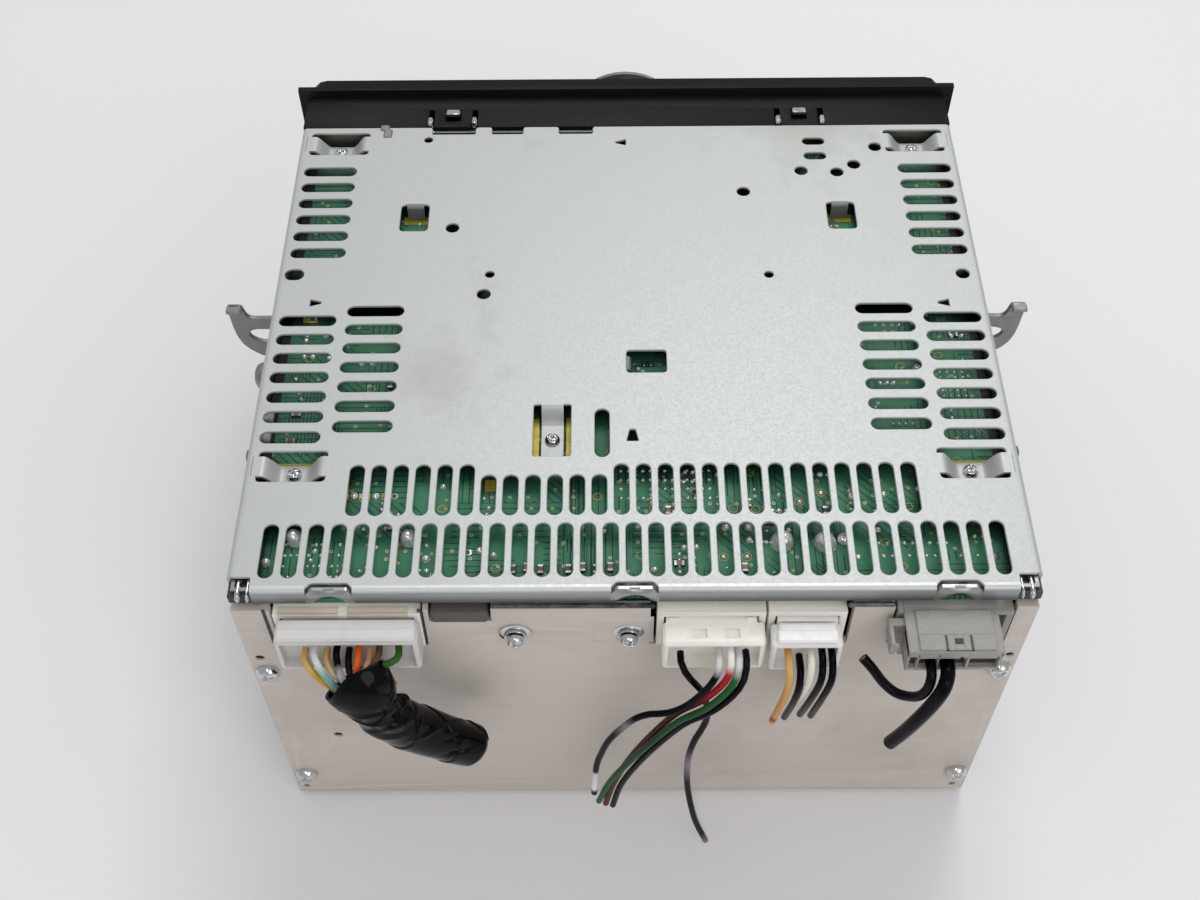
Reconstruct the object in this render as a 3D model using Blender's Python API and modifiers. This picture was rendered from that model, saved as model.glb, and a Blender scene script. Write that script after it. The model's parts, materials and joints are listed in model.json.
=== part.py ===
"""Two-slot car CD player, taken out of the car and lying on its upper cover.

The perforated lower cover faces up.  +X is the right-hand side seen from behind, +Y points
to the faceplate and +Z is up.  The origin is on the resting face, under the middle of the
steel body.  All lengths are in metres.
"""

import math

import bmesh
import bpy
from mathutils import Matrix, Vector

# Steel body
BODY_WIDTH = 0.178
BODY_DEPTH = 0.150
BODY_HEIGHT = 0.1004
SHEET = 0.0008
CLEARANCE = 0.0003
STEP_IN = 0.0001
OVERRUN = 0.002
HALF_WIDTH = BODY_WIDTH / 2
HALF_DEPTH = BODY_DEPTH / 2
REAR_EDGE = -HALF_DEPTH

# Covers
COVER_FLANGE = 0.006
LIP_DROP = 0.0046
CORNER_NOTCH_X = 0.0055
CORNER_NOTCH_Y = 0.0041
FRONT_NOTCH_DEPTH = 0.0030
SLOT_WIDTH = 0.0033
SLOT_LENGTH = 0.0141
SIDE_SLOT_PITCH = 0.00605
ROW_SLOT_PITCH = 0.00504
SLOT_END_STEPS = 3
SHORT_SLOT_LOSS = 0.0030
SHORT_SLOTS = range(6, 12)
LOWER_ROW_INSET = 0.0108
UPPER_ROW_INSET = 0.0271
LOWER_ROW_MARGIN = 0.0060
UPPER_ROW_MARGIN = 0.0230
SIDE_BANK_MARGIN = 0.0093
SIDE_BANK_SPACING = 0.0166
FRONT_BANK_INSET = 0.0179
REAR_OUTER_INSET = 0.0786
REAR_INNER_INSET = 0.0817
BANK_GAP = 0.0200
REAR_SIDE_COUNT = 7
LOWER_ROW_Y = REAR_EDGE + LOWER_ROW_INSET
UPPER_ROW_Y = REAR_EDGE + UPPER_ROW_INSET
LOWER_ROW_COUNT = 2 * int((HALF_WIDTH - LOWER_ROW_MARGIN) / ROW_SLOT_PITCH) + 1
UPPER_ROW_COUNT = 2 * round((HALF_WIDTH - UPPER_ROW_MARGIN) / ROW_SLOT_PITCH)
OUTER_SLOT_X = HALF_WIDTH - SIDE_BANK_MARGIN
INNER_SLOT_X = OUTER_SLOT_X - SIDE_BANK_SPACING
FRONT_SIDE_Y = HALF_DEPTH - FRONT_BANK_INSET
REAR_OUTER_Y = REAR_EDGE + REAR_OUTER_INSET
REAR_INNER_Y = REAR_EDGE + REAR_INNER_INSET
FRONT_SIDE_COUNT = int((FRONT_SIDE_Y - REAR_OUTER_Y - BANK_GAP) / SIDE_SLOT_PITCH) + 1
SMALL_HOLE = 0.0023
LARGE_HOLE = 0.0034
HOLE_SIDES = 8
BRIDGE_WIDTH = 0.0103
BRIDGE_CUT_Y = 0.0028
BRIDGE_CUT_Z = 0.0028
SMALL_HOLE_SHARES = ((-0.396, 0.253), (0.398, 0.245), (-0.608, 0.927), (0.002, -0.433))
LARGE_HOLE_SHARES = (
    (-0.513, 0.475), (-0.410, 0.163), (0.345, 0.647), (0.524, 0.752),
    (0.631, 0.744), (0.685, 0.783), (0.757, 0.875), (0.948, 0.244),
)
OBLONG_SHARES = ((0.571, 0.907), (0.571, 0.829), (-0.954, 0.257))
OBLONG_LENGTH = 0.0060
OBLONG_WIDTH = 0.0026
BRIDGE_SHARES = (-0.746, 0.001, 0.792)
FRONT_NOTCH_SHARES = ((-0.600, -0.463), (-0.416, -0.316), (-0.210, -0.102))

# Screw straps pressed down from the lower cover
STRAP_SHEET = 0.0006
STRAP_OPENING_X = 0.0160
STRAP_OPENING_Y = 0.0088
STRAP_WIDTH = 0.0056
STRAP_SLOPE = 0.0036
STRAP_ROOT = 0.0006
REAR_STRAP_INSET = 0.0339
FRONT_STRAP_INSET = 0.0069
STRAP_MARGIN = 0.0108
REAR_STRAP_Y = REAR_EDGE + REAR_STRAP_INSET
FRONT_STRAP_Y = HALF_DEPTH - FRONT_STRAP_INSET
STRAP_X = HALF_WIDTH - STRAP_MARGIN
TONGUE_X = -0.0186
TONGUE_WIDTH = 0.0052
TONGUE_SLIT = 0.0019
TONGUE_INSET = 0.0517
TONGUE_LENGTH = 0.0153
TONGUE_SLOPE = 0.0046
TONGUE_SCREW_SHARE = 0.65
TONGUE_FRONT_Y = REAR_EDGE + TONGUE_INSET
TONGUE_SCREW_Y = TONGUE_FRONT_Y - TONGUE_LENGTH * TONGUE_SCREW_SHARE
COVER_SCREW_HOLE = 0.0032

# Windows with a tab bent down to the board
WINDOW_WIDTH = 0.0075
WINDOW_LENGTH = 0.0098
WINDOW_SHARE = 0.627
WINDOW_INSET = 0.0356
WINDOW_X = HALF_WIDTH * WINDOW_SHARE
WINDOW_Y = HALF_DEPTH - WINDOW_INSET
TAB_DROP = 0.0026
TAB_WIDTH = 0.0050
MIDDLE_WINDOW_X = 0.0039
MIDDLE_WINDOW_INSET = 0.0649
MIDDLE_WINDOW_Y = REAR_EDGE + MIDDLE_WINDOW_INSET
MIDDLE_WINDOW_WIDTH = 0.0097
MIDDLE_WINDOW_LENGTH = 0.0072
LONE_SLOT_X = -0.0069
LONE_SLOT_INSET = 0.0432
LONE_SLOT_Y = REAR_EDGE + LONE_SLOT_INSET

# Chassis frame
WALL = 0.0008
FRAME_FRONT_INSET = 0.0007
REAR_TAB = 0.0058
FRAME_HALF = HALF_WIDTH - SHEET - CLEARANCE
FRAME_INNER = FRAME_HALF - WALL
FRAME_FRONT = HALF_DEPTH - FRAME_FRONT_INSET
FRAME_LOW = SHEET + CLEARANCE
FRAME_HIGH = BODY_HEIGHT - SHEET - CLEARANCE

# Rear plate
PLATE = 0.0020
PLATE_OUT = 0.0011
PLATE_DROP = 0.0057
PLATE_SIDE_GAP = 0.0005
PLATE_HALF = HALF_WIDTH - PLATE_SIDE_GAP
PLATE_TOP = BODY_HEIGHT - PLATE_DROP
PLATE_REAR = REAR_EDGE - PLATE_OUT
PLATE_FRONT = PLATE_REAR + PLATE
FRAME_REAR = PLATE_FRONT + CLEARANCE

# Main board
BOARD = 0.0016
STRAP_DROP = 0.0041
BOARD_SIDE_GAP = 0.0005
BOARD_FRONT_GAP = 0.0050
BOARD_TOP = BODY_HEIGHT - STRAP_DROP - STRAP_SHEET
BOARD_LOW = BOARD_TOP - BOARD
BOARD_HALF = FRAME_INNER - BOARD_SIDE_GAP
BOARD_FRONT = HALF_DEPTH - BOARD_FRONT_GAP
BOARD_CORNER_X = 0.0070
BOARD_CORNER_Y = 0.0022
SHELF = 0.0010
SHELF_REACH = 0.0130
SHELF_LENGTH = 0.0080
FRONT_SHELF_SHIFT = 0.0010
PART_TOP = BOARD_LOW - CLEARANCE

# Screws
SCREW_SHANK = 0.0030
SCREW_HEAD = 0.0056
SCREW_HEAD_HEIGHT = 0.0020
SCREW_LENGTH = 0.0070
SCREW_HOLE = SCREW_SHANK + 2 * CLEARANCE
SCREW_SIDES = 12
HEAD_TAPER_SHARE = 0.8
DRIVE_WIDTH = 0.0007
DRIVE_DEPTH = 0.0009
DRIVE_LENGTH = 0.0034
CORNER_SCREW_INSET = 0.0020
UPPER_SCREW_SHARE = 0.6703
CORNER_SCREW_X = FRAME_INNER - CORNER_SCREW_INSET
UPPER_SCREW_Z = BODY_HEIGHT * UPPER_SCREW_SHARE
LOWER_SCREW_Z = 0.0120
FLANGE_SCREW_SHARES = (-0.2978, -0.0135)
FLANGE_SCREW_DROP = 0.0099
FLANGE_SCREW_X = [HALF_WIDTH * share for share in FLANGE_SCREW_SHARES]
FLANGE_SCREW_Z = PLATE_TOP - FLANGE_SCREW_DROP
WASHER = 0.0073
WASHER_HEIGHT = 0.0008
FLANGE_HEAD = 0.0048
FLANGE_HEAD_HEIGHT = 0.0024

# Connector shrouds: left and right end of each, as shares of the body's half width
SHROUD_WALL = 0.0016
SHROUD_DEPTH = 0.0200
SHROUD_OUT = 0.0007
SHROUD_HEIGHT = 0.0138
SHROUD_REAR = PLATE_REAR - SHROUD_OUT
SHROUD_LOW = PART_TOP - SHROUD_HEIGHT
CUT_MARGIN = 0.0006
JOINT_MARGIN = 0.0014
SOCKET_SHARES = ((-0.8933, -0.5281), (0.0562, 0.3258), (0.3315, 0.5258), (0.6483, 0.9348))
POWER_SPAN, AUDIO_SPAN, CONTROL_SPAN, AERIAL_SPAN = [
    (HALF_WIDTH * left, HALF_WIDTH * right) for left, right in SOCKET_SHARES]

# Plugs: left, right, lowest and highest point of each, as shares of its shroud
PLUG_REACH = 0.0062
GREY_PLUG_REACH = 0.0102
PLUG_GAP = 0.0004
PLUG_NOSE = 0.0140
PLUG_LAP = 0.0006
SEAL_POCKET = 0.0026
SEAL_INSET = 0.0012
STRIP = 0.0014
POWER_PLUG_SHARES = (0.0215, 0.9908, 0.0290, 0.8986)
AUDIO_PLUG_SHARES = (0.0500, 0.9875, 0.0000, 0.8043)
CONTROL_PLUG_SHARES = (0.0289, 0.9364, -0.0797, 0.7391)
AERIAL_PLUG_SHARES = (0.0157, 0.8549, 0.0000, 0.9855)
RIDGE_SETBACK = 0.0020
RIDGE_LENGTH = 0.0016
RIDGE_RISE = 0.0008
RECESS_SHARES = (0.36, 0.68)
RECESS_WIDTH = 0.0032
RECESS_LENGTH = 0.0024
RECESS_DEPTH = 0.0008
CLIP_WIDTH = 0.0064
CLIP_SETBACK = 0.0016
CLIP_RISE = 0.0008
GREY_CLIP_WIDTH = 0.0128
GREY_CLIP_SETBACK = 0.0004
GREY_CLIP_RISE = 0.0016
SIDE_LATCH_REACH = 0.0016
SIDE_LATCH_INSET = 0.0032

# Fuse
FUSE_SHARES = (-0.5056, -0.3607)
FUSE_HEIGHT = 0.0038
FUSE_DEPTH = 0.0090
FUSE_LEFT, FUSE_RIGHT = [HALF_WIDTH * share for share in FUSE_SHARES]
FUSE_LOW = PART_TOP - FUSE_HEIGHT

# Power amplifier clamped to the rear plate by two screws
AMP_SHOULDER = 0.00415
AMP_EAR_MARGIN = 0.0039
AMP_BELOW_SCREWS = 0.0088
AMP_HEIGHT = 0.0170
AMP_THICK = 0.0045
AMP_EAR_THICK = 0.0018
AMP_EAR_HEIGHT = 0.0080
AMP_LOW = FLANGE_SCREW_Z - AMP_BELOW_SCREWS

# Tuner can
TUNER_X = 0.0410
TUNER_INSET = 0.0425
TUNER_Y = HALF_DEPTH - TUNER_INSET
TUNER_WIDTH = 0.0420
TUNER_LENGTH = 0.0350
TUNER_HEIGHT = 0.0120
SMALL_ROUNDING = 0.0006

# Side brackets: outward reach and height of the hook's outline points
LEAF = 0.0010
LEAF_DROP = 0.0164
LEAF_HEIGHT = 0.0240
LEAF_LENGTH = 0.0120
HOOK_REACH = 0.0176
HOOK_Y = 0.0210
HOOK_THICK = 0.0012
HOOK_DROP = 0.0139
HOOK_HEIGHT = 0.0225
HOOK_SHARES = (
    (0.00, 0.78), (0.34, 0.80), (0.62, 0.85), (0.74, 0.93), (0.80, 1.00), (0.90, 0.99),
    (0.97, 0.86), (1.00, 0.60), (0.93, 0.43), (0.80, 0.30), (0.58, 0.19), (0.30, 0.08), (0.00, 0.00),
)
HOOK_WINDOW_SHARES = ((0.42, 0.42), (0.66, 0.42), (0.72, 0.52), (0.70, 0.65), (0.42, 0.65))
HOOK_TIP = 0.0030
HOOK_TIP_LENGTH = 0.0036
HOOK_TIP_SHARE = 0.85
LEAF_HIGH = BODY_HEIGHT - LEAF_DROP
HOOK_HIGH = BODY_HEIGHT - HOOK_DROP
BOLT_Y = -0.0030
BOLT_DROP = 0.0134
BOLT_Z = BODY_HEIGHT - BOLT_DROP
BOLT_HEAD = 0.0070
BOLT_REACH = 0.0060
BOLT_NECK_SHARE = 0.6
BOLT_DOME_SHARE = 0.55
BOLT_SHANK_LENGTH = 0.0040

# Faceplate
SKIRT_LAP = 0.0004
SKIRT_WALL = 0.0024
FLANGE_OFFSET = 0.0116
FLANGE = 0.0016
FLANGE_OUT = 0.0024
FLANGE_RISE = 0.0030
FACE_OFFSET = 0.0171
FACE_WALL = 0.0025
FACE_IN = 0.0010
FACE_ROUNDING = 0.0040
SKIRT_REAR = HALF_DEPTH - SKIRT_LAP
FLANGE_REAR = HALF_DEPTH + FLANGE_OFFSET
FACE_FRONT = HALF_DEPTH + FACE_OFFSET
FACE_HEIGHT = BODY_HEIGHT + FLANGE_RISE
WALL_BACK = FACE_FRONT - FACE_WALL
VOID_LOW = 0.0032
SNAP_X = 0.0478
SNAP_OFFSET = 0.0043
SNAP_Y = HALF_DEPTH + SNAP_OFFSET
SNAP_HOLE = 0.0042
SNAP_SLIT = 0.0016
SNAP_SLIT_OFFSET = 0.0060
SNAP_SLIT_LENGTH = 0.0070
DISC_SLOT_WIDTH = 0.1260
DISC_SLOT_HEIGHT = 0.0053
DISC_Z = 0.02235
BOSS = 0.0040

# Front board and what it carries
FRONT_BOARD_OFFSET = 0.0025
FRONT_BOARD_MARGIN = 0.0060
FRONT_BOARD_LOW = 0.0280
FRONT_BOARD_DROP = 0.0044
SWITCH = 0.0060
SWITCH_HEIGHT = 0.0059
DISPLAY_HALF = 0.0500
DISPLAY_SHARE = 0.4482
DISPLAY_HEIGHT_SHARE = 0.2092
RIM = 0.0012
RIM_OUT = 0.0010
FRONT_BOARD_REAR = HALF_DEPTH + FRONT_BOARD_OFFSET
FRONT_BOARD_HALF = HALF_WIDTH - FRONT_BOARD_MARGIN
FRONT_BOARD_HIGH = BODY_HEIGHT - FRONT_BOARD_DROP
FRONT_BOARD_FACE = FRONT_BOARD_REAR + BOARD
SWITCH_FACE = FRONT_BOARD_FACE + SWITCH_HEIGHT
DISPLAY_HEIGHT = BODY_HEIGHT * DISPLAY_HEIGHT_SHARE
DISPLAY_Z = BODY_HEIGHT * DISPLAY_SHARE
DISPLAY_LOW = DISPLAY_Z - DISPLAY_HEIGHT / 2
DISPLAY_HIGH = DISPLAY_Z + DISPLAY_HEIGHT / 2

# Volume control
KNOB_X = 0.0
KNOB_DROP = 0.0190
KNOB_Z = BODY_HEIGHT - KNOB_DROP
KNOB_RADIUS = 0.0160
KNOB_SIDES = 36
KNOB_LENGTH = 0.0090
KNOB_STANDOFF = 0.0009
KNOB_STEP = 0.0012
KNOB_BORE_DEPTH = 0.0060
SHAFT = 0.0060
SHAFT_MARGIN = 0.0016
ENCODER_SIDE = 0.0130
ENCODER_LENGTH = 0.0061
ENCODER_FLOOR = 0.0016
ENCODER_BUSH = 0.0100
PLUNGER = 0.0072
PLUNGER_LENGTH = 0.0020
PUSH_TRAVEL = 0.0005
RING_RADIUS = 0.0148
RING_LENGTH = 0.0016
KNOB_MARK = 0.0009
KNOB_MARK_LENGTH = 0.0060

# Push buttons
BUTTON_TRAVEL = 0.0008
BUTTON_PROUD = 0.0015
BUTTON_STEM = 0.0040
BUTTON_ROUNDING = 0.0008
PRESET_HEIGHT = 0.0080
PRESET_DROP = 0.0304
PRESET_EDGE = 0.0150
PRESET_KNOB_GAP = 0.0220
PRESET_SPACING = 0.0030
PRESET_Z = BODY_HEIGHT - PRESET_DROP
PRESET_INNER = KNOB_RADIUS + PRESET_KNOB_GAP
PRESET_OUTER = HALF_WIDTH - PRESET_EDGE
PRESET_PITCH = (PRESET_OUTER - PRESET_INNER) / 2
PRESET_WIDTH = PRESET_PITCH - PRESET_SPACING
PRESET_X = (
    -PRESET_OUTER, -PRESET_OUTER + PRESET_PITCH, -PRESET_INNER,
    PRESET_INNER, PRESET_OUTER - PRESET_PITCH, PRESET_OUTER,
)
KEY_HEIGHT = 0.0075
KEY_DROP = 0.0144
KEY_EDGE = 0.0135
KEY_KNOB_GAP = 0.0175
KEY_SPACING = 0.0040
KEY_Z = BODY_HEIGHT - KEY_DROP
KEY_OUTER = HALF_WIDTH - KEY_EDGE
KEY_INNER = KNOB_RADIUS + KEY_KNOB_GAP
KEY_WIDTH = (KEY_OUTER - KEY_INNER - KEY_SPACING) / 2
BAND_X = -KEY_OUTER + KEY_WIDTH / 2
DISC_KEY_X = -KEY_INNER - KEY_WIDTH / 2
EJECT_WIDTH = 0.0140
EJECT_HEIGHT = 0.0070
EJECT_GAP = 0.0030
EJECT_RISE = 0.01065
EJECT_X = DISPLAY_HALF + EJECT_GAP + EJECT_WIDTH / 2
EJECT_Z = DISC_Z + EJECT_RISE
ROCKER_EDGE = 0.0175
ROCKER_KNOB_GAP = 0.0215
ROCKER_GAP = 0.0006
ROCKER_BACK_GAP = 0.0020
ROCKER_AXIS_SETBACK = 0.0014
ROCKER_PIN = 0.0020
ROCKER_LUG = 0.0014
ROCKER_PIN_LENGTH = 0.0016
ROCKER_INNER = KNOB_RADIUS + ROCKER_KNOB_GAP
ROCKER_OUTER = HALF_WIDTH - ROCKER_EDGE
ROCKER_WIDTH = ROCKER_OUTER - ROCKER_INNER
ROCKER_X = (ROCKER_OUTER + ROCKER_INNER) / 2
ROCKER_REAR = SWITCH_FACE + ROCKER_BACK_GAP
ROCKER_AXIS_Y = ROCKER_REAR + ROCKER_AXIS_SETBACK

# Disc mechanism
DECK_SIDE_GAP = 0.0015
DECK_REAR_GAP = 0.0070
DECK_FRONT_GAP = 0.0040
DECK_WALL = 0.0010
DECK_COVER_LOW = 0.0060
DECK_COVER = 0.0010
DECK_PLATE = 0.0010
DECK_PLATE_RISE = 0.00765
DECK_PLATE_INSET = 0.0130
DECK_EAR_LENGTH = 0.0100
REAR_EAR_INSET = 0.0080
FRONT_EAR_INSET = 0.0130
DECK_HALF = DISC_SLOT_WIDTH / 2 + DECK_SIDE_GAP
DECK_REAR = REAR_EDGE + DECK_REAR_GAP
DECK_FRONT = HALF_DEPTH - DECK_FRONT_GAP
DECK_PLATE_FRONT = DECK_FRONT - DECK_PLATE_INSET
DECK_PLATE_LOW = DISC_Z + DECK_PLATE_RISE
DECK_PLATE_HIGH = DECK_PLATE_LOW + DECK_PLATE
DECK_EAR_Y = (DECK_REAR + REAR_EAR_INSET, DECK_PLATE_FRONT - FRONT_EAR_INSET)
SPINDLE_INSET = 0.0760
SPINDLE_Y = DECK_REAR + SPINDLE_INSET
TURNTABLE = 0.0260
TURNTABLE_RISE = 0.00085
TURNTABLE_THICK = 0.0015
TURNTABLE_SIDES = 32
TURNTABLE_LOW = DISC_Z + TURNTABLE_RISE
HUB = 0.0146
HUB_TIP = 0.0128
HUB_HEIGHT = 0.0020
HUB_SIDES = 24
SPINDLE_SHAFT = 0.0030
SPINDLE_LENGTH = 0.0118
SPINDLE_TOP = TURNTABLE_LOW + SPINDLE_LENGTH
MOTOR = 0.0250
MOTOR_HEIGHT = 0.0060
SLED_SETBACK = 0.0250
SLED_TRAVEL = 0.0330
SLED_HALF_X = 0.0135
SLED_HALF_Y = 0.0080
SLED_RISE = 0.0030
SLED_HEIGHT = 0.0090
SLED_ARM = 0.0030
SLED_ARM_SHARE = 0.75
SLED_WINDOW_MARGIN = 0.0015
SLED_START_Y = SPINDLE_Y - SLED_SETBACK
SLED_LOW = TURNTABLE_LOW + SLED_RISE
LENS = 0.0060
LENS_DROP = 0.0012
ROD = 0.0030
ROD_X = 0.0215
ROD_RISE = 0.0060
ROD_INSET = 0.0025
ROD_LENGTH = 0.0640
ROD_Z = DECK_PLATE_HIGH + ROD_RISE
ROD_REAR = DECK_REAR + ROD_INSET
ROD_FRONT = ROD_REAR + ROD_LENGTH
POST = 0.0015
POST_HALF = 0.0032
REAR_POST_SETBACK = 0.00075
FRONT_POST_SETBACK = 0.0030
SLED_MOTOR = 0.0110
SLED_MOTOR_LENGTH = 0.0120
MOTOR_SHAFT = 0.0020
MOTOR_SHAFT_LENGTH = 0.0040
ROLLER = 0.0060
ROLLER_SIDES = 20
ROLLER_SHAFT = 0.0024
ROLLER_INSET = 0.0070
ROLLER_RISE = 0.00625
ROLLER_MARGIN = 0.0045
ROLLER_Y = DECK_FRONT - ROLLER_INSET
ROLLER_Z = DISC_Z + ROLLER_RISE
ROLLER_HALF = DISC_SLOT_WIDTH / 2 - ROLLER_MARGIN
ARM_RISE = 0.0055
ARM_THICK = 0.0012
ARM_INSET = 0.0080
ARM_PIVOT_INSET = 0.0020
ARM_SHOULDER = 0.0120
ARM_TAPER = 0.0180
ARM_HALF_REAR = 0.0165
ARM_HALF_FRONT = 0.0085
ARM_PIN = 0.0024
ARM_LOW = DECK_COVER_LOW + ARM_RISE
ARM_REAR = DECK_REAR + ARM_INSET
ARM_PIVOT_Y = ARM_REAR + ARM_PIVOT_INSET
LUG_X = 0.0195
LUG_THICK = 0.0014
LUG_HALF = 0.0028
LUG_HEIGHT = 0.0085
PUCK = 0.0240
PUCK_THICK = 0.0034
PUCK_STEM = 0.0060
PUCK_HEAD = 0.0100
PUCK_HEAD_THICK = 0.0016

# Loose wires: their sizes, and their routes as points chosen by hand
THIN_WIRE = 0.0017
SHORT_WIRE = 0.0018
AERIAL_WIRE = 0.0026
POWER_WIRE = 0.0036
TAPE = 0.0094
THIN_STEP_SHARE = 3.0
THICK_STEP_SHARE = 2.0
FAN_STEP_SHARE = 1.5
TAPE_STEP_SHARE = 0.5
FAN_LEAVE = 0.0041
BUNDLE_PITCH = Vector((0.0021, 0.0, -0.0012))
CURVED_ROUTE = (
    (0.0176, -0.0816, 0.0868), (0.0176, -0.0850, 0.0872), (0.0172, -0.0878, 0.0868),
    (0.0157, -0.0892, 0.0834), (0.0139, -0.0896, 0.0796), (0.0112, -0.0898, 0.0750),
    (0.0074, -0.0896, 0.0716), (0.0036, -0.0890, 0.0700), (0.0002, -0.0885, 0.0667),
    (-0.0033, -0.0880, 0.0600), (-0.0060, -0.0875, 0.0530), (-0.0076, -0.0871, 0.0458),
    (-0.0086, -0.0870, 0.0406), (-0.0091, -0.0870, 0.0341), (-0.0095, -0.0870, 0.0234),
)
BUNDLE_ROUTE = (
    (0.0228, -0.0816, 0.0868), (0.0229, -0.0850, 0.0872), (0.0224, -0.0885, 0.0862),
    (0.0206, -0.0903, 0.0823), (0.0166, -0.0912, 0.0762), (0.0109, -0.0906, 0.0687),
    (0.0052, -0.0895, 0.0560), (0.0000, -0.0880, 0.0415), (-0.0041, -0.0870, 0.0284),
    (-0.0066, -0.0865, 0.0158),
)
DROP_ROUTE = (
    (0.0102, -0.0816, 0.0852), (0.0108, -0.0845, 0.0858), (0.0122, -0.0862, 0.0834),
    (0.0151, -0.0868, 0.0767), (0.0164, -0.0870, 0.0712), (0.0169, -0.0870, 0.0645),
    (0.0160, -0.0873, 0.0593), (0.0145, -0.0876, 0.0540), (0.0134, -0.0880, 0.0470),
    (0.0132, -0.0884, 0.0400), (0.0135, -0.0890, 0.0325), (0.0146, -0.0898, 0.0231),
    (0.0164, -0.0906, 0.0131), (0.0193, -0.0913, 0.0030),
)
SHORT_ROUTES = (
    ((0.0338, -0.0816, 0.0868), (0.0340, -0.0855, 0.0866), (0.0341, -0.0866, 0.0810),
     (0.0337, -0.0860, 0.0704), (0.0325, -0.0842, 0.0547)),
    ((0.0366, -0.0816, 0.0836), (0.0366, -0.0852, 0.0840), (0.0363, -0.0872, 0.0795),
     (0.0359, -0.0874, 0.0704), (0.0355, -0.0868, 0.0568)),
    ((0.0388, -0.0816, 0.0872), (0.0386, -0.0856, 0.0872), (0.0383, -0.0884, 0.0832),
     (0.0379, -0.0892, 0.0742), (0.0374, -0.0888, 0.0622)),
    ((0.0412, -0.0816, 0.0872), (0.0411, -0.0856, 0.0876), (0.0407, -0.0884, 0.0846),
     (0.0401, -0.0894, 0.0757), (0.0396, -0.0890, 0.0628)),
    ((0.0432, -0.0816, 0.0868), (0.0433, -0.0858, 0.0878), (0.0432, -0.0884, 0.0856),
     (0.0426, -0.0894, 0.0761), (0.0421, -0.0890, 0.0624)),
)
AERIAL_ROUTE = (
    (0.0631, -0.0855, 0.0880), (0.0630, -0.0886, 0.0884), (0.0628, -0.0908, 0.0862),
    (0.0625, -0.0906, 0.0812), (0.0616, -0.0890, 0.0766), (0.0601, -0.0868, 0.0742),
    (0.0581, -0.0848, 0.0742), (0.0556, -0.0830, 0.0762), (0.0532, -0.0816, 0.0788),
    (0.0516, -0.0806, 0.0796),
)
POWER_ROUTE = (
    (0.0680, -0.0855, 0.0880), (0.0678, -0.0890, 0.0884), (0.0668, -0.0918, 0.0868),
    (0.0653, -0.0926, 0.0815), (0.0631, -0.0925, 0.0735), (0.0613, -0.0917, 0.0658),
    (0.0594, -0.0907, 0.0585),
)
FAN_STARTS = (
    (-0.0724, 0.0872), (-0.0700, 0.0890), (-0.0676, 0.0872), (-0.0652, 0.0890), (-0.0628, 0.0872),
    (-0.0604, 0.0890), (-0.0580, 0.0872), (-0.0556, 0.0890), (-0.0512, 0.0884),
)
FAN_ENDS = (
    (-0.0648, 0.0848), (-0.0634, 0.0868), (-0.0622, 0.0848), (-0.0612, 0.0866), (-0.0598, 0.0848),
    (-0.0590, 0.0870), (-0.0574, 0.0852), (-0.0566, 0.0872), (-0.0550, 0.0856),
)
TAPE_ROUTE = (
    (-0.0610, -0.0896, 0.0845), (-0.0596, -0.0906, 0.0800), (-0.0576, -0.0905, 0.0747),
    (-0.0547, -0.0898, 0.0696), (-0.0504, -0.0886, 0.0640), (-0.0452, -0.0875, 0.0585),
    (-0.0400, -0.0864, 0.0530), (-0.0364, -0.0856, 0.0486),
)

UP = Vector((0, 0, 1))
ALONG_Y = Vector((0, 1, 0))

for leftover in list(bpy.data.objects):
    bpy.data.objects.remove(leftover, do_unlink=True)

parts = bpy.data.collections.new("car_cd_player")
bpy.context.scene.collection.children.link(parts)


def finish(name, colour, roughness, metallic=0.0):
    """A plain painted, moulded or metal surface."""
    surface = bpy.data.materials.new(name)
    surface.use_nodes = True
    shader = surface.node_tree.nodes["Principled BSDF"]
    shader.inputs["Base Color"].default_value = (*colour, 1)
    shader.inputs["Roughness"].default_value = roughness
    shader.inputs["Metallic"].default_value = metallic
    return surface


ZINC = finish("zinc_sheet", (0.56, 0.60, 0.58), 0.45, 0.6)
STEEL = finish("bare_steel", (0.48, 0.48, 0.47), 0.4, 0.9)
BRIGHT = finish("bright_steel", (0.68, 0.68, 0.68), 0.25, 1.0)
ALUMINIUM = finish("brushed_aluminium", (0.56, 0.50, 0.46), 0.4, 0.9)
BLACK = finish("black_plastic", (0.025, 0.024, 0.026), 0.5)
IVORY = finish("ivory_plastic", (0.80, 0.79, 0.72), 0.5)
GREY = finish("grey_plastic", (0.33, 0.33, 0.32), 0.55)
DARK = finish("dark_plastic", (0.05, 0.05, 0.05), 0.5)
BOARD_GREEN = finish("board_green", (0.02, 0.18, 0.10), 0.4)
GLASS = finish("smoked_window", (0.02, 0.02, 0.025), 0.1)
RUBBER = finish("rubber", (0.03, 0.03, 0.03), 0.8)
WIRE = finish("wire_cover", (0.06, 0.06, 0.06), 0.5)
TAPE_BLACK = finish("black_tape", (0.015, 0.015, 0.016), 0.3)
SILVER = finish("silver_paint", (0.50, 0.50, 0.50), 0.35, 0.5)


def placed(name, mesh):
    piece = bpy.data.objects.new(name, mesh)
    parts.objects.link(piece)
    return piece


def keep(piece, name, surface, axis=None):
    """Name a finished piece, dress it, and put its origin on the axis that it moves about."""
    if axis is not None:
        origin = Vector(axis)
        piece.data.transform(Matrix.Translation(-origin))
        piece.location = origin
    piece.name = name
    piece.data.name = name
    piece.data.materials.clear()
    piece.data.materials.append(surface)
    piece.data.shade_smooth()
    piece.data.set_sharp_from_angle(angle=math.radians(35))
    return piece


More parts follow.
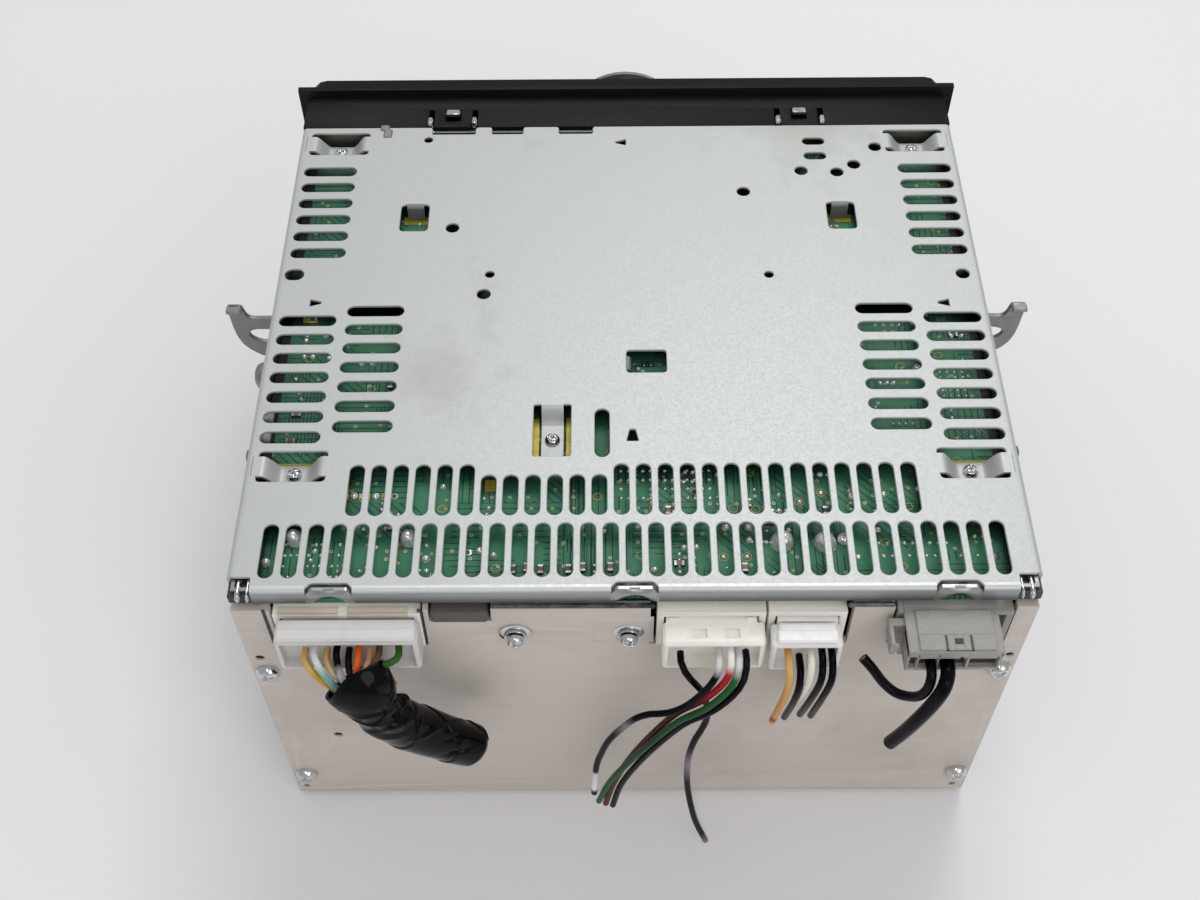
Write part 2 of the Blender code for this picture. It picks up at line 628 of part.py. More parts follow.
def block(low, high):
    """A box between two corners."""
    bm = bmesh.new()
    bmesh.ops.create_cube(bm, size=1)
    low, high = Vector(low), Vector(high)
    bmesh.ops.scale(bm, vec=high - low, verts=bm.verts)
    bmesh.ops.translate(bm, vec=(low + high) / 2, verts=bm.verts)
    mesh = bpy.data.meshes.new("block")
    bm.to_mesh(mesh)
    bm.free()
    return placed("block", mesh)


def round_bar(start, end, width, sides=SCREW_SIDES, end_width=None):
    """A cylinder or cone between two points."""
    start, end = Vector(start), Vector(end)
    run = end - start
    bm = bmesh.new()
    far = width if end_width is None else end_width
    bmesh.ops.create_cone(
        bm, cap_ends=True, segments=sides, radius1=width / 2, radius2=far / 2, depth=run.length)
    turn = UP.rotation_difference(run).to_matrix().to_4x4()
    bm.transform(Matrix.Translation((start + end) / 2) @ turn)
    mesh = bpy.data.meshes.new("bar")
    bm.to_mesh(mesh)
    bm.free()
    return placed("bar", mesh)


def combine(target, others, operation):
    for other in others:
        step = target.modifiers.new(operation.lower(), "BOOLEAN")
        step.operation = operation
        step.solver = "EXACT"
        step.object = other
    bpy.context.view_layer.update()
    evaluated = target.evaluated_get(bpy.context.evaluated_depsgraph_get())
    shaped = bpy.data.meshes.new_from_object(evaluated)
    target.modifiers.clear()
    target.data = shaped
    for other in others:
        bpy.data.objects.remove(other, do_unlink=True)
    return target


def join(target, *others):
    return combine(target, others, "UNION")


def cut(target, *others):
    return combine(target, others, "DIFFERENCE")


def soften(piece, width, segments=1):
    """Round every edge of a box by a small width."""
    step = piece.modifiers.new("rounding", "BEVEL")
    step.width = width
    step.segments = segments
    step.limit_method = "ANGLE"
    return combine(piece, (), "UNION")


def sheet_from(outlines, thickness, place):
    """A flat outline, the first, with holes, the others, centred on its plane."""
    sheet = filled(outlines[:1], thickness, place)
    if len(outlines) > 1:
        cut(sheet, filled(outlines[1:], thickness + OVERRUN, place))
    return sheet


def filled(outlines, thickness, place):
    """Flat outlines side by side, as one filled 2D curve given a thickness."""
    curve = bpy.data.curves.new("outline", "CURVE")
    curve.dimensions = "2D"
    curve.fill_mode = "BOTH"
    curve.extrude = thickness / 2
    for points in outlines:
        spline = curve.splines.new("POLY")
        spline.points.add(len(points) - 1)
        for spot, (x, y) in zip(spline.points, points):
            spot.co = (x, y, 0, 1)
        spline.use_cyclic_u = True
    flat = placed("outline", curve)
    bpy.context.view_layer.update()
    evaluated = flat.evaluated_get(bpy.context.evaluated_depsgraph_get())
    mesh = bpy.data.meshes.new_from_object(evaluated)
    bpy.data.objects.remove(flat, do_unlink=True)
    bm = bmesh.new()
    bm.from_mesh(mesh)
    bmesh.ops.remove_doubles(bm, verts=bm.verts, dist=STEP_IN / 10)
    bmesh.ops.transform(bm, matrix=place, verts=bm.verts)
    bmesh.ops.recalc_face_normals(bm, faces=bm.faces)
    bm.to_mesh(mesh)
    bm.free()
    return placed("sheet", mesh)


def lying(z):
    """The outline's x and y stay x and y."""
    return Matrix.Translation((0, 0, z))


def standing(y):
    """The outline's x and y become x and z, on a plane across Y."""
    return Matrix(((1, 0, 0, 0), (0, 0, 1, y), (0, 1, 0, 0), (0, 0, 0, 1)))


def sideways(x):
    """The outline's x and y become y and z, on a plane across X."""
    return Matrix(((0, 0, 1, x), (1, 0, 0, 0), (0, 1, 0, 0), (0, 0, 0, 1)))


def rectangle(left, low, right, high):
    return ((left, low), (right, low), (right, high), (left, high))


def arc(x, y, radius, start, end, steps):
    """Points on an arc from one angle in degrees to another."""
    turns = [math.radians(start + (end - start) * k / steps) for k in range(steps + 1)]
    return [(x + radius * math.cos(t), y + radius * math.sin(t)) for t in turns]


def circle(x, y, width, sides=HOLE_SIDES):
    return arc(x, y, width / 2, 0, 360, sides)[:-1]


def rounded_rectangle(left, low, right, high, radius, steps=3):
    corners = ((right, high, 0), (left, high, 90), (left, low, 180), (right, low, 270))
    points = []
    for x, y, start in corners:
        inward_x = -radius if x == right else radius
        inward_y = -radius if y == high else radius
        points += arc(x + inward_x, y + inward_y, radius, start, start + 90, steps)
    return points


def slot_across(x, y, length=SLOT_LENGTH, width=SLOT_WIDTH):
    """A slot with round ends that runs along X."""
    reach = (length - width) / 2
    right = arc(x + reach, y, width / 2, -90, 90, SLOT_END_STEPS)
    return right + arc(x - reach, y, width / 2, 90, 270, SLOT_END_STEPS)


def slot_along(x, low, high, width=SLOT_WIDTH):
    """A slot with round ends that runs along Y."""
    top = arc(x, high - width / 2, width / 2, 0, 180, SLOT_END_STEPS)
    return top + arc(x, low + width / 2, width / 2, 180, 360, SLOT_END_STEPS)


def smooth_route(points, step):
    """Points a step apart along a smooth curve through the route's own points."""
    spots = [Vector(p) for p in points]
    spots = [2 * spots[0] - spots[1]] + spots + [2 * spots[-1] - spots[-2]]
    dense = []
    fine = 12
    for a, b, c, d in zip(spots, spots[1:], spots[2:], spots[3:]):
        for k in range(fine):
            t = k / fine
            dense.append(
                0.5 * (2 * b + (c - a) * t + (2 * a - 5 * b + 4 * c - d) * t ** 2
                       + (3 * b - a - 3 * c + d) * t ** 3))
    dense.append(spots[-2])
    run = [0.0]
    for here, there in zip(dense, dense[1:]):
        run.append(run[-1] + (there - here).length)
    count = max(3, round(run[-1] / step))
    route = []
    k = 0
    for n in range(count + 1):
        want = run[-1] * n / count
        while k < len(run) - 2 and run[k + 1] < want:
            k += 1
        share = (want - run[k]) / (run[k + 1] - run[k])
        route.append(dense[k].lerp(dense[k + 1], share))
    return route


def tube(points, width, step_share=THIN_STEP_SHARE):
    """A wire along a smooth route, as a closed mesh."""
    route = smooth_route(points, width * step_share)
    curve = bpy.data.curves.new("route", "CURVE")
    curve.dimensions = "3D"
    curve.bevel_depth = width / 2
    curve.bevel_resolution = 2
    curve.use_fill_caps = True
    spline = curve.splines.new("POLY")
    spline.points.add(len(route) - 1)
    for spot, place in zip(spline.points, route):
        spot.co = (*place, 1)
    wire = placed("route", curve)
    bpy.context.view_layer.update()
    evaluated = wire.evaluated_get(bpy.context.evaluated_depsgraph_get())
    mesh = bpy.data.meshes.new_from_object(evaluated)
    bpy.data.objects.remove(wire, do_unlink=True)
    bm = bmesh.new()
    bm.from_mesh(mesh)
    bmesh.ops.remove_doubles(bm, verts=bm.verts, dist=STEP_IN / 10)
    bmesh.ops.recalc_face_normals(bm, faces=bm.faces)
    bm.to_mesh(mesh)
    bm.free()
    return placed("tube", mesh)


def cover_slots():
    """The two rear rows and the side banks of the lower cover."""
    slots = []
    half = SLOT_LENGTH / 2
    for k in range(LOWER_ROW_COUNT):
        x = (k - (LOWER_ROW_COUNT - 1) / 2) * ROW_SLOT_PITCH
        slots.append(slot_along(x, LOWER_ROW_Y - half, LOWER_ROW_Y + half))
    for k in range(UPPER_ROW_COUNT):
        x = (k - (UPPER_ROW_COUNT - 1) / 2) * ROW_SLOT_PITCH
        loss = SHORT_SLOT_LOSS if k in SHORT_SLOTS else 0
        slots.append(slot_along(x, UPPER_ROW_Y - half, UPPER_ROW_Y + half - loss))
    banks = (
        (OUTER_SLOT_X, FRONT_SIDE_Y, FRONT_SIDE_COUNT),
        (OUTER_SLOT_X, REAR_OUTER_Y, REAR_SIDE_COUNT),
        (INNER_SLOT_X, REAR_INNER_Y, REAR_SIDE_COUNT),
    )
    for x, first, count in banks:
        for k in range(count):
            for side in (-1, 1):
                slots.append(slot_across(side * x, first - k * SIDE_SLOT_PITCH))
    return slots


def cover_holes():
    """Round holes, oblongs, windows and the openings round the screw straps."""
    holes = []
    for width, shares in ((SMALL_HOLE, SMALL_HOLE_SHARES), (LARGE_HOLE, LARGE_HOLE_SHARES)):
        holes += [circle(x * HALF_WIDTH, y * HALF_DEPTH, width) for x, y in shares]
    for x, y in OBLONG_SHARES:
        holes.append(slot_across(x * HALF_WIDTH, y * HALF_DEPTH, OBLONG_LENGTH, OBLONG_WIDTH))
    holes.append(slot_along(LONE_SLOT_X, LONE_SLOT_Y - SLOT_LENGTH / 2, LONE_SLOT_Y + SLOT_LENGTH / 2))
    for x in (-WINDOW_X, WINDOW_X):
        holes.append(rectangle(
            x - WINDOW_WIDTH / 2, WINDOW_Y - WINDOW_LENGTH / 2,
            x + WINDOW_WIDTH / 2, WINDOW_Y + WINDOW_LENGTH / 2))
    holes.append(rectangle(
        MIDDLE_WINDOW_X - MIDDLE_WINDOW_WIDTH / 2, MIDDLE_WINDOW_Y - MIDDLE_WINDOW_LENGTH / 2,
        MIDDLE_WINDOW_X + MIDDLE_WINDOW_WIDTH / 2, MIDDLE_WINDOW_Y + MIDDLE_WINDOW_LENGTH / 2))
    for x, y in strap_places():
        holes.append(rectangle(
            x - STRAP_OPENING_X / 2, y - STRAP_OPENING_Y / 2,
            x + STRAP_OPENING_X / 2, y + STRAP_OPENING_Y / 2))
    reach = TONGUE_WIDTH / 2 + TONGUE_SLIT
    holes.append(rectangle(
        TONGUE_X - reach, TONGUE_FRONT_Y - TONGUE_LENGTH, TONGUE_X + reach, TONGUE_FRONT_Y))
    return holes


def strap_places():
    return [(side * STRAP_X, y) for y in (REAR_STRAP_Y, FRONT_STRAP_Y) for side in (-1, 1)]


def cover_outline():
    """The lower cover's edge, with its front notches."""
    front = FRAME_FRONT
    points = [(-HALF_WIDTH, REAR_EDGE), (HALF_WIDTH, REAR_EDGE), (HALF_WIDTH, front)]
    for left, right in reversed(FRONT_NOTCH_SHARES):
        points += [
            (right * HALF_WIDTH, front), (right * HALF_WIDTH, front - FRONT_NOTCH_DEPTH),
            (left * HALF_WIDTH, front - FRONT_NOTCH_DEPTH), (left * HALF_WIDTH, front),
        ]
    points.append((-HALF_WIDTH, front))
    return points


def corner_cutters(half, rear, across, along, low, high):
    """Blocks that notch both rear corners of a sheet."""
    cutters = []
    for side in (-1, 1):
        ends = sorted((side * (half + OVERRUN), side * (half - across)))
        cutters.append(block(
            (ends[0], rear - OVERRUN, low - OVERRUN), (ends[1], rear + along, high + OVERRUN)))
    return cutters


def strap(x, y):
    """A strip that runs down from one side of its opening, flat under the screw, and up again."""
    top = BODY_HEIGHT - STEP_IN
    low = BOARD_TOP + CLEARANCE
    end = STRAP_OPENING_X / 2
    knee = end - STRAP_SLOPE
    upper = (
        (-end - STRAP_ROOT, top), (-end, top), (-knee, low + STRAP_SHEET),
        (knee, low + STRAP_SHEET), (end, top), (end + STRAP_ROOT, top),
    )
    lower = [(a, z - STRAP_SHEET) for a, z in reversed(upper)]
    strip = sheet_from([[*upper, *lower]], STRAP_WIDTH, Matrix.Translation((x, 0, 0)) @ standing(y))
    hole = round_bar((x, y, low - OVERRUN), (x, y, top), COVER_SCREW_HOLE)
    return cut(strip, hole)


def tongue():
    """The tongue in the middle, hinged at its front end and flat under its screw."""
    top = BODY_HEIGHT - STEP_IN
    low = BOARD_TOP + CLEARANCE
    front = TONGUE_FRONT_Y
    upper = (
        (front + STRAP_ROOT, top), (front, top), (front - TONGUE_SLOPE, low + STRAP_SHEET),
        (front - TONGUE_LENGTH + TONGUE_SLIT, low + STRAP_SHEET),
    )
    lower = [(a, z - STRAP_SHEET) for a, z in reversed(upper)]
    strip = sheet_from([[*upper, *lower]], TONGUE_WIDTH, sideways(TONGUE_X))
    return cut(strip, round_bar(
        (TONGUE_X, TONGUE_SCREW_Y, low - OVERRUN), (TONGUE_X, TONGUE_SCREW_Y, top), COVER_SCREW_HOLE))


def bent_tabs():
    """The tabs that reach down from the windows to the board."""
    top = BODY_HEIGHT - SHEET / 2
    low = BODY_HEIGHT - SHEET - TAB_DROP
    tabs = []
    edge = WINDOW_Y + WINDOW_LENGTH / 2
    for x in (-WINDOW_X, WINDOW_X):
        tabs.append(block(
            (x - TAB_WIDTH / 2, edge - STRAP_SHEET / 2, low),
            (x + TAB_WIDTH / 2, edge + STRAP_SHEET / 2, top)))
    left = MIDDLE_WINDOW_X - MIDDLE_WINDOW_WIDTH / 2
    tabs.append(block(
        (left - STRAP_SHEET / 2, MIDDLE_WINDOW_Y - TAB_WIDTH / 2, low),
        (left + STRAP_SHEET / 2, MIDDLE_WINDOW_Y + TAB_WIDTH / 2, top)))
    return tabs


def side_flanges(rear, low, high):
    """The narrow strips of a cover that are folded over both sides of the frame."""
    flanges = []
    for side in (-1, 1):
        ends = sorted((side * (HALF_WIDTH - STEP_IN), side * (HALF_WIDTH - SHEET)))
        flanges.append(block((ends[0], rear, low), (ends[1], FRAME_FRONT - STEP_IN, high)))
    return flanges


def build_bottom_cover():
    plane = lying(BODY_HEIGHT - SHEET / 2)
    cover = sheet_from([cover_outline(), *cover_slots(), *cover_holes()], SHEET, plane)
    cut(cover, *corner_cutters(
        HALF_WIDTH, REAR_EDGE, CORNER_NOTCH_X, CORNER_NOTCH_Y, BODY_HEIGHT - SHEET, BODY_HEIGHT))
    fold = BODY_HEIGHT - SHEET / 2
    flanges = side_flanges(REAR_EDGE + CORNER_NOTCH_Y + STEP_IN, BODY_HEIGHT - COVER_FLANGE, fold)
    lip_end = HALF_WIDTH - CORNER_NOTCH_X - STEP_IN
    lip = block(
        (-lip_end, REAR_EDGE + STEP_IN, BODY_HEIGHT - LIP_DROP), (lip_end, REAR_EDGE + SHEET, fold))
    join(cover, *flanges, lip)
    openings = [
        block(
            (x * HALF_WIDTH - BRIDGE_WIDTH / 2, REAR_EDGE - OVERRUN, BODY_HEIGHT - BRIDGE_CUT_Z),
            (x * HALF_WIDTH + BRIDGE_WIDTH / 2, REAR_EDGE + BRIDGE_CUT_Y, BODY_HEIGHT + OVERRUN))
        for x in BRIDGE_SHARES
    ]
    cut(cover, *openings)
    join(cover, *[strap(x, y) for x, y in strap_places()], tongue(), *bent_tabs())
    keep(cover, "bottom_cover", ZINC)


def build_top_cover():
    slots = []
    for k in range(REAR_SIDE_COUNT):
        for side in (-1, 1):
            slots.append(slot_across(side * INNER_SLOT_X, REAR_INNER_Y - k * SIDE_SLOT_PITCH))
    edge = rectangle(-HALF_WIDTH, FRAME_REAR, HALF_WIDTH, FRAME_FRONT)
    cover = sheet_from([edge, *slots], SHEET, lying(SHEET / 2))
    join(cover, *side_flanges(FRAME_REAR + STEP_IN, SHEET / 2, COVER_FLANGE))
    keep(cover, "top_cover", ZINC)


def frame_outline():
    """The chassis seen from above: two sides, the front wall and two rear tabs."""
    tab = FRAME_INNER - REAR_TAB
    return [
        (-tab, FRAME_REAR), (-tab, FRAME_REAR + WALL), (-FRAME_INNER, FRAME_REAR + WALL),
        (-FRAME_INNER, FRAME_FRONT - WALL), (FRAME_INNER, FRAME_FRONT - WALL),
        (FRAME_INNER, FRAME_REAR + WALL), (tab, FRAME_REAR + WALL), (tab, FRAME_REAR),
        (FRAME_HALF, FRAME_REAR), (FRAME_HALF, FRAME_FRONT), (-FRAME_HALF, FRAME_FRONT),
        (-FRAME_HALF, FRAME_REAR),
    ]


def shelf(x, y):
    """A tab bent in from the side wall, under the main board."""
    side = 1 if x > 0 else -1
    ends = sorted((side * (FRAME_INNER + WALL / 2), side * (FRAME_INNER - SHELF_REACH)))
    return block(
        (ends[0], y - SHELF_LENGTH / 2, BOARD_LOW - CLEARANCE - SHELF),
        (ends[1], y + SHELF_LENGTH / 2, BOARD_LOW - CLEARANCE))


def disc_passage(margin):
    return (
        (-DISC_SLOT_WIDTH / 2 - margin, FRAME_FRONT - WALL - OVERRUN,
         DISC_Z - DISC_SLOT_HEIGHT / 2 - margin),
        (DISC_SLOT_WIDTH / 2 + margin, FACE_FRONT + OVERRUN,
         DISC_Z + DISC_SLOT_HEIGHT / 2 + margin))


def build_chassis_frame():
    height = FRAME_HIGH - FRAME_LOW
    frame = sheet_from([frame_outline()], height, lying(FRAME_LOW + height / 2))
    shelves = [shelf(x, y - (FRONT_SHELF_SHIFT if y > 0 else 0)) for x, y in strap_places()]
    join(frame, *shelves)
    cutters = [block(*disc_passage(WALL))]
    cutters.append(block(
        (-DISPLAY_HALF, FRAME_FRONT - WALL - OVERRUN, DISPLAY_LOW),
        (DISPLAY_HALF, FRAME_FRONT + OVERRUN, FRONT_BOARD_HIGH - SWITCH)))
    for side in (-1, 1):
        for z in (LOWER_SCREW_Z, UPPER_SCREW_Z):
            cutters.append(round_bar(
                (side * CORNER_SCREW_X, FRAME_REAR - OVERRUN, z),
                (side * CORNER_SCREW_X, FRAME_REAR + WALL + OVERRUN, z), SCREW_HOLE))
    cutters.append(round_bar(
        (-FRAME_HALF - OVERRUN, BOLT_Y, BOLT_Z), (-FRAME_INNER + OVERRUN, BOLT_Y, BOLT_Z), SCREW_HOLE))
    for x, y in strap_places():
        cutters.append(round_bar(
            (x, y, BOARD_LOW - SHELF - OVERRUN), (x, y, BOARD_LOW + OVERRUN), SCREW_SHANK))
    cutters.append(block(
        (AERIAL_SPAN[0], FRAME_REAR - OVERRUN, SHROUD_LOW - CUT_MARGIN),
        (AERIAL_SPAN[1] + CUT_MARGIN, FRAME_REAR + WALL + OVERRUN, BOARD_TOP)))
    cut(frame, *cutters)
    keep(frame, "chassis_frame", STEEL)


def plate_outline():
    """The rear plate, with its upper edge cut down round the connectors."""
    half = PLATE_HALF
    low = SHROUD_LOW - CUT_MARGIN
    cuts = (
        (POWER_SPAN[0] - CUT_MARGIN, POWER_SPAN[1] + CUT_MARGIN, low),
        (FUSE_LEFT - CLEARANCE, FUSE_RIGHT + CUT_MARGIN, FUSE_LOW - CLEARANCE),
        (AUDIO_SPAN[0] - JOINT_MARGIN, CONTROL_SPAN[1] + JOINT_MARGIN, low),
        (AERIAL_SPAN[0] - CUT_MARGIN, AERIAL_SPAN[1] + CUT_MARGIN, low),
    )
    points = [(-half, PLATE_TOP), (-half, FRAME_LOW), (half, FRAME_LOW), (half, PLATE_TOP)]
    for left, right, depth in reversed(cuts):
        points += [(right, PLATE_TOP), (right, depth), (left, depth), (left, PLATE_TOP)]
    return points


def build_rear_plate():
    holes = [circle(x, FLANGE_SCREW_Z, SCREW_HOLE, SCREW_SIDES) for x in FLANGE_SCREW_X]
    for side in (-1, 1):
        for z in (LOWER_SCREW_Z, UPPER_SCREW_Z):
            holes.append(circle(side * CORNER_SCREW_X, z, SCREW_HOLE, SCREW_SIDES))
    plate = sheet_from([plate_outline(), *holes], PLATE, standing(PLATE_REAR + PLATE / 2))
    keep(plate, "rear_heat_sink", ALUMINIUM)


def build_main_board():
    rear = FRAME_REAR
    edge = rectangle(-BOARD_HALF, rear, BOARD_HALF, BOARD_FRONT)
    holes = [circle(x, y, COVER_SCREW_HOLE) for x, y in strap_places()[:2]]
    holes.append(circle(TONGUE_X, TONGUE_SCREW_Y, COVER_SCREW_HOLE))
    board = sheet_from([edge, *holes], BOARD, lying(BOARD_LOW + BOARD / 2))
    cut(board, *corner_cutters(
        BOARD_HALF, rear, BOARD_CORNER_X, BOARD_CORNER_Y, BOARD_LOW, BOARD_TOP))
    for x, y in strap_places()[2:]:
        cut(board, round_bar((x, y, BOARD_LOW - OVERRUN), (x, y, BOARD_TOP + OVERRUN), COVER_SCREW_HOLE))
    keep(board, "main_board", BOARD_GREEN)


def build_socket(name, span, surface):
    """A connector shroud under the board, open to the rear."""
    left, right = span
    front = SHROUD_REAR + SHROUD_DEPTH
    shroud = block((left, SHROUD_REAR, SHROUD_LOW), (right, front, PART_TOP))
    cavity = block(
        (left + SHROUD_WALL, SHROUD_REAR - OVERRUN, SHROUD_LOW + SHROUD_WALL),
        (right - SHROUD_WALL, front - SHROUD_WALL, PART_TOP - SHROUD_WALL))
    cut(shroud, cavity)
    keep(shroud, name, surface)


def plug_place(span, shares, reach):
    """A plug's left and right ends, lowest and highest points and rear face."""
    width = span[1] - span[0]
    left, right = (span[0] + width * share for share in shares[:2])
    low, high = (SHROUD_LOW + SHROUD_HEIGHT * share for share in shares[2:])
    return left, right, low, high, SHROUD_REAR - reach


POWER_PLUG = plug_place(POWER_SPAN, POWER_PLUG_SHARES, PLUG_REACH)
AUDIO_PLUG = plug_place(AUDIO_SPAN, AUDIO_PLUG_SHARES, PLUG_REACH)
CONTROL_PLUG = plug_place(CONTROL_SPAN, CONTROL_PLUG_SHARES, PLUG_REACH)
AERIAL_PLUG = plug_place(AERIAL_SPAN, AERIAL_PLUG_SHARES, GREY_PLUG_REACH)


def plug_body(plug, span):
    """A plug: a nose inside its shroud and a broader body behind, with a pocket for its wires."""
    left, right, low, high, rear = plug
    face = SHROUD_REAR - CLEARANCE
    body = soften(block((left, rear, low), (right, face, high)), SMALL_ROUNDING)
    margin = SHROUD_WALL + PLUG_GAP
    nose = block(
        (span[0] + margin, face - PLUG_LAP, SHROUD_LOW + margin),
        (span[1] - margin, SHROUD_REAR + PLUG_NOSE, PART_TOP - margin))
    join(body, nose)
    pocket = block(
        (left + SEAL_INSET, rear - OVERRUN, low + SEAL_INSET),
        (right - SEAL_INSET, rear + SEAL_POCKET, high - SEAL_INSET))
    return cut(body, pocket)


def strip_block(plug):
    """The row of crimped terminals at the bottom of a plug's pocket."""
    left, right, low, high, rear = plug
    margin = SEAL_INSET + CLEARANCE
    front = rear + SEAL_POCKET - CLEARANCE
    return block((left + margin, front - STRIP, low + margin), (right - margin, front, high - margin))


def build_power_plug():
    left, right, _, high, _ = POWER_PLUG
    plug = plug_body(POWER_PLUG, POWER_SPAN)
    ridge_front = SHROUD_REAR - RIDGE_SETBACK
    join(plug, block(
        (left + SHROUD_WALL, ridge_front - RIDGE_LENGTH, high - STEP_IN),
        (right - SHROUD_WALL, ridge_front, high + RIDGE_RISE)))
    keep(plug, "power_plug", IVORY)


def build_audio_plug():
    left, right, _, high, rear = AUDIO_PLUG
    plug = plug_body(AUDIO_PLUG, AUDIO_SPAN)
    start = rear + CLIP_SETBACK
    for share in RECESS_SHARES:
        x = left + (right - left) * share
        cut(plug, block(
            (x - RECESS_WIDTH / 2, start, high - RECESS_DEPTH),
            (x + RECESS_WIDTH / 2, start + RECESS_LENGTH, high + OVERRUN)))
    keep(plug, "audio_plug", IVORY)


def build_control_plug():
    left, right, _, high, rear = CONTROL_PLUG
    plug = plug_body(CONTROL_PLUG, CONTROL_SPAN)
    middle = (left + right) / 2
    join(plug, block(
        (middle - CLIP_WIDTH / 2, rear + CLIP_SETBACK, high - STEP_IN),
        (middle + CLIP_WIDTH / 2, SHROUD_REAR - 2 * CLEARANCE, high + CLIP_RISE)))
    keep(plug, "control_plug", IVORY)


def build_aerial_plug():
    left, right, low, high, rear = AERIAL_PLUG
    plug = plug_body(AERIAL_PLUG, AERIAL_SPAN)
    middle = (left + right) / 2
    clip = block(
        (middle - GREY_CLIP_WIDTH / 2, rear + GREY_CLIP_SETBACK, high - STEP_IN),
        (middle + GREY_CLIP_WIDTH / 2, SHROUD_REAR - 2 * CLEARANCE, high + GREY_CLIP_RISE))
    side_latch = block(
        (left - SIDE_LATCH_REACH, rear + SIDE_LATCH_INSET, low + SIDE_LATCH_INSET),
        (left + STEP_IN, SHROUD_REAR - 2 * CLEARANCE, high - SIDE_LATCH_INSET))
    keep(join(plug, clip, side_latch), "aerial_plug", GREY)


def shifted(points, count):
    return [Vector(p) + BUNDLE_PITCH * count for p in points]


def build_wires():
    """Each plug's loose wires, joined by the terminal strip that they are crimped into."""
    audio = strip_block(AUDIO_PLUG)
    routes = [CURVED_ROUTE, DROP_ROUTE] + [shifted(BUNDLE_ROUTE, k) for k in (-1, 0, 1)]
    for route in routes:
        join(audio, tube(route, THIN_WIRE))
    keep(audio, "audio_wires", WIRE)
    control = strip_block(CONTROL_PLUG)
    for route in SHORT_ROUTES:
        join(control, tube(route, SHORT_WIRE, THICK_STEP_SHARE))
    keep(control, "control_wires", WIRE)
    aerial = strip_block(AERIAL_PLUG)
    join(aerial, tube(AERIAL_ROUTE, AERIAL_WIRE, THICK_STEP_SHARE))
    join(aerial, tube(POWER_ROUTE, POWER_WIRE, THICK_STEP_SHARE))
    keep(aerial, "aerial_wires", WIRE)
    fan = strip_block(POWER_PLUG)
    rear = POWER_PLUG[4] + SEAL_POCKET - CLEARANCE - STRIP / 2
    mouth = Vector(TAPE_ROUTE[0])
    into = (Vector(TAPE_ROUTE[1]) - mouth).normalized()
    for (x, z), (end_x, end_z) in zip(FAN_STARTS, FAN_ENDS):
        flat = Vector((end_x, mouth.y, end_z))
        end = flat - into * ((flat - mouth).dot(into) + 2 * CLEARANCE)
        start = Vector((x, rear, z))
        leave = start - ALONG_Y * FAN_LEAVE
        arrive = end - into * THIN_WIRE
        join(fan, tube((start, leave, (leave + arrive) / 2, arrive, end), THIN_WIRE, FAN_STEP_SHARE))
    keep(fan, "harness_wires", WIRE)
    keep(tube(TAPE_ROUTE, TAPE, TAPE_STEP_SHARE), "harness_tape", TAPE_BLACK)


def build_small_rear_parts():
    fuse = block(
        (FUSE_LEFT, SHROUD_REAR, FUSE_LOW), (FUSE_RIGHT, SHROUD_REAR + FUSE_DEPTH, PART_TOP))
    keep(soften(fuse, SMALL_ROUNDING), "fuse_block", DARK)
    left, right = FLANGE_SCREW_X
    face = PLATE_FRONT + CLEARANCE
    chip = block(
        (left + AMP_SHOULDER, face, AMP_LOW), (right - AMP_SHOULDER, face + AMP_THICK, AMP_LOW + AMP_HEIGHT))
    ears = block(
        (left - AMP_EAR_MARGIN, face + STEP_IN, FLANGE_SCREW_Z - AMP_EAR_HEIGHT / 2),
        (right + AMP_EAR_MARGIN, face + AMP_EAR_THICK, FLANGE_SCREW_Z + AMP_EAR_HEIGHT / 2))
    join(chip, ears)
    for x in FLANGE_SCREW_X:
        cut(chip, round_bar(
            (x, face - OVERRUN, FLANGE_SCREW_Z), (x, face + AMP_THICK + OVERRUN, FLANGE_SCREW_Z), SCREW_HOLE))
    keep(chip, "amplifier_chip", DARK)
    can = block(
        (TUNER_X - TUNER_WIDTH / 2, TUNER_Y - TUNER_LENGTH / 2, PART_TOP - TUNER_HEIGHT),
        (TUNER_X + TUNER_WIDTH / 2, TUNER_Y + TUNER_LENGTH / 2, PART_TOP))
    keep(soften(can, SMALL_ROUNDING), "tuner_module", BRIGHT)


def screw(x, z, head, head_height, washer=0.0):
    """A cross-head screw through the rear plate, its head at the rear."""
    seat = PLATE_REAR - CLEARANCE
    start = seat
    pieces = []
    if washer:
        start = seat - WASHER_HEIGHT
        pieces.append(round_bar((x, seat, z), (x, start, z), washer))
    body = round_bar((x, seat + SCREW_LENGTH, z), (x, start + STEP_IN, z), SCREW_SHANK)
    pieces.append(round_bar(
        (x, start + STEP_IN, z), (x, start - head_height, z), head, SCREW_SIDES, head * HEAD_TAPER_SHARE))
    join(body, *pieces)
    tip = start - head_height
    for across, up in ((DRIVE_LENGTH, DRIVE_WIDTH), (DRIVE_WIDTH, DRIVE_LENGTH)):
        cut(body, block(
            (x - across / 2, tip - OVERRUN, z - up / 2), (x + across / 2, tip + DRIVE_DEPTH, z + up / 2)))
    return body


def build_screws():
    places = (
        ("corner_screw_upper_left", -1, UPPER_SCREW_Z), ("corner_screw_upper_right", 1, UPPER_SCREW_Z),
        ("corner_screw_lower_left", -1, LOWER_SCREW_Z), ("corner_screw_lower_right", 1, LOWER_SCREW_Z),
    )
    for name, side, z in places:
        keep(screw(side * CORNER_SCREW_X, z, SCREW_HEAD, SCREW_HEAD_HEIGHT), name, BRIGHT)
    for name, x in zip(("heat_sink_screw_left", "heat_sink_screw_right"), FLANGE_SCREW_X):
        keep(screw(x, FLANGE_SCREW_Z, FLANGE_HEAD, FLANGE_HEAD_HEIGHT, WASHER), name, BRIGHT)


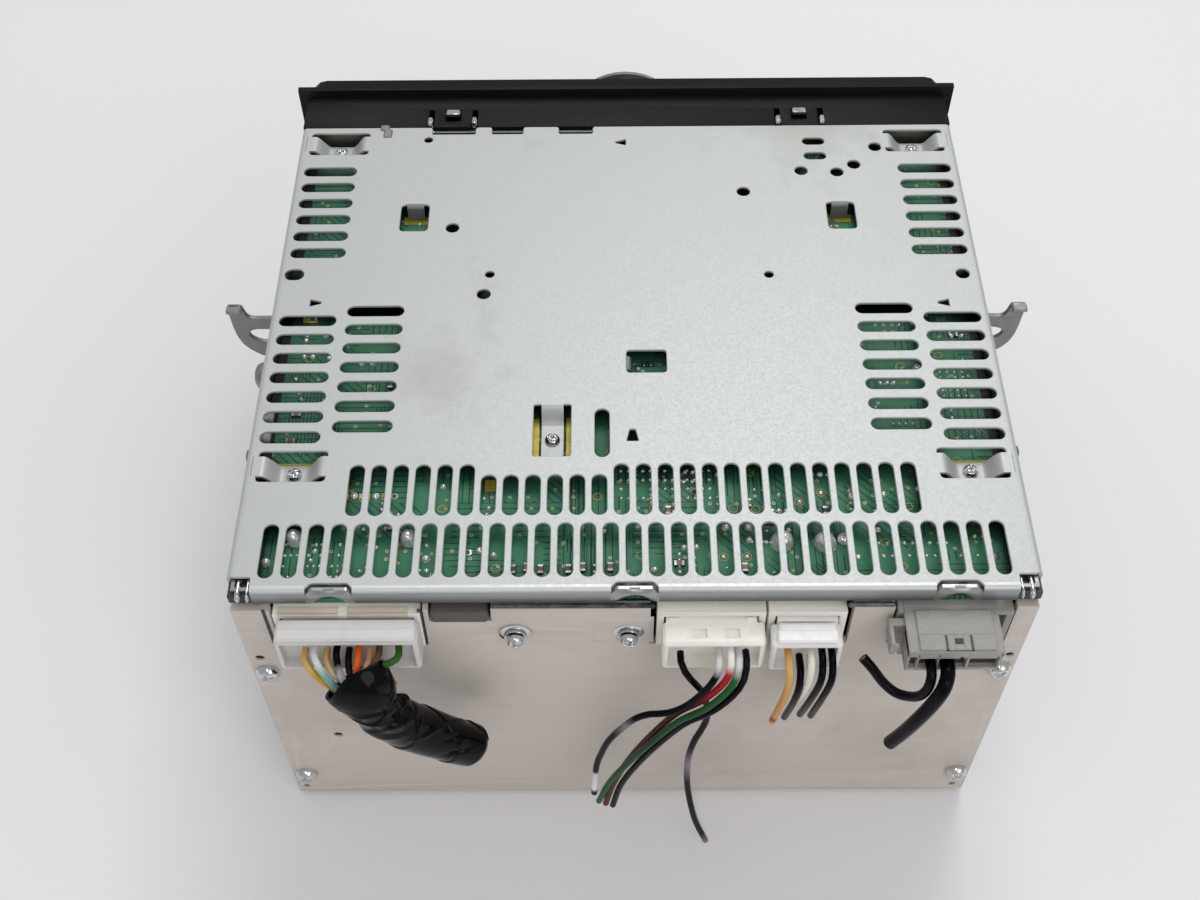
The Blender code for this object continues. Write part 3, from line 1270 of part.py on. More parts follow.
def build_bracket(name, side):
    """A leaf against the side wall, bent out into a flat hook with a window."""
    wall = FRAME_HALF + CLEARANCE
    leaf_ends = sorted((side * wall, side * (wall + LEAF)))
    leaf = block(
        (leaf_ends[0], HOOK_Y, LEAF_HIGH - LEAF_HEIGHT), (leaf_ends[1], HOOK_Y + LEAF_LENGTH, LEAF_HIGH))
    low = HOOK_HIGH - HOOK_HEIGHT

    def spread(shares):
        return [(side * (wall + LEAF / 2 + a * HOOK_REACH), low + b * HOOK_HEIGHT) for a, b in shares]

    hook = sheet_from(
        [spread(HOOK_SHARES), spread(HOOK_WINDOW_SHARES)], HOOK_THICK,
        standing(HOOK_Y + HOOK_THICK / 2 + STEP_IN))
    join(leaf, hook)
    tip = wall + LEAF / 2 + HOOK_REACH * HOOK_TIP_SHARE
    tip_ends = sorted((side * (tip - HOOK_TIP / 2), side * (tip + HOOK_TIP / 2)))
    join(leaf, block(
        (tip_ends[0], HOOK_Y + HOOK_THICK / 2, HOOK_HIGH - HOOK_TIP / 2 - HOOK_THICK),
        (tip_ends[1], HOOK_Y + HOOK_TIP_LENGTH, HOOK_HIGH - HOOK_TIP / 2)))
    keep(leaf, name, STEEL)


def build_guide_bolt():
    wall = -FRAME_HALF - CLEARANCE
    neck = wall - BOLT_REACH * BOLT_NECK_SHARE
    bolt = round_bar((wall + BOLT_SHANK_LENGTH, BOLT_Y, BOLT_Z), (neck, BOLT_Y, BOLT_Z), SCREW_SHANK)
    join(bolt, round_bar((wall, BOLT_Y, BOLT_Z), (neck, BOLT_Y, BOLT_Z), BOLT_HEAD))
    join(bolt, round_bar(
        (neck + STEP_IN, BOLT_Y, BOLT_Z), (wall - BOLT_REACH, BOLT_Y, BOLT_Z), BOLT_HEAD - STEP_IN,
        SCREW_SIDES, BOLT_HEAD * BOLT_DOME_SHARE))
    keep(bolt, "guide_bolt", STEEL)


BUTTONS = (
    *((f"preset_button_{k + 1}", x, PRESET_Z, PRESET_WIDTH, PRESET_HEIGHT)
      for k, x in enumerate(PRESET_X)),
    ("band_button", BAND_X, KEY_Z, KEY_WIDTH, KEY_HEIGHT),
    ("disc_button", DISC_KEY_X, KEY_Z, KEY_WIDTH, KEY_HEIGHT),
    ("eject_button", EJECT_X, EJECT_Z, EJECT_WIDTH, EJECT_HEIGHT),
)


def button_opening(x, z, width, height, margin):
    return block(
        (x - width / 2 - margin, WALL_BACK - OVERRUN, z - height / 2 - margin),
        (x + width / 2 + margin, FACE_FRONT + OVERRUN, z + height / 2 + margin))


def rocker_lug(end):
    """A lug behind the face that holds one pin of the rocker, below it at -1 and above at 1."""
    near = KEY_Z + end * (KEY_HEIGHT / 2 + CLEARANCE)
    far = near + end * ROCKER_LUG
    lows, highs = sorted((near, far))
    lug = block(
        (ROCKER_X - ROCKER_PIN, ROCKER_AXIS_Y - ROCKER_PIN, lows),
        (ROCKER_X + ROCKER_PIN, WALL_BACK + STEP_IN, highs))
    hole = round_bar(
        (ROCKER_X, ROCKER_AXIS_Y, lows - OVERRUN), (ROCKER_X, ROCKER_AXIS_Y, highs + OVERRUN),
        ROCKER_PIN + 2 * CLEARANCE)
    return cut(lug, hole)


def build_front_bezel():
    flange_half = HALF_WIDTH + FLANGE_OUT
    face_half = HALF_WIDTH - FACE_IN
    middle = (SKIRT_REAR + FLANGE_REAR + FLANGE / 2) / 2
    skirt = sheet_from(
        [rectangle(-HALF_WIDTH, 0, HALF_WIDTH, BODY_HEIGHT)],
        FLANGE_REAR + FLANGE / 2 - SKIRT_REAR, standing(middle))
    flange = sheet_from(
        [rectangle(-flange_half, 0, flange_half, FACE_HEIGHT)], FLANGE,
        standing(FLANGE_REAR + FLANGE / 2))
    slab_rear = FLANGE_REAR + FLANGE / 2
    slab = sheet_from(
        [rounded_rectangle(-face_half, FACE_IN, face_half, FACE_HEIGHT - FACE_IN, FACE_ROUNDING)],
        FACE_FRONT - slab_rear, standing((FACE_FRONT + slab_rear) / 2))
    bezel = join(skirt, flange, slab)
    inner = HALF_WIDTH - SKIRT_WALL
    cut(bezel, block(
        (-inner, SKIRT_REAR - OVERRUN, VOID_LOW), (inner, WALL_BACK, BODY_HEIGHT - SKIRT_WALL)))
    bosses = [
        round_bar((side * (FRONT_BOARD_HALF - BOSS / 2), FRONT_BOARD_FACE + CLEARANCE, z),
                  (side * (FRONT_BOARD_HALF - BOSS / 2), WALL_BACK + STEP_IN, z), BOSS, HOLE_SIDES)
        for side in (-1, 1) for z in (DISPLAY_Z, FRONT_BOARD_HIGH - BOSS)
    ]
    join(bezel, *bosses, rocker_lug(-1), rocker_lug(1))
    cutters = [block(*disc_passage(0))]
    cutters += [button_opening(*button[1:], CLEARANCE) for button in BUTTONS]
    cutters.append(button_opening(ROCKER_X, KEY_Z, ROCKER_WIDTH, KEY_HEIGHT, ROCKER_GAP))
    cutters.append(block(
        (-DISPLAY_HALF - CLEARANCE, WALL_BACK - OVERRUN, DISPLAY_LOW - CLEARANCE),
        (DISPLAY_HALF + CLEARANCE, FACE_FRONT + OVERRUN, DISPLAY_HIGH + CLEARANCE)))
    cutters.append(round_bar(
        (KNOB_X, WALL_BACK - OVERRUN, KNOB_Z), (KNOB_X, FACE_FRONT + OVERRUN, KNOB_Z),
        SHAFT + 2 * SHAFT_MARGIN))
    cut(bezel, *cutters)
    snaps = []
    for x in (-SNAP_X, SNAP_X):
        snaps.append(block(
            (x - SNAP_HOLE / 2, SNAP_Y - SNAP_HOLE / 2, BODY_HEIGHT - SKIRT_WALL - OVERRUN),
            (x + SNAP_HOLE / 2, SNAP_Y + SNAP_HOLE / 2, BODY_HEIGHT + OVERRUN)))
        for side in (-1, 1):
            slit = x + side * SNAP_SLIT_OFFSET
            snaps.append(block(
                (slit - SNAP_SLIT / 2, SKIRT_REAR - OVERRUN, BODY_HEIGHT - SKIRT_WALL - OVERRUN),
                (slit + SNAP_SLIT / 2, SKIRT_REAR + SNAP_SLIT_LENGTH, BODY_HEIGHT + OVERRUN)))
    cut(bezel, *snaps)
    keep(bezel, "front_bezel", BLACK)


def build_front_board():
    board = block(
        (-FRONT_BOARD_HALF, FRONT_BOARD_REAR, FRONT_BOARD_LOW),
        (FRONT_BOARD_HALF, FRONT_BOARD_FACE, FRONT_BOARD_HIGH))
    places = [(x, z) for _, x, z, _, _ in BUTTONS]
    reach = (ROCKER_WIDTH - SWITCH) / 2
    places += [(ROCKER_X - reach, KEY_Z), (ROCKER_X + reach, KEY_Z)]
    switches = [
        block((x - SWITCH / 2, FRONT_BOARD_FACE - STEP_IN, z - SWITCH / 2),
              (x + SWITCH / 2, SWITCH_FACE, z + SWITCH / 2))
        for x, z in places
    ]
    join(board, *switches)
    keep(board, "front_board", BOARD_GREEN)


def build_display():
    rim_front = WALL_BACK - CLEARANCE
    module = block(
        (-DISPLAY_HALF + RIM_OUT, FRONT_BOARD_FACE + CLEARANCE, DISPLAY_LOW + RIM_OUT),
        (DISPLAY_HALF - RIM_OUT, rim_front - RIM - CLEARANCE, DISPLAY_HIGH - RIM_OUT))
    keep(soften(module, SMALL_ROUNDING), "display_module", DARK)
    window = block(
        (-DISPLAY_HALF, rim_front - STEP_IN, DISPLAY_LOW),
        (DISPLAY_HALF, FACE_FRONT - CLEARANCE, DISPLAY_HIGH))
    rim = block(
        (-DISPLAY_HALF - RIM_OUT, rim_front - RIM, DISPLAY_LOW - RIM_OUT),
        (DISPLAY_HALF + RIM_OUT, rim_front, DISPLAY_HIGH + RIM_OUT))
    keep(join(window, rim), "display_window", GLASS)


def build_buttons():
    """Each button: a rounded cap, a rim behind the face and a stem over its switch."""
    rim_front = WALL_BACK - CLEARANCE
    stem_end = SWITCH_FACE + BUTTON_TRAVEL + CLEARANCE
    for name, x, z, width, height in BUTTONS:
        cap = soften(block(
            (x - width / 2, rim_front - STEP_IN, z - height / 2),
            (x + width / 2, FACE_FRONT + BUTTON_PROUD, z + height / 2)), BUTTON_ROUNDING)
        rim = block(
            (x - width / 2 - RIM_OUT, rim_front - RIM, z - height / 2 - RIM_OUT),
            (x + width / 2 + RIM_OUT, rim_front, z + height / 2 + RIM_OUT))
        stem = block(
            (x - BUTTON_STEM / 2, stem_end, z - BUTTON_STEM / 2),
            (x + BUTTON_STEM / 2, rim_front - RIM + STEP_IN, z + BUTTON_STEM / 2))
        keep(join(cap, rim, stem), name, BLACK, (x, FACE_FRONT, z))
    rocker = soften(block(
        (ROCKER_X - ROCKER_WIDTH / 2, ROCKER_REAR, KEY_Z - KEY_HEIGHT / 2),
        (ROCKER_X + ROCKER_WIDTH / 2, FACE_FRONT + BUTTON_PROUD, KEY_Z + KEY_HEIGHT / 2)),
        BUTTON_ROUNDING)
    pin_reach = KEY_HEIGHT / 2 + ROCKER_PIN_LENGTH
    join(rocker, round_bar(
        (ROCKER_X, ROCKER_AXIS_Y, KEY_Z - pin_reach), (ROCKER_X, ROCKER_AXIS_Y, KEY_Z + pin_reach),
        ROCKER_PIN))
    keep(rocker, "seek_rocker", BLACK, (ROCKER_X, ROCKER_AXIS_Y, KEY_Z))


def build_volume_control():
    rear = FRONT_BOARD_FACE + CLEARANCE
    front = rear + ENCODER_LENGTH
    body = block(
        (KNOB_X - ENCODER_SIDE / 2, rear, KNOB_Z - ENCODER_SIDE / 2),
        (KNOB_X + ENCODER_SIDE / 2, front, KNOB_Z + ENCODER_SIDE / 2))
    join(body, round_bar(
        (KNOB_X, front - STEP_IN, KNOB_Z), (KNOB_X, WALL_BACK - CLEARANCE, KNOB_Z), ENCODER_BUSH))
    plunger_rear = rear + ENCODER_FLOOR + PUSH_TRAVEL + CLEARANCE
    plunger_front = plunger_rear + PLUNGER_LENGTH
    cut(body, round_bar(
        (KNOB_X, rear + ENCODER_FLOOR, KNOB_Z), (KNOB_X, plunger_front + 2 * CLEARANCE, KNOB_Z),
        PLUNGER + 2 * CLEARANCE))
    cut(body, round_bar(
        (KNOB_X, plunger_rear, KNOB_Z), (KNOB_X, WALL_BACK + OVERRUN, KNOB_Z), SHAFT + 2 * CLEARANCE))
    axis = (KNOB_X, FACE_FRONT, KNOB_Z)
    keep(body, "encoder_body", STEEL)
    keep(round_bar((KNOB_X, plunger_rear, KNOB_Z), (KNOB_X, plunger_front, KNOB_Z), PLUNGER),
         "encoder_plunger", BRIGHT, axis)
    knob_rear = FACE_FRONT + KNOB_STANDOFF
    bore_end = knob_rear + KNOB_BORE_DEPTH
    shaft = round_bar(
        (KNOB_X, plunger_front + CLEARANCE, KNOB_Z), (KNOB_X, bore_end - CLEARANCE, KNOB_Z), SHAFT)
    keep(shaft, "encoder_shaft", BRIGHT, axis)
    knob_front = knob_rear + KNOB_LENGTH
    knob = round_bar(
        (KNOB_X, knob_rear, KNOB_Z), (KNOB_X, knob_front, KNOB_Z), 2 * KNOB_RADIUS, KNOB_SIDES)
    soften(knob, SMALL_ROUNDING)
    bore = round_bar(
        (KNOB_X, knob_rear - OVERRUN, KNOB_Z), (KNOB_X, bore_end, KNOB_Z), SHAFT + 2 * CLEARANCE)
    step = round_bar(
        (KNOB_X, knob_front - KNOB_STEP, KNOB_Z), (KNOB_X, knob_front + OVERRUN, KNOB_Z),
        2 * (RING_RADIUS + CLEARANCE), KNOB_SIDES)
    cut(knob, bore, step)
    keep(knob, "volume_knob", SILVER, axis)
    ring_rear = knob_front - KNOB_STEP + CLEARANCE
    ring = round_bar(
        (KNOB_X, ring_rear, KNOB_Z), (KNOB_X, ring_rear + RING_LENGTH, KNOB_Z), 2 * RING_RADIUS,
        KNOB_SIDES)
    mark_top = KNOB_Z - RING_RADIUS + KNOB_MARK
    cut(ring, block(
        (KNOB_X - KNOB_MARK / 2, ring_rear + RING_LENGTH / 2, mark_top),
        (KNOB_X + KNOB_MARK / 2, ring_rear + RING_LENGTH + OVERRUN, mark_top + KNOB_MARK_LENGTH)))
    keep(ring, "knob_cap", BLACK, axis)


def build_deck():
    """The disc mechanism's chassis: two sides, a rear wall, the plate and its posts."""
    inner = DECK_HALF - DECK_WALL
    wall_low = DECK_COVER_LOW + DECK_COVER + CLEARANCE
    edge = [
        (-DECK_HALF, DECK_REAR), (DECK_HALF, DECK_REAR), (DECK_HALF, DECK_FRONT), (inner, DECK_FRONT),
        (inner, DECK_REAR + DECK_WALL), (-inner, DECK_REAR + DECK_WALL), (-inner, DECK_FRONT),
        (-DECK_HALF, DECK_FRONT),
    ]
    height = DECK_PLATE_HIGH - STEP_IN - wall_low
    deck = sheet_from([edge], height, lying(wall_low + height / 2))
    window_x = SLED_HALF_X + SLED_WINDOW_MARGIN
    window_front = SLED_START_Y + SLED_HALF_Y + SLED_WINDOW_MARGIN
    window_rear = SLED_START_Y - SLED_TRAVEL - SLED_HALF_Y - SLED_WINDOW_MARGIN
    plate = sheet_from(
        [rectangle(-DECK_HALF + STEP_IN, DECK_REAR + STEP_IN, DECK_HALF - STEP_IN, DECK_PLATE_FRONT),
         rectangle(-window_x, window_rear, window_x, window_front),
         circle(0, SPINDLE_Y, 2 * SPINDLE_SHAFT, SCREW_SIDES)],
        DECK_PLATE, lying(DECK_PLATE_LOW + DECK_PLATE / 2))
    posts = []
    for side in (-1, 1):
        for y in (ROD_REAR + REAR_POST_SETBACK, ROD_FRONT - FRONT_POST_SETBACK):
            post = block(
                (side * ROD_X - POST_HALF, y, DECK_PLATE_HIGH - STEP_IN),
                (side * ROD_X + POST_HALF, y + POST, ROD_Z + POST_HALF))
            posts.append(cut(post, round_bar(
                (side * ROD_X, y - OVERRUN, ROD_Z), (side * ROD_X, y + POST + OVERRUN, ROD_Z),
                ROD + 2 * CLEARANCE)))
    ears = []
    for side in (-1, 1):
        for y in DECK_EAR_Y:
            ends = sorted((side * (DECK_HALF - DECK_WALL / 2), side * (FRAME_INNER - CLEARANCE)))
            ears.append(block(
                (ends[0], y, DECK_PLATE_LOW - DECK_PLATE),
                (ends[1], y + DECK_EAR_LENGTH, DECK_PLATE_LOW - STEP_IN)))
    join(deck, plate, *posts, *ears)
    cut(deck, round_bar(
        (-DECK_HALF - OVERRUN, ROLLER_Y, ROLLER_Z), (DECK_HALF + OVERRUN, ROLLER_Y, ROLLER_Z),
        ROLLER_SHAFT + 2 * CLEARANCE))
    keep(deck, "deck_chassis", STEEL)

    cover = block(
        (-DECK_HALF, DECK_REAR, DECK_COVER_LOW), (DECK_HALF, DECK_FRONT, DECK_COVER_LOW + DECK_COVER))
    lugs = []
    arm_z = ARM_LOW + ARM_THICK / 2
    for side in (-1, 1):
        lug = block(
            (side * LUG_X - LUG_THICK / 2, ARM_PIVOT_Y - LUG_HALF, DECK_COVER_LOW + DECK_COVER - STEP_IN),
            (side * LUG_X + LUG_THICK / 2, ARM_PIVOT_Y + LUG_HALF, DECK_COVER_LOW + LUG_HEIGHT))
        lugs.append(cut(lug, round_bar(
            (side * LUG_X - OVERRUN, ARM_PIVOT_Y, arm_z), (side * LUG_X + OVERRUN, ARM_PIVOT_Y, arm_z),
            ARM_PIN + 2 * CLEARANCE)))
    keep(join(cover, *lugs), "deck_cover", STEEL)


def build_disc_drive():
    centre = (0, SPINDLE_Y, TURNTABLE_LOW)
    table_high = TURNTABLE_LOW + TURNTABLE_THICK
    table = round_bar(
        (0, SPINDLE_Y, TURNTABLE_LOW), (0, SPINDLE_Y, table_high), TURNTABLE, TURNTABLE_SIDES)
    hub = round_bar(
        (0, SPINDLE_Y, TURNTABLE_LOW + STEP_IN), (0, SPINDLE_Y, TURNTABLE_LOW - HUB_HEIGHT), HUB,
        HUB_SIDES, HUB_TIP)
    shaft = round_bar((0, SPINDLE_Y, table_high - STEP_IN), (0, SPINDLE_Y, SPINDLE_TOP), SPINDLE_SHAFT)
    join(table, hub, shaft)
    keep(table, "turntable", DARK, centre)
    motor_low = DECK_PLATE_HIGH + CLEARANCE
    motor = round_bar(
        (0, SPINDLE_Y, motor_low), (0, SPINDLE_Y, motor_low + MOTOR_HEIGHT), MOTOR, TURNTABLE_SIDES)
    soften(motor, SMALL_ROUNDING)
    cut(motor, round_bar(
        (0, SPINDLE_Y, motor_low - OVERRUN), (0, SPINDLE_Y, SPINDLE_TOP + CLEARANCE),
        SPINDLE_SHAFT + 2 * CLEARANCE))
    keep(motor, "spindle_motor", BRIGHT)

    sled = block(
        (-SLED_HALF_X, SLED_START_Y - SLED_HALF_Y, SLED_LOW),
        (SLED_HALF_X, SLED_START_Y + SLED_HALF_Y, SLED_LOW + SLED_HEIGHT))
    soften(sled, SMALL_ROUNDING)
    join(sled, round_bar(
        (0, SLED_START_Y, SLED_LOW + STEP_IN), (0, SLED_START_Y, SLED_LOW - LENS_DROP), LENS))
    arm_low = ROD_Z - SLED_ARM
    arm_reach = SLED_HALF_Y * SLED_ARM_SHARE
    for side in (-1, 1):
        ends = sorted((side * (SLED_HALF_X - SLED_ARM), side * (ROD_X + SLED_ARM)))
        arm = block(
            (ends[0], SLED_START_Y - arm_reach, arm_low),
            (ends[1], SLED_START_Y + arm_reach, ROD_Z + SLED_ARM))
        join(sled, arm)
    for side in (-1, 1):
        cut(sled, round_bar(
            (side * ROD_X, SLED_START_Y - SLED_HALF_Y - OVERRUN, ROD_Z),
            (side * ROD_X, SLED_START_Y + SLED_HALF_Y + OVERRUN, ROD_Z), ROD + 2 * CLEARANCE))
    keep(sled, "pickup_sled", DARK, (0, SLED_START_Y, ROD_Z))
    rod = round_bar((ROD_X, ROD_REAR, ROD_Z), (ROD_X, ROD_FRONT, ROD_Z), ROD)
    keep(rod, "guide_rod", BRIGHT)
    lead = round_bar((-ROD_X, ROD_REAR, ROD_Z), (-ROD_X, ROD_FRONT, ROD_Z), ROD)
    motor_rear = ROD_FRONT + CLEARANCE
    join(lead, round_bar(
        (-ROD_X, ROD_FRONT - STEP_IN, ROD_Z), (-ROD_X, motor_rear + MOTOR_SHAFT_LENGTH, ROD_Z),
        MOTOR_SHAFT))
    keep(lead, "lead_screw", BRIGHT, (-ROD_X, ROD_FRONT, ROD_Z))
    drive = round_bar(
        (-ROD_X, motor_rear, ROD_Z), (-ROD_X, motor_rear + SLED_MOTOR_LENGTH, ROD_Z), SLED_MOTOR,
        HUB_SIDES)
    cut(drive, round_bar(
        (-ROD_X, motor_rear - OVERRUN, ROD_Z),
        (-ROD_X, motor_rear + MOTOR_SHAFT_LENGTH + CLEARANCE, ROD_Z), MOTOR_SHAFT + 2 * CLEARANCE))
    keep(drive, "sled_motor", BRIGHT)


def build_loading_and_clamp():
    shaft_end = DECK_HALF + DECK_WALL
    roller = round_bar((-shaft_end, ROLLER_Y, ROLLER_Z), (shaft_end, ROLLER_Y, ROLLER_Z), ROLLER_SHAFT)
    join(roller, round_bar(
        (-ROLLER_HALF, ROLLER_Y, ROLLER_Z), (ROLLER_HALF, ROLLER_Y, ROLLER_Z), ROLLER, ROLLER_SIDES))
    keep(roller, "loading_roller", RUBBER, (0, ROLLER_Y, ROLLER_Z))

    arm_z = ARM_LOW + ARM_THICK / 2
    tip = SPINDLE_Y + PUCK_HEAD
    shoulder = ARM_REAR + ARM_SHOULDER
    waist = shoulder + ARM_TAPER
    edge = [
        (-ARM_HALF_REAR, ARM_REAR), (ARM_HALF_REAR, ARM_REAR), (ARM_HALF_REAR, shoulder),
        (ARM_HALF_FRONT, waist), (ARM_HALF_FRONT, tip), (-ARM_HALF_FRONT, tip),
        (-ARM_HALF_FRONT, waist), (-ARM_HALF_REAR, shoulder),
    ]
    hole = circle(0, SPINDLE_Y, PUCK_STEM + 2 * CLEARANCE, SCREW_SIDES)
    arm = sheet_from([edge, hole], ARM_THICK, lying(arm_z))
    pin_end = LUG_X + LUG_THICK
    join(arm, round_bar((-pin_end, ARM_PIVOT_Y, arm_z), (pin_end, ARM_PIVOT_Y, arm_z), ARM_PIN))
    keep(arm, "clamp_arm", STEEL, (0, ARM_PIVOT_Y, arm_z))
    puck_low = ARM_LOW + ARM_THICK + CLEARANCE
    puck = round_bar(
        (0, SPINDLE_Y, puck_low), (0, SPINDLE_Y, puck_low + PUCK_THICK), PUCK, TURNTABLE_SIDES)
    head_high = ARM_LOW - CLEARANCE
    join(puck,
         round_bar((0, SPINDLE_Y, head_high - STEP_IN), (0, SPINDLE_Y, puck_low + STEP_IN), PUCK_STEM),
         round_bar((0, SPINDLE_Y, head_high - PUCK_HEAD_THICK), (0, SPINDLE_Y, head_high), PUCK_HEAD))
    keep(puck, "clamp_puck", DARK, (0, SPINDLE_Y, arm_z))


build_bottom_cover()
build_top_cover()
build_chassis_frame()
build_rear_plate()
build_main_board()
build_socket("power_socket", POWER_SPAN, IVORY)
build_socket("audio_socket", AUDIO_SPAN, IVORY)
build_socket("control_socket", CONTROL_SPAN, IVORY)
build_socket("aerial_socket", AERIAL_SPAN, GREY)
build_power_plug()
build_audio_plug()
build_control_plug()
build_aerial_plug()
build_wires()
build_small_rear_parts()
build_screws()
build_bracket("left_mount_bracket", -1)
build_bracket("right_mount_bracket", 1)
build_guide_bolt()
build_front_bezel()
build_front_board()
build_display()
build_buttons()
build_volume_control()
build_deck()
build_disc_drive()
build_loading_and_clamp()
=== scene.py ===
import json
import math
import bmesh
import bpy
import numpy as np
from mathutils import Matrix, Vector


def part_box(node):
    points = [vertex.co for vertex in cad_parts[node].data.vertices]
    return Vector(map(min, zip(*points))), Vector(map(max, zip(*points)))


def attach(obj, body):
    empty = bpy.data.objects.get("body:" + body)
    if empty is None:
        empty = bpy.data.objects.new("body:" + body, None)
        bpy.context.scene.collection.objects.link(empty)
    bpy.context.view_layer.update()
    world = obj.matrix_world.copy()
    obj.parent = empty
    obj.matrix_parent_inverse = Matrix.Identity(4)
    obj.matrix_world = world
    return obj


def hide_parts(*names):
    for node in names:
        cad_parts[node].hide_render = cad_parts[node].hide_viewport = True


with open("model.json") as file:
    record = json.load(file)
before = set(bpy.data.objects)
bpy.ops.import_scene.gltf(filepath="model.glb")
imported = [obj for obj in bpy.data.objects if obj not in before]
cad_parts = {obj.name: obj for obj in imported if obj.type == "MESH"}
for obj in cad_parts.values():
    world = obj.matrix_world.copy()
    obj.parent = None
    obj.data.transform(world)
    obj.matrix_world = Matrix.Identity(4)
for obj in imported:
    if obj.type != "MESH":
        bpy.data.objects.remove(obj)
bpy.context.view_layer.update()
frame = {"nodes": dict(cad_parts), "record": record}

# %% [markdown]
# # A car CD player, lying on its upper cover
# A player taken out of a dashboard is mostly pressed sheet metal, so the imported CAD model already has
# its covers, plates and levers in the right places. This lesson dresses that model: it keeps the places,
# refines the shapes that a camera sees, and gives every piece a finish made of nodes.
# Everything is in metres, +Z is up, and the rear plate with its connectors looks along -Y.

MM = 0.001

# %% [markdown]
# ## Surfaces from arrays
# Blender can make shapes with modelling tools, with curves, or from bare numbers. Here a new shape is a
# grid of points worked out by numpy, with rows and columns, and neighbours in the grid share a face.
# Rows that meet, such as the seam of a tube or the pole of a dome, are closed by merging equal points.

# %% Grids to meshes
WELD = 1e-6
SHARP = math.radians(38)
FINISH = {}


def placed(name, data):
    """A new object in the scene."""
    obj = bpy.data.objects.new(name, data)
    bpy.context.scene.collection.objects.link(obj)
    return obj


def announce(obj, replaces=(), body="player"):
    """Says which body a piece rides with and the CAD nodes that it stands for."""
    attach(obj, body)
    if replaces:
        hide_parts(*replaces)
    print(obj.name, len(obj.data.polygons), "faces, rides with", body)
    return obj


def merged(mesh, further):
    """Merges a mesh's equal points, then does the further work on it."""
    bm = bmesh.new()
    bm.from_mesh(mesh)
    bmesh.ops.remove_doubles(bm, verts=bm.verts, dist=WELD)
    further(bm)
    bm.to_mesh(mesh)
    bm.free()


def finish_mesh(obj, sharp=SHARP):
    """Merges equal points, turns faces outwards, and shades smooth where faces meet under the angle."""
    merged(obj.data, lambda bm: bmesh.ops.recalc_face_normals(bm, faces=bm.faces))
    obj.data.shade_smooth()
    obj.data.set_sharp_from_angle(angle=sharp)
    return obj


def together(*parts):
    """Points from their coordinates, each an array or a number."""
    return np.stack(np.broadcast_arrays(*parts), -1)


def closed(grid, first, last):
    """A grid with a row of one repeated point before it and another after it."""
    before, after = (np.broadcast_to(p, (1,) + grid.shape[1:]) for p in (first, last))
    return np.concatenate([before, grid, after])


def doubled(outer, step):
    """A sheet's outer face and, a step behind it, its inner face, joined to a loop in every row."""
    return np.concatenate([outer, (outer + step)[:, ::-1], outer[:, :1]], 1)


def grid_faces(rows, columns):
    """Corners of the quads of a grid: (i, j), (i, j + 1), (i + 1, j + 1), (i + 1, j)."""
    i, j = np.meshgrid(np.arange(rows - 1), np.arange(columns - 1), indexing="ij")
    first = (i * columns + j).ravel()
    return np.stack([first, first + 1, first + columns + 1, first + columns], -1)


def surface(name, grids, finish, body="player", replaces=(), uvs=None, sharp=SHARP):
    """One piece from one or more (rows, columns, 3) grids of points, each with its own faces. Its
    material slot is called like its finish."""
    points, faces, start = [], [], 0
    for grid in grids:
        points.append(grid.reshape(-1, 3))
        faces.append(grid_faces(*grid.shape[:2]) + start)
        start += grid.shape[0] * grid.shape[1]
    points, faces = np.concatenate(points), np.concatenate(faces)
    mesh = bpy.data.meshes.new(name)
    mesh.from_pydata(points.tolist(), [], faces.tolist())
    if uvs is not None:
        flat = np.concatenate([uv.reshape(-1, 2) for uv in uvs])
        layer = mesh.uv_layers.new(name="along")
        layer.data.foreach_set("uv", flat[faces.ravel()].ravel())
    mesh.materials.append(FINISH[finish])
    return announce(finish_mesh(placed(name, mesh), sharp), replaces, body)


# %% [markdown]
# ## The camera
# The photograph was taken from behind and above, a little over half a metre away. Its place, its turn
# and its focal length were found from the corners of the body, whose width is a standard 178 mm.

# %% Camera
PHOTO_WIDTH = 1200
FOCAL_PIXELS = 1513.22
SENSOR = 36.0
CAMERA_PLACE = (-0.005719, -0.247018, 0.379943)
PITCH, YAW, ROLL = (math.radians(a) for a in (53.0767, -0.4590, -0.6893))


def camera_axes():
    """Right, up and backward directions: a heading and a downward pitch, then a roll about the view."""
    ahead = np.array([math.sin(YAW) * math.cos(PITCH), math.cos(YAW) * math.cos(PITCH), -math.sin(PITCH)])
    level = np.array([math.cos(YAW), -math.sin(YAW), 0.0])
    above = np.cross(level, ahead)
    right = math.cos(ROLL) * level + math.sin(ROLL) * above
    up = math.cos(ROLL) * above - math.sin(ROLL) * level
    return right, up, -ahead


camera = placed("camera", bpy.data.cameras.new("camera"))
camera.data.sensor_width = SENSOR
camera.data.sensor_fit = "HORIZONTAL"
camera.data.lens = FOCAL_PIXELS / PHOTO_WIDTH * SENSOR
camera.data.clip_start = 0.01
turn = Matrix(np.stack(camera_axes(), -1).tolist()).to_4x4()
camera.matrix_world = Matrix.Translation(CAMERA_PLACE) @ turn
bpy.context.scene.camera = camera
print("lens", round(camera.data.lens, 2), "mm")

# %% [markdown]
# ## Nodes in a few words
# A material is a small network. Two helpers keep it readable: one adds a node and joins its inputs in
# order, the other mixes two colours. A plain number that is the same all over goes on the shader itself.

# %% Node helpers
def add(tree, kind, *inputs, **settings):
    """Adds a shader node. Inputs come in order, each a value, an output to link, or None to leave."""
    node = tree.nodes.new("ShaderNode" + kind)
    for name, value in settings.items():
        setattr(node, name, value)
    for socket, value in zip(node.inputs, inputs):
        if isinstance(value, bpy.types.NodeSocket):
            tree.links.new(value, socket)
        elif value is not None:
            socket.default_value = value
    return node


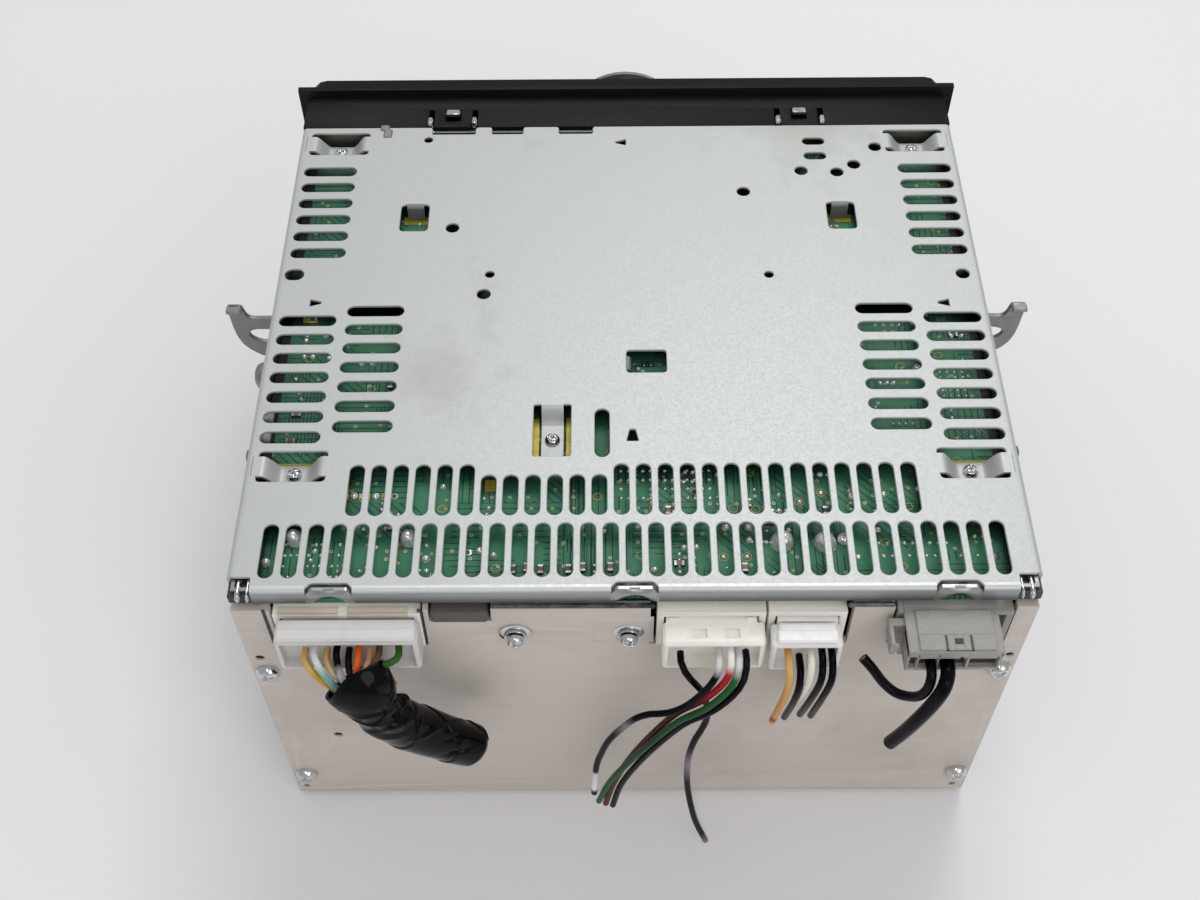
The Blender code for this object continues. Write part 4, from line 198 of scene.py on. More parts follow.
def mix(tree, factor, one, two):
    """A colour between one and two, by the factor."""
    node = tree.nodes.new("ShaderNodeMix")
    node.data_type = "RGBA"
    for index, value in ((0, factor), (6, one), (7, two)):
        if isinstance(value, bpy.types.NodeSocket):
            tree.links.new(value, node.inputs[index])
        else:
            node.inputs[index].default_value = value
    return node.outputs[2]


def remap(tree, value, low, high, to_low=0.0, to_high=1.0):
    """A value's range stretched smoothly to another range."""
    node = add(tree, "MapRange", value, low, high, to_low, to_high, interpolation_type="SMOOTHSTEP")
    return node.outputs[0]


def operation(kind):
    return lambda tree, one, two=0.0: add(tree, "Math", one, two, operation=kind).outputs[0]


times, plus, minus, raised, more_than, less_than, larger, fraction, absolute, root = map(operation, (
    "MULTIPLY", "ADD", "SUBTRACT", "POWER", "GREATER_THAN", "LESS_THAN", "MAXIMUM", "FRACT", "ABSOLUTE",
    "SQRT"))


def object_axis(tree, index):
    """The shaded point's own x, y or z in the object."""
    return add(tree, "SeparateXYZ", add(tree, "TexCoord").outputs["Object"]).outputs[index]


def colour(red, green, blue):
    """A display colour from 0 to 255 as the light that it stands for, by the usual 2.2 power."""
    return tuple((c / 255) ** 2.2 for c in (red, green, blue)) + (1.0,)


# %% [markdown]
# ## Effects that several finishes share
# Real surfaces are never one colour. Cloudy stains, a fine grain and long scratches come back in nearly
# every finish here, so each is a node group with named inputs, built once and placed many times.

# %% Shared effects
def new_group(name, inputs, outputs):
    """An empty node group with its sockets. Each input is a name and its default number."""
    tree = bpy.data.node_groups.new(name, "ShaderNodeTree")
    for label, value in inputs:
        socket = tree.interface.new_socket(label, in_out="INPUT", socket_type="NodeSocketFloat")
        socket.default_value = value
    for label in outputs:
        tree.interface.new_socket(label, in_out="OUTPUT", socket_type="NodeSocketFloat")
    return tree, tree.nodes.new("NodeGroupInput").outputs, tree.nodes.new("NodeGroupOutput").inputs


def build_clouds():
    """Soft stains: a slow noise pulled to a mask, with a finer noise inside it."""
    tree, given, out = new_group("cloudy_stains", [("Scale", 30.0), ("Share", 0.5)], ["Mask"])
    place = add(tree, "TexCoord").outputs["Object"]
    slow = add(tree, "TexNoise", place, None, given["Scale"], 4.0, 0.55).outputs[0]
    fine_scale = times(tree, given["Scale"], 9.0)
    fine = add(tree, "TexNoise", place, None, fine_scale, 3.0, 0.6).outputs[0]
    both = plus(tree, times(tree, slow, 0.8), times(tree, fine, 0.2))
    start = minus(tree, 0.72, times(tree, given["Share"], 0.4))
    node = add(tree, "MapRange", both, start, plus(tree, start, 0.22), 0.0, 1.0)
    tree.links.new(node.outputs[0], out["Mask"])
    return tree


def build_grain():
    """Streaks along one axis: a noise read at a place that is squeezed by a stretch for each axis."""
    tree, given, out = new_group(
        "streaked_grain", [("Across X", 60.0), ("Across Y", 60.0), ("Across Z", 60.0)], ["Value"])
    place = add(tree, "TexCoord").outputs["Object"]
    stretch = add(tree, "CombineXYZ", given["Across X"], given["Across Y"], given["Across Z"]).outputs[0]
    squeezed = add(tree, "VectorMath", place, stretch, operation="MULTIPLY").outputs[0]
    value = add(tree, "TexNoise", squeezed, None, 1.0, 5.0, 0.65).outputs[0]
    tree.links.new(value, out["Value"])
    return tree


def build_scratches():
    """Hair lines: cell borders of a stretched, bent cell pattern, kept where a slow noise is high."""
    tree, given, out = new_group("hair_scratches", [("Scale", 40.0), ("Width", 0.01), ("Share", 0.5)], ["Mask"])
    place = add(tree, "TexCoord").outputs["Object"]
    bend = add(tree, "TexNoise", place, None, 14.0, 2.0, 0.5).outputs[1]
    bent = add(tree, "VectorMath", add(tree, "VectorMath", bend, (0.05,) * 3, operation="MULTIPLY").outputs[0],
               place, operation="ADD").outputs[0]
    turned = add(tree, "Mapping", bent, None, (0.3, 0.2, 0.7), (1.0, 0.22, 1.0)).outputs[0]
    cells = add(tree, "TexVoronoi", turned, None, given["Scale"], feature="DISTANCE_TO_EDGE").outputs[0]
    line = less_than(tree, cells, given["Width"])
    keep = add(tree, "TexNoise", place, None, 26.0, 2.0, 0.5).outputs[0]
    start = minus(tree, 0.75, times(tree, given["Share"], 0.4))
    kept = add(tree, "MapRange", keep, start, plus(tree, start, 0.08), 0.0, 1.0).outputs[0]
    tree.links.new(times(tree, line, kept), out["Mask"])
    return tree


CLOUDS = build_clouds()
GRAIN = build_grain()
SCRATCHES = build_scratches()
print("shared effects", [g.name for g in bpy.data.node_groups])


def effect(tree, group, *values):
    """Places a shared effect in a material, with its own numbers, and gives its first output."""
    node = tree.nodes.new("ShaderNodeGroup")
    node.node_tree = group
    for socket, value in zip(node.inputs, values):
        socket.default_value = value
    return node.outputs[0]


# %% [markdown]
# ## Finishes
# Every finish below starts from one shader with its plain numbers, and then links a colour, a roughness
# and a bump that change over the surface. Most differ only in a few numbers, so one recipe makes them:
# a base colour, a stain colour, a grain and scratches.

# %% The recipe for a worn finish
def shader_of(name, **plain):
    """A new material, its tree and its shader, with plain numbers on the shader's own sockets."""
    material = bpy.data.materials.new(name)
    material.use_nodes = True
    shader = material.node_tree.nodes["Principled BSDF"]
    for label, value in plain.items():
        shader.inputs[label.replace("_", " ")].default_value = value
    FINISH[name] = material
    return material.node_tree, shader


def bump(tree, shader, height, strength, distance):
    node = add(tree, "Bump", strength, distance)
    tree.links.new(height, node.inputs["Height"])
    tree.links.new(node.outputs[0], shader.inputs["Normal"])


def worn(name, base, stain, rough=(0.4, 0.6), metal=0.0, clouds=(30.0, 0.5), grain=300.0,
         grain_share=0.1, scratches=(40.0, 0.01, 0.3), scratch_tone=None, relief=0.1, **plain):
    """Base colour, stained by clouds, toned by grain and scratched; grain also makes roughness and relief.
    Colours go from 0 to 255, and the grain's fineness is one number or one for each axis."""
    tree, shader = shader_of(name, Metallic=metal, **plain)
    base, stain = colour(*base), colour(*stain)
    cloud = effect(tree, CLOUDS, *clouds)
    streak = effect(tree, GRAIN, *np.broadcast_to(grain, 3).tolist())
    toned = mix(tree, remap(tree, streak, 0.3, 0.7, 0.0, grain_share), mix(tree, cloud, base, stain), stain)
    if scratch_tone:
        toned = mix(tree, effect(tree, SCRATCHES, *scratches), toned, colour(*scratch_tone))
    tree.links.new(toned, shader.inputs["Base Color"])
    tree.links.new(remap(tree, streak, 0.3, 0.7, *rough), shader.inputs["Roughness"])
    bump(tree, shader, streak, relief, 0.0002)


def reopened(name):
    """A made finish's tree, shader and colour, for what it needs beyond the recipe."""
    tree = FINISH[name].node_tree
    shader = tree.nodes["Principled BSDF"]
    return tree, shader, shader.inputs["Base Color"].links[0].from_socket


# %% [markdown]
# ## Metals
# The covers are zinc coated steel, a cool grey-green with a cloudy bloom. The thick rear plate is
# brushed aluminium, warmer and brighter, with its grain along the width. Screws and rods are polished.
# The knob's paint is silver over the part that shows behind the faceplate's edge and black elsewhere.

# %% Metal finishes
worn("zinc_sheet", (189, 193, 192), (166, 168, 161), rough=(0.46, 0.54), metal=0.42,
     clouds=(16.0, 0.48), grain=1600.0, grain_share=0.15,
     scratches=(34.0, 0.004, 0.12), scratch_tone=(206, 210, 208), relief=0.02)
worn("brushed_aluminium", (209, 201, 194), (190, 181, 173), rough=(0.54, 0.66), metal=0.32,
     clouds=(18.0, 0.5), grain=(14.0, 800.0, 900.0), grain_share=0.18,
     scratches=(60.0, 0.006, 0.08), scratch_tone=(226, 218, 212), relief=0.015)
worn("bare_steel", (160, 160, 158), (132, 131, 128), rough=(0.32, 0.5), metal=0.9,
     clouds=(40.0, 0.4), grain=(200.0, 900.0, 300.0), grain_share=0.35, relief=0.05)
worn("bright_steel", (214, 215, 216), (180, 181, 181), rough=(0.12, 0.24), metal=1.0,
     clouds=(160.0, 0.4), grain=900.0, grain_share=0.2, relief=0.03)
worn("bracket_steel", (148, 149, 151), (126, 127, 130), rough=(0.4, 0.55), metal=0.75,
     clouds=(60.0, 0.5), grain=(400.0, 900.0, 900.0), grain_share=0.35,
     scratches=(60.0, 0.01, 0.4), scratch_tone=(190, 188, 184), relief=0.05)
worn("knob_paint", (150, 150, 152), (132, 132, 135), rough=(0.3, 0.42), metal=0.5,
     grain=1200.0, grain_share=0.4, relief=0.03)
KNOB_SEAM = 0.1003
tree, shader, silver = reopened("knob_paint")
rim = more_than(tree, object_axis(tree, 1), KNOB_SEAM)
tree.links.new(mix(tree, rim, colour(24, 21, 26), silver), shader.inputs["Base Color"])
tree.links.new(times(tree, rim, 0.5), shader.inputs["Metallic"])
print("metals ready")

# %% [markdown]
# ## Plastics and rubber
# The faceplate is black with a fine moulded texture. The plugs are unfilled nylon, which lets a little
# light into itself, so it has some subsurface. The grey plug is filled and quite matt.

# %% Plastic finishes
worn("black_plastic", (24, 21, 26), (19, 16, 20), rough=(0.45, 0.6), Specular_IOR_Level=0.2, clouds=(60.0, 0.4),
     grain=2200.0, grain_share=0.5, relief=0.35, IOR=1.5,
     scratches=(50.0, 0.004, 0.1), scratch_tone=(52, 51, 54))
worn("ivory_plastic", (240, 237, 230), (226, 220, 207), rough=(0.3, 0.45), clouds=(90.0, 0.35),
     grain=700.0, grain_share=0.2, relief=0.05, Subsurface_Weight=0.05,
     Subsurface_Scale=0.0005)
worn("cloudy_plastic", (208, 207, 205), (194, 190, 182), rough=(0.3, 0.45), clouds=(120.0, 0.4))
worn("milky_plastic", (236, 235, 234), (224, 221, 214), rough=(0.25, 0.4), clouds=(120.0, 0.3),
     grain=600.0, grain_share=0.2, relief=0.05, Subsurface_Weight=0.08,
     Subsurface_Scale=0.0005)
worn("grey_plastic", (154, 152, 147), (138, 135, 129), rough=(0.45, 0.6), clouds=(80.0, 0.4),
     grain=1500.0, grain_share=0.3, relief=0.12,
     scratches=(90.0, 0.012, 0.3), scratch_tone=(176, 173, 168))
worn("dull_plastic", (94, 86, 86), (80, 73, 73), rough=(0.45, 0.6), clouds=(120.0, 0.4),
     grain=(900.0, 2400.0, 2400.0), grain_share=0.4, relief=0.12)
worn("dark_plastic", (52, 51, 52), (38, 37, 38), rough=(0.35, 0.55), clouds=(90.0, 0.4),
     grain=1200.0, grain_share=0.4, relief=0.12)
worn("rubber", (38, 37, 38), (52, 50, 50), rough=(0.65, 0.85), clouds=(90.0, 0.4),
     grain=1800.0, grain_share=0.5, relief=0.2)
worn("smoked_window", (12, 13, 16), (18, 19, 22), rough=(0.06, 0.12), clouds=(40.0, 0.2),
     grain=400.0, grain_share=0.2, relief=0.01, Coat_Weight=1.0, Coat_Roughness=0.04)
print("plastics ready")

# %% [markdown]
# ## Cut wires
# A wire is a circle carried along a route. The route is a few listed points; a smooth curve goes
# through all of them and is cut into even steps. The insulation is stained along its length where glue
# and tape were pulled off, so its colour follows the distance from the plug, kept as a UV map.

# %% Routes and tubes
ROUTE_STEPS = 36
AROUND = 16
SIDEWAYS = np.array([1.0, 0.0, 0.0])


def tenths(*points):
    """Points that are written in tenths of a millimetre."""
    return np.array(points) * 0.1 * MM


def unit(vectors):
    return vectors / np.linalg.norm(vectors, axis=-1, keepdims=True)


def smooth_route(points, steps=ROUTE_STEPS):
    """A curve through the points, each stretch a cubic that leaves a point along its neighbours' chord;
    then points at even distances along it. Returns the points and the length."""
    held = np.vstack([2 * points[0] - points[1], points, 2 * points[-1] - points[-2]])
    t = np.linspace(0, 1, 20, endpoint=False)[:, None]
    a, b, c, d = (held[k:len(held) - 3 + k, None] for k in range(4))
    cubic = b + 0.5 * t * (c - a + t * (2 * a - 5 * b + 4 * c - d + t * (3 * (b - c) + d - a)))
    line = np.vstack([cubic.reshape(-1, 3), points[-1:]])
    run = np.concatenate([[0], np.cumsum(np.linalg.norm(np.diff(line, axis=0), axis=1))])
    even = np.linspace(0, run[-1], steps)
    return np.stack([np.interp(even, run, line[:, k]) for k in range(3)], -1), run[-1]


def carried(path, radii, angles, stretch=1.0):
    """A circle carried along a path: each ring has two directions square to the path, the first square
    to +X as well, and point = centre + radius * (cos a * first * stretch + sin a * second)."""
    along = unit(np.gradient(path, axis=0))
    first = unit(np.cross(along, SIDEWAYS))
    second = np.cross(along, first)
    cos, sin = (f(angles)[None, :, None] for f in (np.cos, np.sin))
    ring = cos * first[:, None] + stretch * sin * second[:, None]
    return path[:, None] + radii[..., None] * ring


def wire(name, route, diameter, stops, cad_wires, steps=ROUTE_STEPS):
    """One insulated wire: a round tube with flat cut ends, its UV running from 0 at the plug to 1."""
    path, length = smooth_route(route, steps)
    angles = np.linspace(0, 2 * math.pi, AROUND + 1)
    radii = np.full((steps, AROUND + 1), diameter / 2)
    grid = closed(carried(path, radii, angles), path[0], path[-1])
    u = np.concatenate([[0], np.linspace(0, 1, steps), [2]])
    uv = together(u[:, None], angles[None] / math.pi)
    obj = surface(name, [grid], wire_finish(name, stops, length),
                  replaces=[cad_wires], uvs=[uv])
    print(name, round(length / MM, 1), "mm long")


# %% [markdown]
# The wire's finish reads the first UV number. A colour ramp turns it into the insulation's colour and
# its stains, and past 1, on the cut end, a bright disc of copper strands shows.

# %% Wire finish
COPPER = colour(186, 122, 84)
COPPER_SHARE = 1.45


def wire_finish(name, stops, length):
    """Insulation whose colours stand at the given distances in millimetres from the plug."""
    tree, shader = shader_of(name + "_cover", Coat_Weight=0.06, Coat_Roughness=0.06, Specular_IOR_Level=0.08)
    along = add(tree, "SeparateXYZ", add(tree, "UVMap", uv_map="along").outputs[0]).outputs[0]
    ramp = add(tree, "ValToRGB", along)
    ramp.color_ramp.elements.remove(ramp.color_ramp.elements[0])
    for index, (distance, shade) in enumerate(stops):
        place = min(distance * MM / length, 1.0)
        element = ramp.color_ramp.elements[0] if index == 0 else ramp.color_ramp.elements.new(place)
        element.position = place
        element.color = shade
    smear = effect(tree, CLOUDS, 260.0, 0.15)
    dirty = mix(tree, times(tree, smear, 0.07), ramp.outputs[0], colour(120, 116, 110))
    core = more_than(tree, along, COPPER_SHARE)
    tree.links.new(mix(tree, core, dirty, COPPER), shader.inputs["Base Color"])
    tree.links.new(core, shader.inputs["Metallic"])
    tree.links.new(remap(tree, smear, 0.0, 1.0, 0.28, 0.5), shader.inputs["Roughness"])
    bump(tree, shader, effect(tree, GRAIN, 900.0, 900.0, 900.0), 0.06, 0.0002)
    return name + "_cover"


# %% [markdown]
# The colours were matched to the photograph. Each has a name, because most wires wear several of
# them one after another.

# %% Colours of insulation
BLACK = colour(11, 8, 16)
SOOT = colour(27, 23, 32)
GREY = colour(128, 124, 128)
PALE = colour(206, 206, 204)
WHITE = colour(226, 226, 222)
CREAM = colour(222, 214, 196)
RED = colour(172, 38, 44)
RUST = colour(78, 38, 38)
GREEN = colour(42, 92, 52)
DEEP_GREEN = colour(32, 66, 44)
AMBER = colour(204, 146, 62)
TAN = colour(204, 168, 108)

# %% [markdown]
# The second plug keeps a single looped wire, a bundle of three whose red wire passes behind the green
# one, and one that hangs straight down. Both ends of each show, so the shown length is the real length.

# %% Wires of the audio plug
THIN, SHORT, AERIAL, POWER = 0.00158, 0.00166, 0.0023, 0.0033
CURVED_ROUTE = tenths(
    (186, -816, 868), (186, -850, 872), (181, -878, 866), (163, -892, 832), (142, -896, 795),
    (112, -898, 750), (74, -896, 716), (36, -890, 700), (2, -885, 667), (-33, -880, 600), (-60, -875, 530),
    (-76, -871, 458), (-86, -870, 406), (-91, -870, 341), (-95, -870, 234))
BUNDLE_ROUTE = tenths(
    (228, -816, 868), (229, -850, 872), (224, -885, 862), (206, -903, 823), (166, -912, 762),
    (109, -906, 687), (52, -895, 560), (0, -880, 415), (-41, -870, 284), (-66, -865, 158))
DROP_ROUTE = tenths(
    (102, -816, 852), (103, -846, 853), (118, -864, 830), (151, -868, 767), (164, -870, 712),
    (169, -870, 645), (160, -873, 593), (145, -876, 540), (134, -880, 470), (132, -884, 400),
    (135, -890, 325), (146, -898, 231), (164, -906, 131), (193, -913, 30))
BUNDLE_PITCH = np.array([0.0018, 0.0, -0.0011])


def beside(points, sides, dip=0.0):
    """A route moved sideways by so many pitches, which change from the plug to the cut as the table
    sides says, with a dip towards the plate, so that one wire can pass behind another."""
    run = np.linspace(0, 1, len(points))[:, None]
    side = np.interp(run, np.linspace(0, 1, len(sides)), sides)
    hump = dip * np.sin(math.pi * np.clip((run - 0.15) / 0.75, 0, 1)) * np.array([0.0, 1.0, 0.0])
    return points + side * BUNDLE_PITCH + hump


for name, route, stops in (
        ("looped_wire", CURVED_ROUTE,
         [(0, PALE), (5, PALE), (7.5, BLACK), (34, BLACK), (38, GREY), (44, SOOT), (50, BLACK), (66, BLACK),
          (67.5, PALE), (76, WHITE), (77.5, BLACK)]),
        ("red_wire", beside(BUNDLE_ROUTE, (-1, -1, -0.85, -0.7, -0.6, -0.6, -0.4, 0), 0.0022),
         [(0, WHITE), (5, WHITE), (7, RED), (15, RED), (22, RUST), (62, RUST)]),
        ("green_wire", beside(BUNDLE_ROUTE, (0, 0, -0.2, -0.45, -0.55, -0.6, -0.8, -1)),
         [(0, PALE), (5, PALE), (8, GREEN), (40, DEEP_GREEN), (84, GREEN), (87, CREAM)]),
        ("black_wire", beside(BUNDLE_ROUTE, (1, 0.95, 0.75, 0.5, 0.3, 0.3, 0.6, 1)),
         [(0, SOOT), (20, BLACK), (34, SOOT), (60, BLACK)]),
        ("hanging_wire", DROP_ROUTE,
         [(0, BLACK), (22, BLACK), (40, SOOT), (48, GREY), (56, SOOT), (62, BLACK), (84, SOOT), (92, GREY)])):
    wire(name, route, THIN, stops, "audio_wires")

# %% [markdown]
# The third plug has five short stubs, and the grey plug has a thin curled lead and a thick one.

# %% Wires of the control plug and of the aerial plug
SHORT_ROUTES = [tenths(*route) for route in (
    ((338, -816, 868), (338, -860, 869), (339, -884, 838), (335, -882, 760), (326, -846, 575)),
    ((366, -816, 836), (366, -858, 838), (364, -880, 805), (360, -874, 726), (356, -834, 573)),
    ((388, -816, 872), (387, -858, 874), (383, -882, 842), (376, -868, 748), (371, -822, 612)),
    ((412, -816, 872), (411, -860, 874), (407, -886, 842), (397, -876, 742), (391, -834, 587)),
    ((434, -816, 868), (433, -860, 872), (430, -886, 842), (421, -876, 742), (417, -834, 580)))]
AERIAL_ROUTE = tenths(
    (644, -855, 880), (644, -878, 882), (643, -896, 870), (639, -904, 840), (629, -900, 802),
    (612, -884, 768), (587, -866, 752), (559, -849, 768), (532, -832, 802), (510, -816, 822))
POWER_ROUTE = tenths(
    (680, -855, 880), (678, -890, 884), (668, -918, 868), (653, -926, 815), (631, -925, 735),
    (613, -917, 658), (594, -907, 585))
SHORT_COLOURS = (
    ("amber_wire", [(0, AMBER), (6, TAN), (16, AMBER), (30, AMBER), (32, RUST), (34, AMBER)]),
    ("stub_wire_2", [(0, BLACK), (30, BLACK)]),
    ("cream_wire", [(0, CREAM), (20, WHITE), (30, CREAM)]),
    ("stub_wire_4", [(0, BLACK), (30, BLACK), (33, SOOT)]),
    ("stub_wire_5", [(0, BLACK), (30, BLACK)]),
)
for (name, stops), route in zip(SHORT_COLOURS, SHORT_ROUTES):
    wire(name, route, SHORT, stops, "control_wires", 24)
wire("curled_lead", AERIAL_ROUTE, AERIAL, [(0, BLACK), (20, SOOT), (30, BLACK)],
     "aerial_wires")
wire("thick_lead", POWER_ROUTE, POWER, [(0, BLACK), (20, BLACK), (36, SOOT)],
     "aerial_wires", 30)

# %% [markdown]
# ## The taped harness
# Nine wires fan out of the large plug and run into a stub of glossy black tape, where they end. Tape is
# wound in a helix, so its surface steps down at each turn, and it was squeezed by hand, so it creases.
# Both are heights added to the radius of a tube: a saw tooth on distance plus angle, and narrow ridges.

# %% Tape
TAPE_ROUTE = tenths(
    (-613, -876, 838), (-595, -891, 808), (-572, -896, 736), (-549, -890, 686), (-520, -885, 643),
    (-478, -880, 594), (-426, -874, 542), (-374, -868, 492))
TAPE_RUN = (0.0, 0.0035, 0.0085, 0.0112, 0.0122, 0.0150, 0.0300, 0.0420)
TAPE_WIDE = (0.0080, 0.0072, 0.0054, 0.0050, 0.0057, 0.0060, 0.0059, 0.0056)
TAPE_DEEP = (0.0052, 0.0050, 0.0046, 0.0045, 0.0050, 0.0052, 0.0052, 0.0048)
WRAP_PITCH, WRAP_STEP = 0.0135, 0.00042
CREASES, CREASE_HEIGHT, CREASE_WIDTH = 46, 0.00062, 0.00060
MOUTH_LIFT, MOUTH_REACH = 0.0044, 0.011
HOLLOW_STEPS, PRESSED = 16, 0.0016


def build_tape():
    """Half widths that follow a table along the route, plus a saw tooth for each turn of tape and a
    seeded set of creases, each a narrow ridge with a slow bend across the surface. At the mouth the
    surface turns inside, and at the cut end it is pressed shut."""
    steps, around = 190, 128
    path, length = smooth_route(TAPE_ROUTE, steps)
    angles = np.linspace(0, 2 * math.pi, around + 1)
    s = np.linspace(0, length, steps)[:, None]
    a = angles[None]
    deep = np.interp(s, TAPE_RUN, TAPE_DEEP)
    wide = np.interp(s, TAPE_RUN, TAPE_WIDE)
    turns = (s / WRAP_PITCH + np.sin(a / 2) ** 2 * 0.9 + 0.35) % 1.0
    edge = np.clip(turns / 0.03, 0, 1) * (1 - 0.8 * turns)
    height = WRAP_STEP * edge * np.clip(s / 0.004, 0, 1)
    rng = np.random.default_rng(11)
    for _ in range(CREASES):
        place, middle = rng.uniform(0.003, length), rng.uniform(0, 2 * math.pi)
        tilt, size = rng.uniform(-0.3, 1.3), rng.uniform(-CREASE_HEIGHT, CREASE_HEIGHT)
        apart = wide * np.arctan2(np.sin(a - middle), np.cos(a - middle))
        across = (s - place) * math.cos(tilt) + apart * math.sin(tilt) + 40 * apart ** 2 * rng.uniform(-1, 1)
        along = apart * math.cos(tilt) - (s - place) * math.sin(tilt)
        fade = (along / rng.uniform(0.002, 0.006)) ** 2
        height = height + size * np.exp(-np.abs(across / CREASE_WIDTH) ** 1.3 - fade)
    twist = 0.0007 * np.exp(-((s - 0.0135) / 0.0035) ** 2) * np.sin(5 * a + s * 900) * (1 - np.cos(a - 1.2)) / 2
    cut = np.clip((length - s) / PRESSED, 0, 1) ** 0.5
    radii = (deep + height + twist) * (0.72 + 0.28 * cut)
    grid = carried(path, radii, angles, (wide / deep)[..., None])
    facing = np.clip(unit(grid[:1] - path[0]) @ unit(np.array(CAMERA_PLACE) - path[0]), 0, 1)[..., None]
    near_mouth = (np.clip(1 - s / MOUTH_REACH, 0, 1) ** 2)[..., None]
    grid = grid - unit(path[6] - path[0]) * MOUTH_LIFT * facing * near_mouth
    inner = path[0] + (grid[:1] - path[0]) * 0.9
    hollow = inner + (path[HOLLOW_STEPS] - path[0])
    whole = closed(np.concatenate([hollow, inner, grid]), path[HOLLOW_STEPS], path[-1])
    surface("harness_tape_wound", [whole], "black_tape", replaces=["harness_tape"], sharp=math.radians(55))
    return path


worn("black_tape", (4, 3, 6), (9, 8, 12), rough=(0.06, 0.12), Specular_IOR_Level=0.16,
     clouds=(120.0, 0.4), grain=500.0, grain_share=0.3, relief=0.06)
tape_path = build_tape()

# %% [markdown]
# The nine wires leave the plug in two rows, and each has its own place in the mouth of the tape, given as
# a share of the mouth's width and a layer in its depth. Inside the tape they go on to its far end.

# %% Nine wires into the tape
FAN = (
    ("yellow_wire", -0.0724, 0.0872, 0.86, -0.2, (TAN, colour(196, 160, 60))),
    ("blue_wire", -0.0700, 0.0890, 0.62, 0.3, (PALE, colour(120, 164, 160))),
    ("white_wire", -0.0676, 0.0872, 0.44, -0.3, (TAN, WHITE)),
    ("striped_wire", -0.0652, 0.0890, 0.27, 0.3, (BLACK, PALE)),
    ("purple_wire", -0.0628, 0.0872, 0.08, -0.3, (SOOT, colour(104, 70, 98))),
    ("orange_wire", -0.0604, 0.0890, -0.13, 0.2, [colour(206, 92, 40)] * 2),
    ("peach_wire", -0.0582, 0.0872, -0.36, -0.2, (colour(216, 168, 124), colour(214, 160, 116))),
    ("brown_wire", -0.0560, 0.0890, -0.55, 0.0, (colour(96, 66, 50), colour(92, 62, 46))),
    ("leaf_wire", -0.0518, 0.0884, -0.74, -0.6, (colour(56, 92, 40), colour(62, 98, 44))),
)
FAN_START_Y = -0.0814
FAN_LEAVE = 0.0030
mouth = tape_path[0]
inward = unit(tape_path[8] - mouth)
depth_way = unit(np.cross(inward, SIDEWAYS))
wide_way = np.cross(inward, depth_way)
room = np.array([TAPE_WIDE[0], TAPE_DEEP[0]]) * 0.9 - THIN / 2
for name, x, z, share, layer, shades in FAN:
    start = np.array([x, FAN_START_Y, z])
    leave = start - np.array([0.0, FAN_LEAVE, 0.0])
    offset = wide_way * room[0] * share + depth_way * room[1] * layer
    arrive = mouth + offset - inward * 0.0004
    rest = tape_path[[20, 52, 90, 130, 172]] + offset * np.array([0.82, 0.5, 0.5, 0.5, 0.45])[:, None]
    elbow = (leave * 0.55 + arrive * 0.45) + np.array([0.0, -0.0014, 0.0010])
    route = np.vstack([start, leave, elbow, arrive, rest])
    wire(name, route, THIN, [(0, shades[0]), (5, shades[0]), (8, shades[1]), (40, shades[1])],
         "harness_wires", 44)
print("harness done")

# %% [markdown]
# ## The lower cover
# The real cover is one sheet, punched, then folded. Punching rolls the sheet's edge into each hole, which
# is why every slot has a fine bright rim. A flat curve with a filled outline, a little thickness and a
# small round bevel gives exactly that rim, for well over a hundred holes in one go, so this piece is a
# curve that is turned into a mesh, and the folded edges are strips carried round a quarter circle.

# %% Outlines
def rounded(points, radius, steps=5):
    """A closed outline with each corner rounded: the corner's two cuts joined by a curved blend."""
    p = np.array(points, float)
    before, after = np.roll(p, 1, 0), np.roll(p, -1, 0)
    t = np.linspace(0, 1, steps)[None, :, None]
    start = p + unit(before - p) * radius
    end = p + unit(after - p) * radius
    blend = (1 - t) ** 2 * start[:, None] + 2 * t * (1 - t) * p[:, None] + t ** 2 * end[:, None]
    return blend.reshape(-1, 2)


def stadium(x, y, length, width, turned=False, steps=9):
    """A slot: two half circles of the slot's width, their centres apart by length less width."""
    a = np.linspace(-math.pi / 2, math.pi / 2, steps)
    reach = (length - width) / 2
    half = np.stack([reach + np.cos(a) * width / 2, np.sin(a) * width / 2], -1)
    whole = np.concatenate([half, -half])
    return (whole[:, ::-1] if turned else whole) + (x, y)


def box_outline(x0, y0, x1, y1):
    return [(x0, y0), (x1, y0), (x1, y1), (x0, y1)]


LEVEL = 0.999  # how far up or down a face's normal points, from where the face counts as level


def smooth(t):
    """0 below 0, 1 above 1, and a smooth S between: t * t * (3 - 2 t)."""
    t = np.clip(t, 0, 1)
    return t * t * (3 - 2 * t)


def applied(obj):
    """The mesh that a curve or an object with modifiers comes to."""
    return bpy.data.meshes.new_from_object(obj.evaluated_get(bpy.context.evaluated_depsgraph_get()))


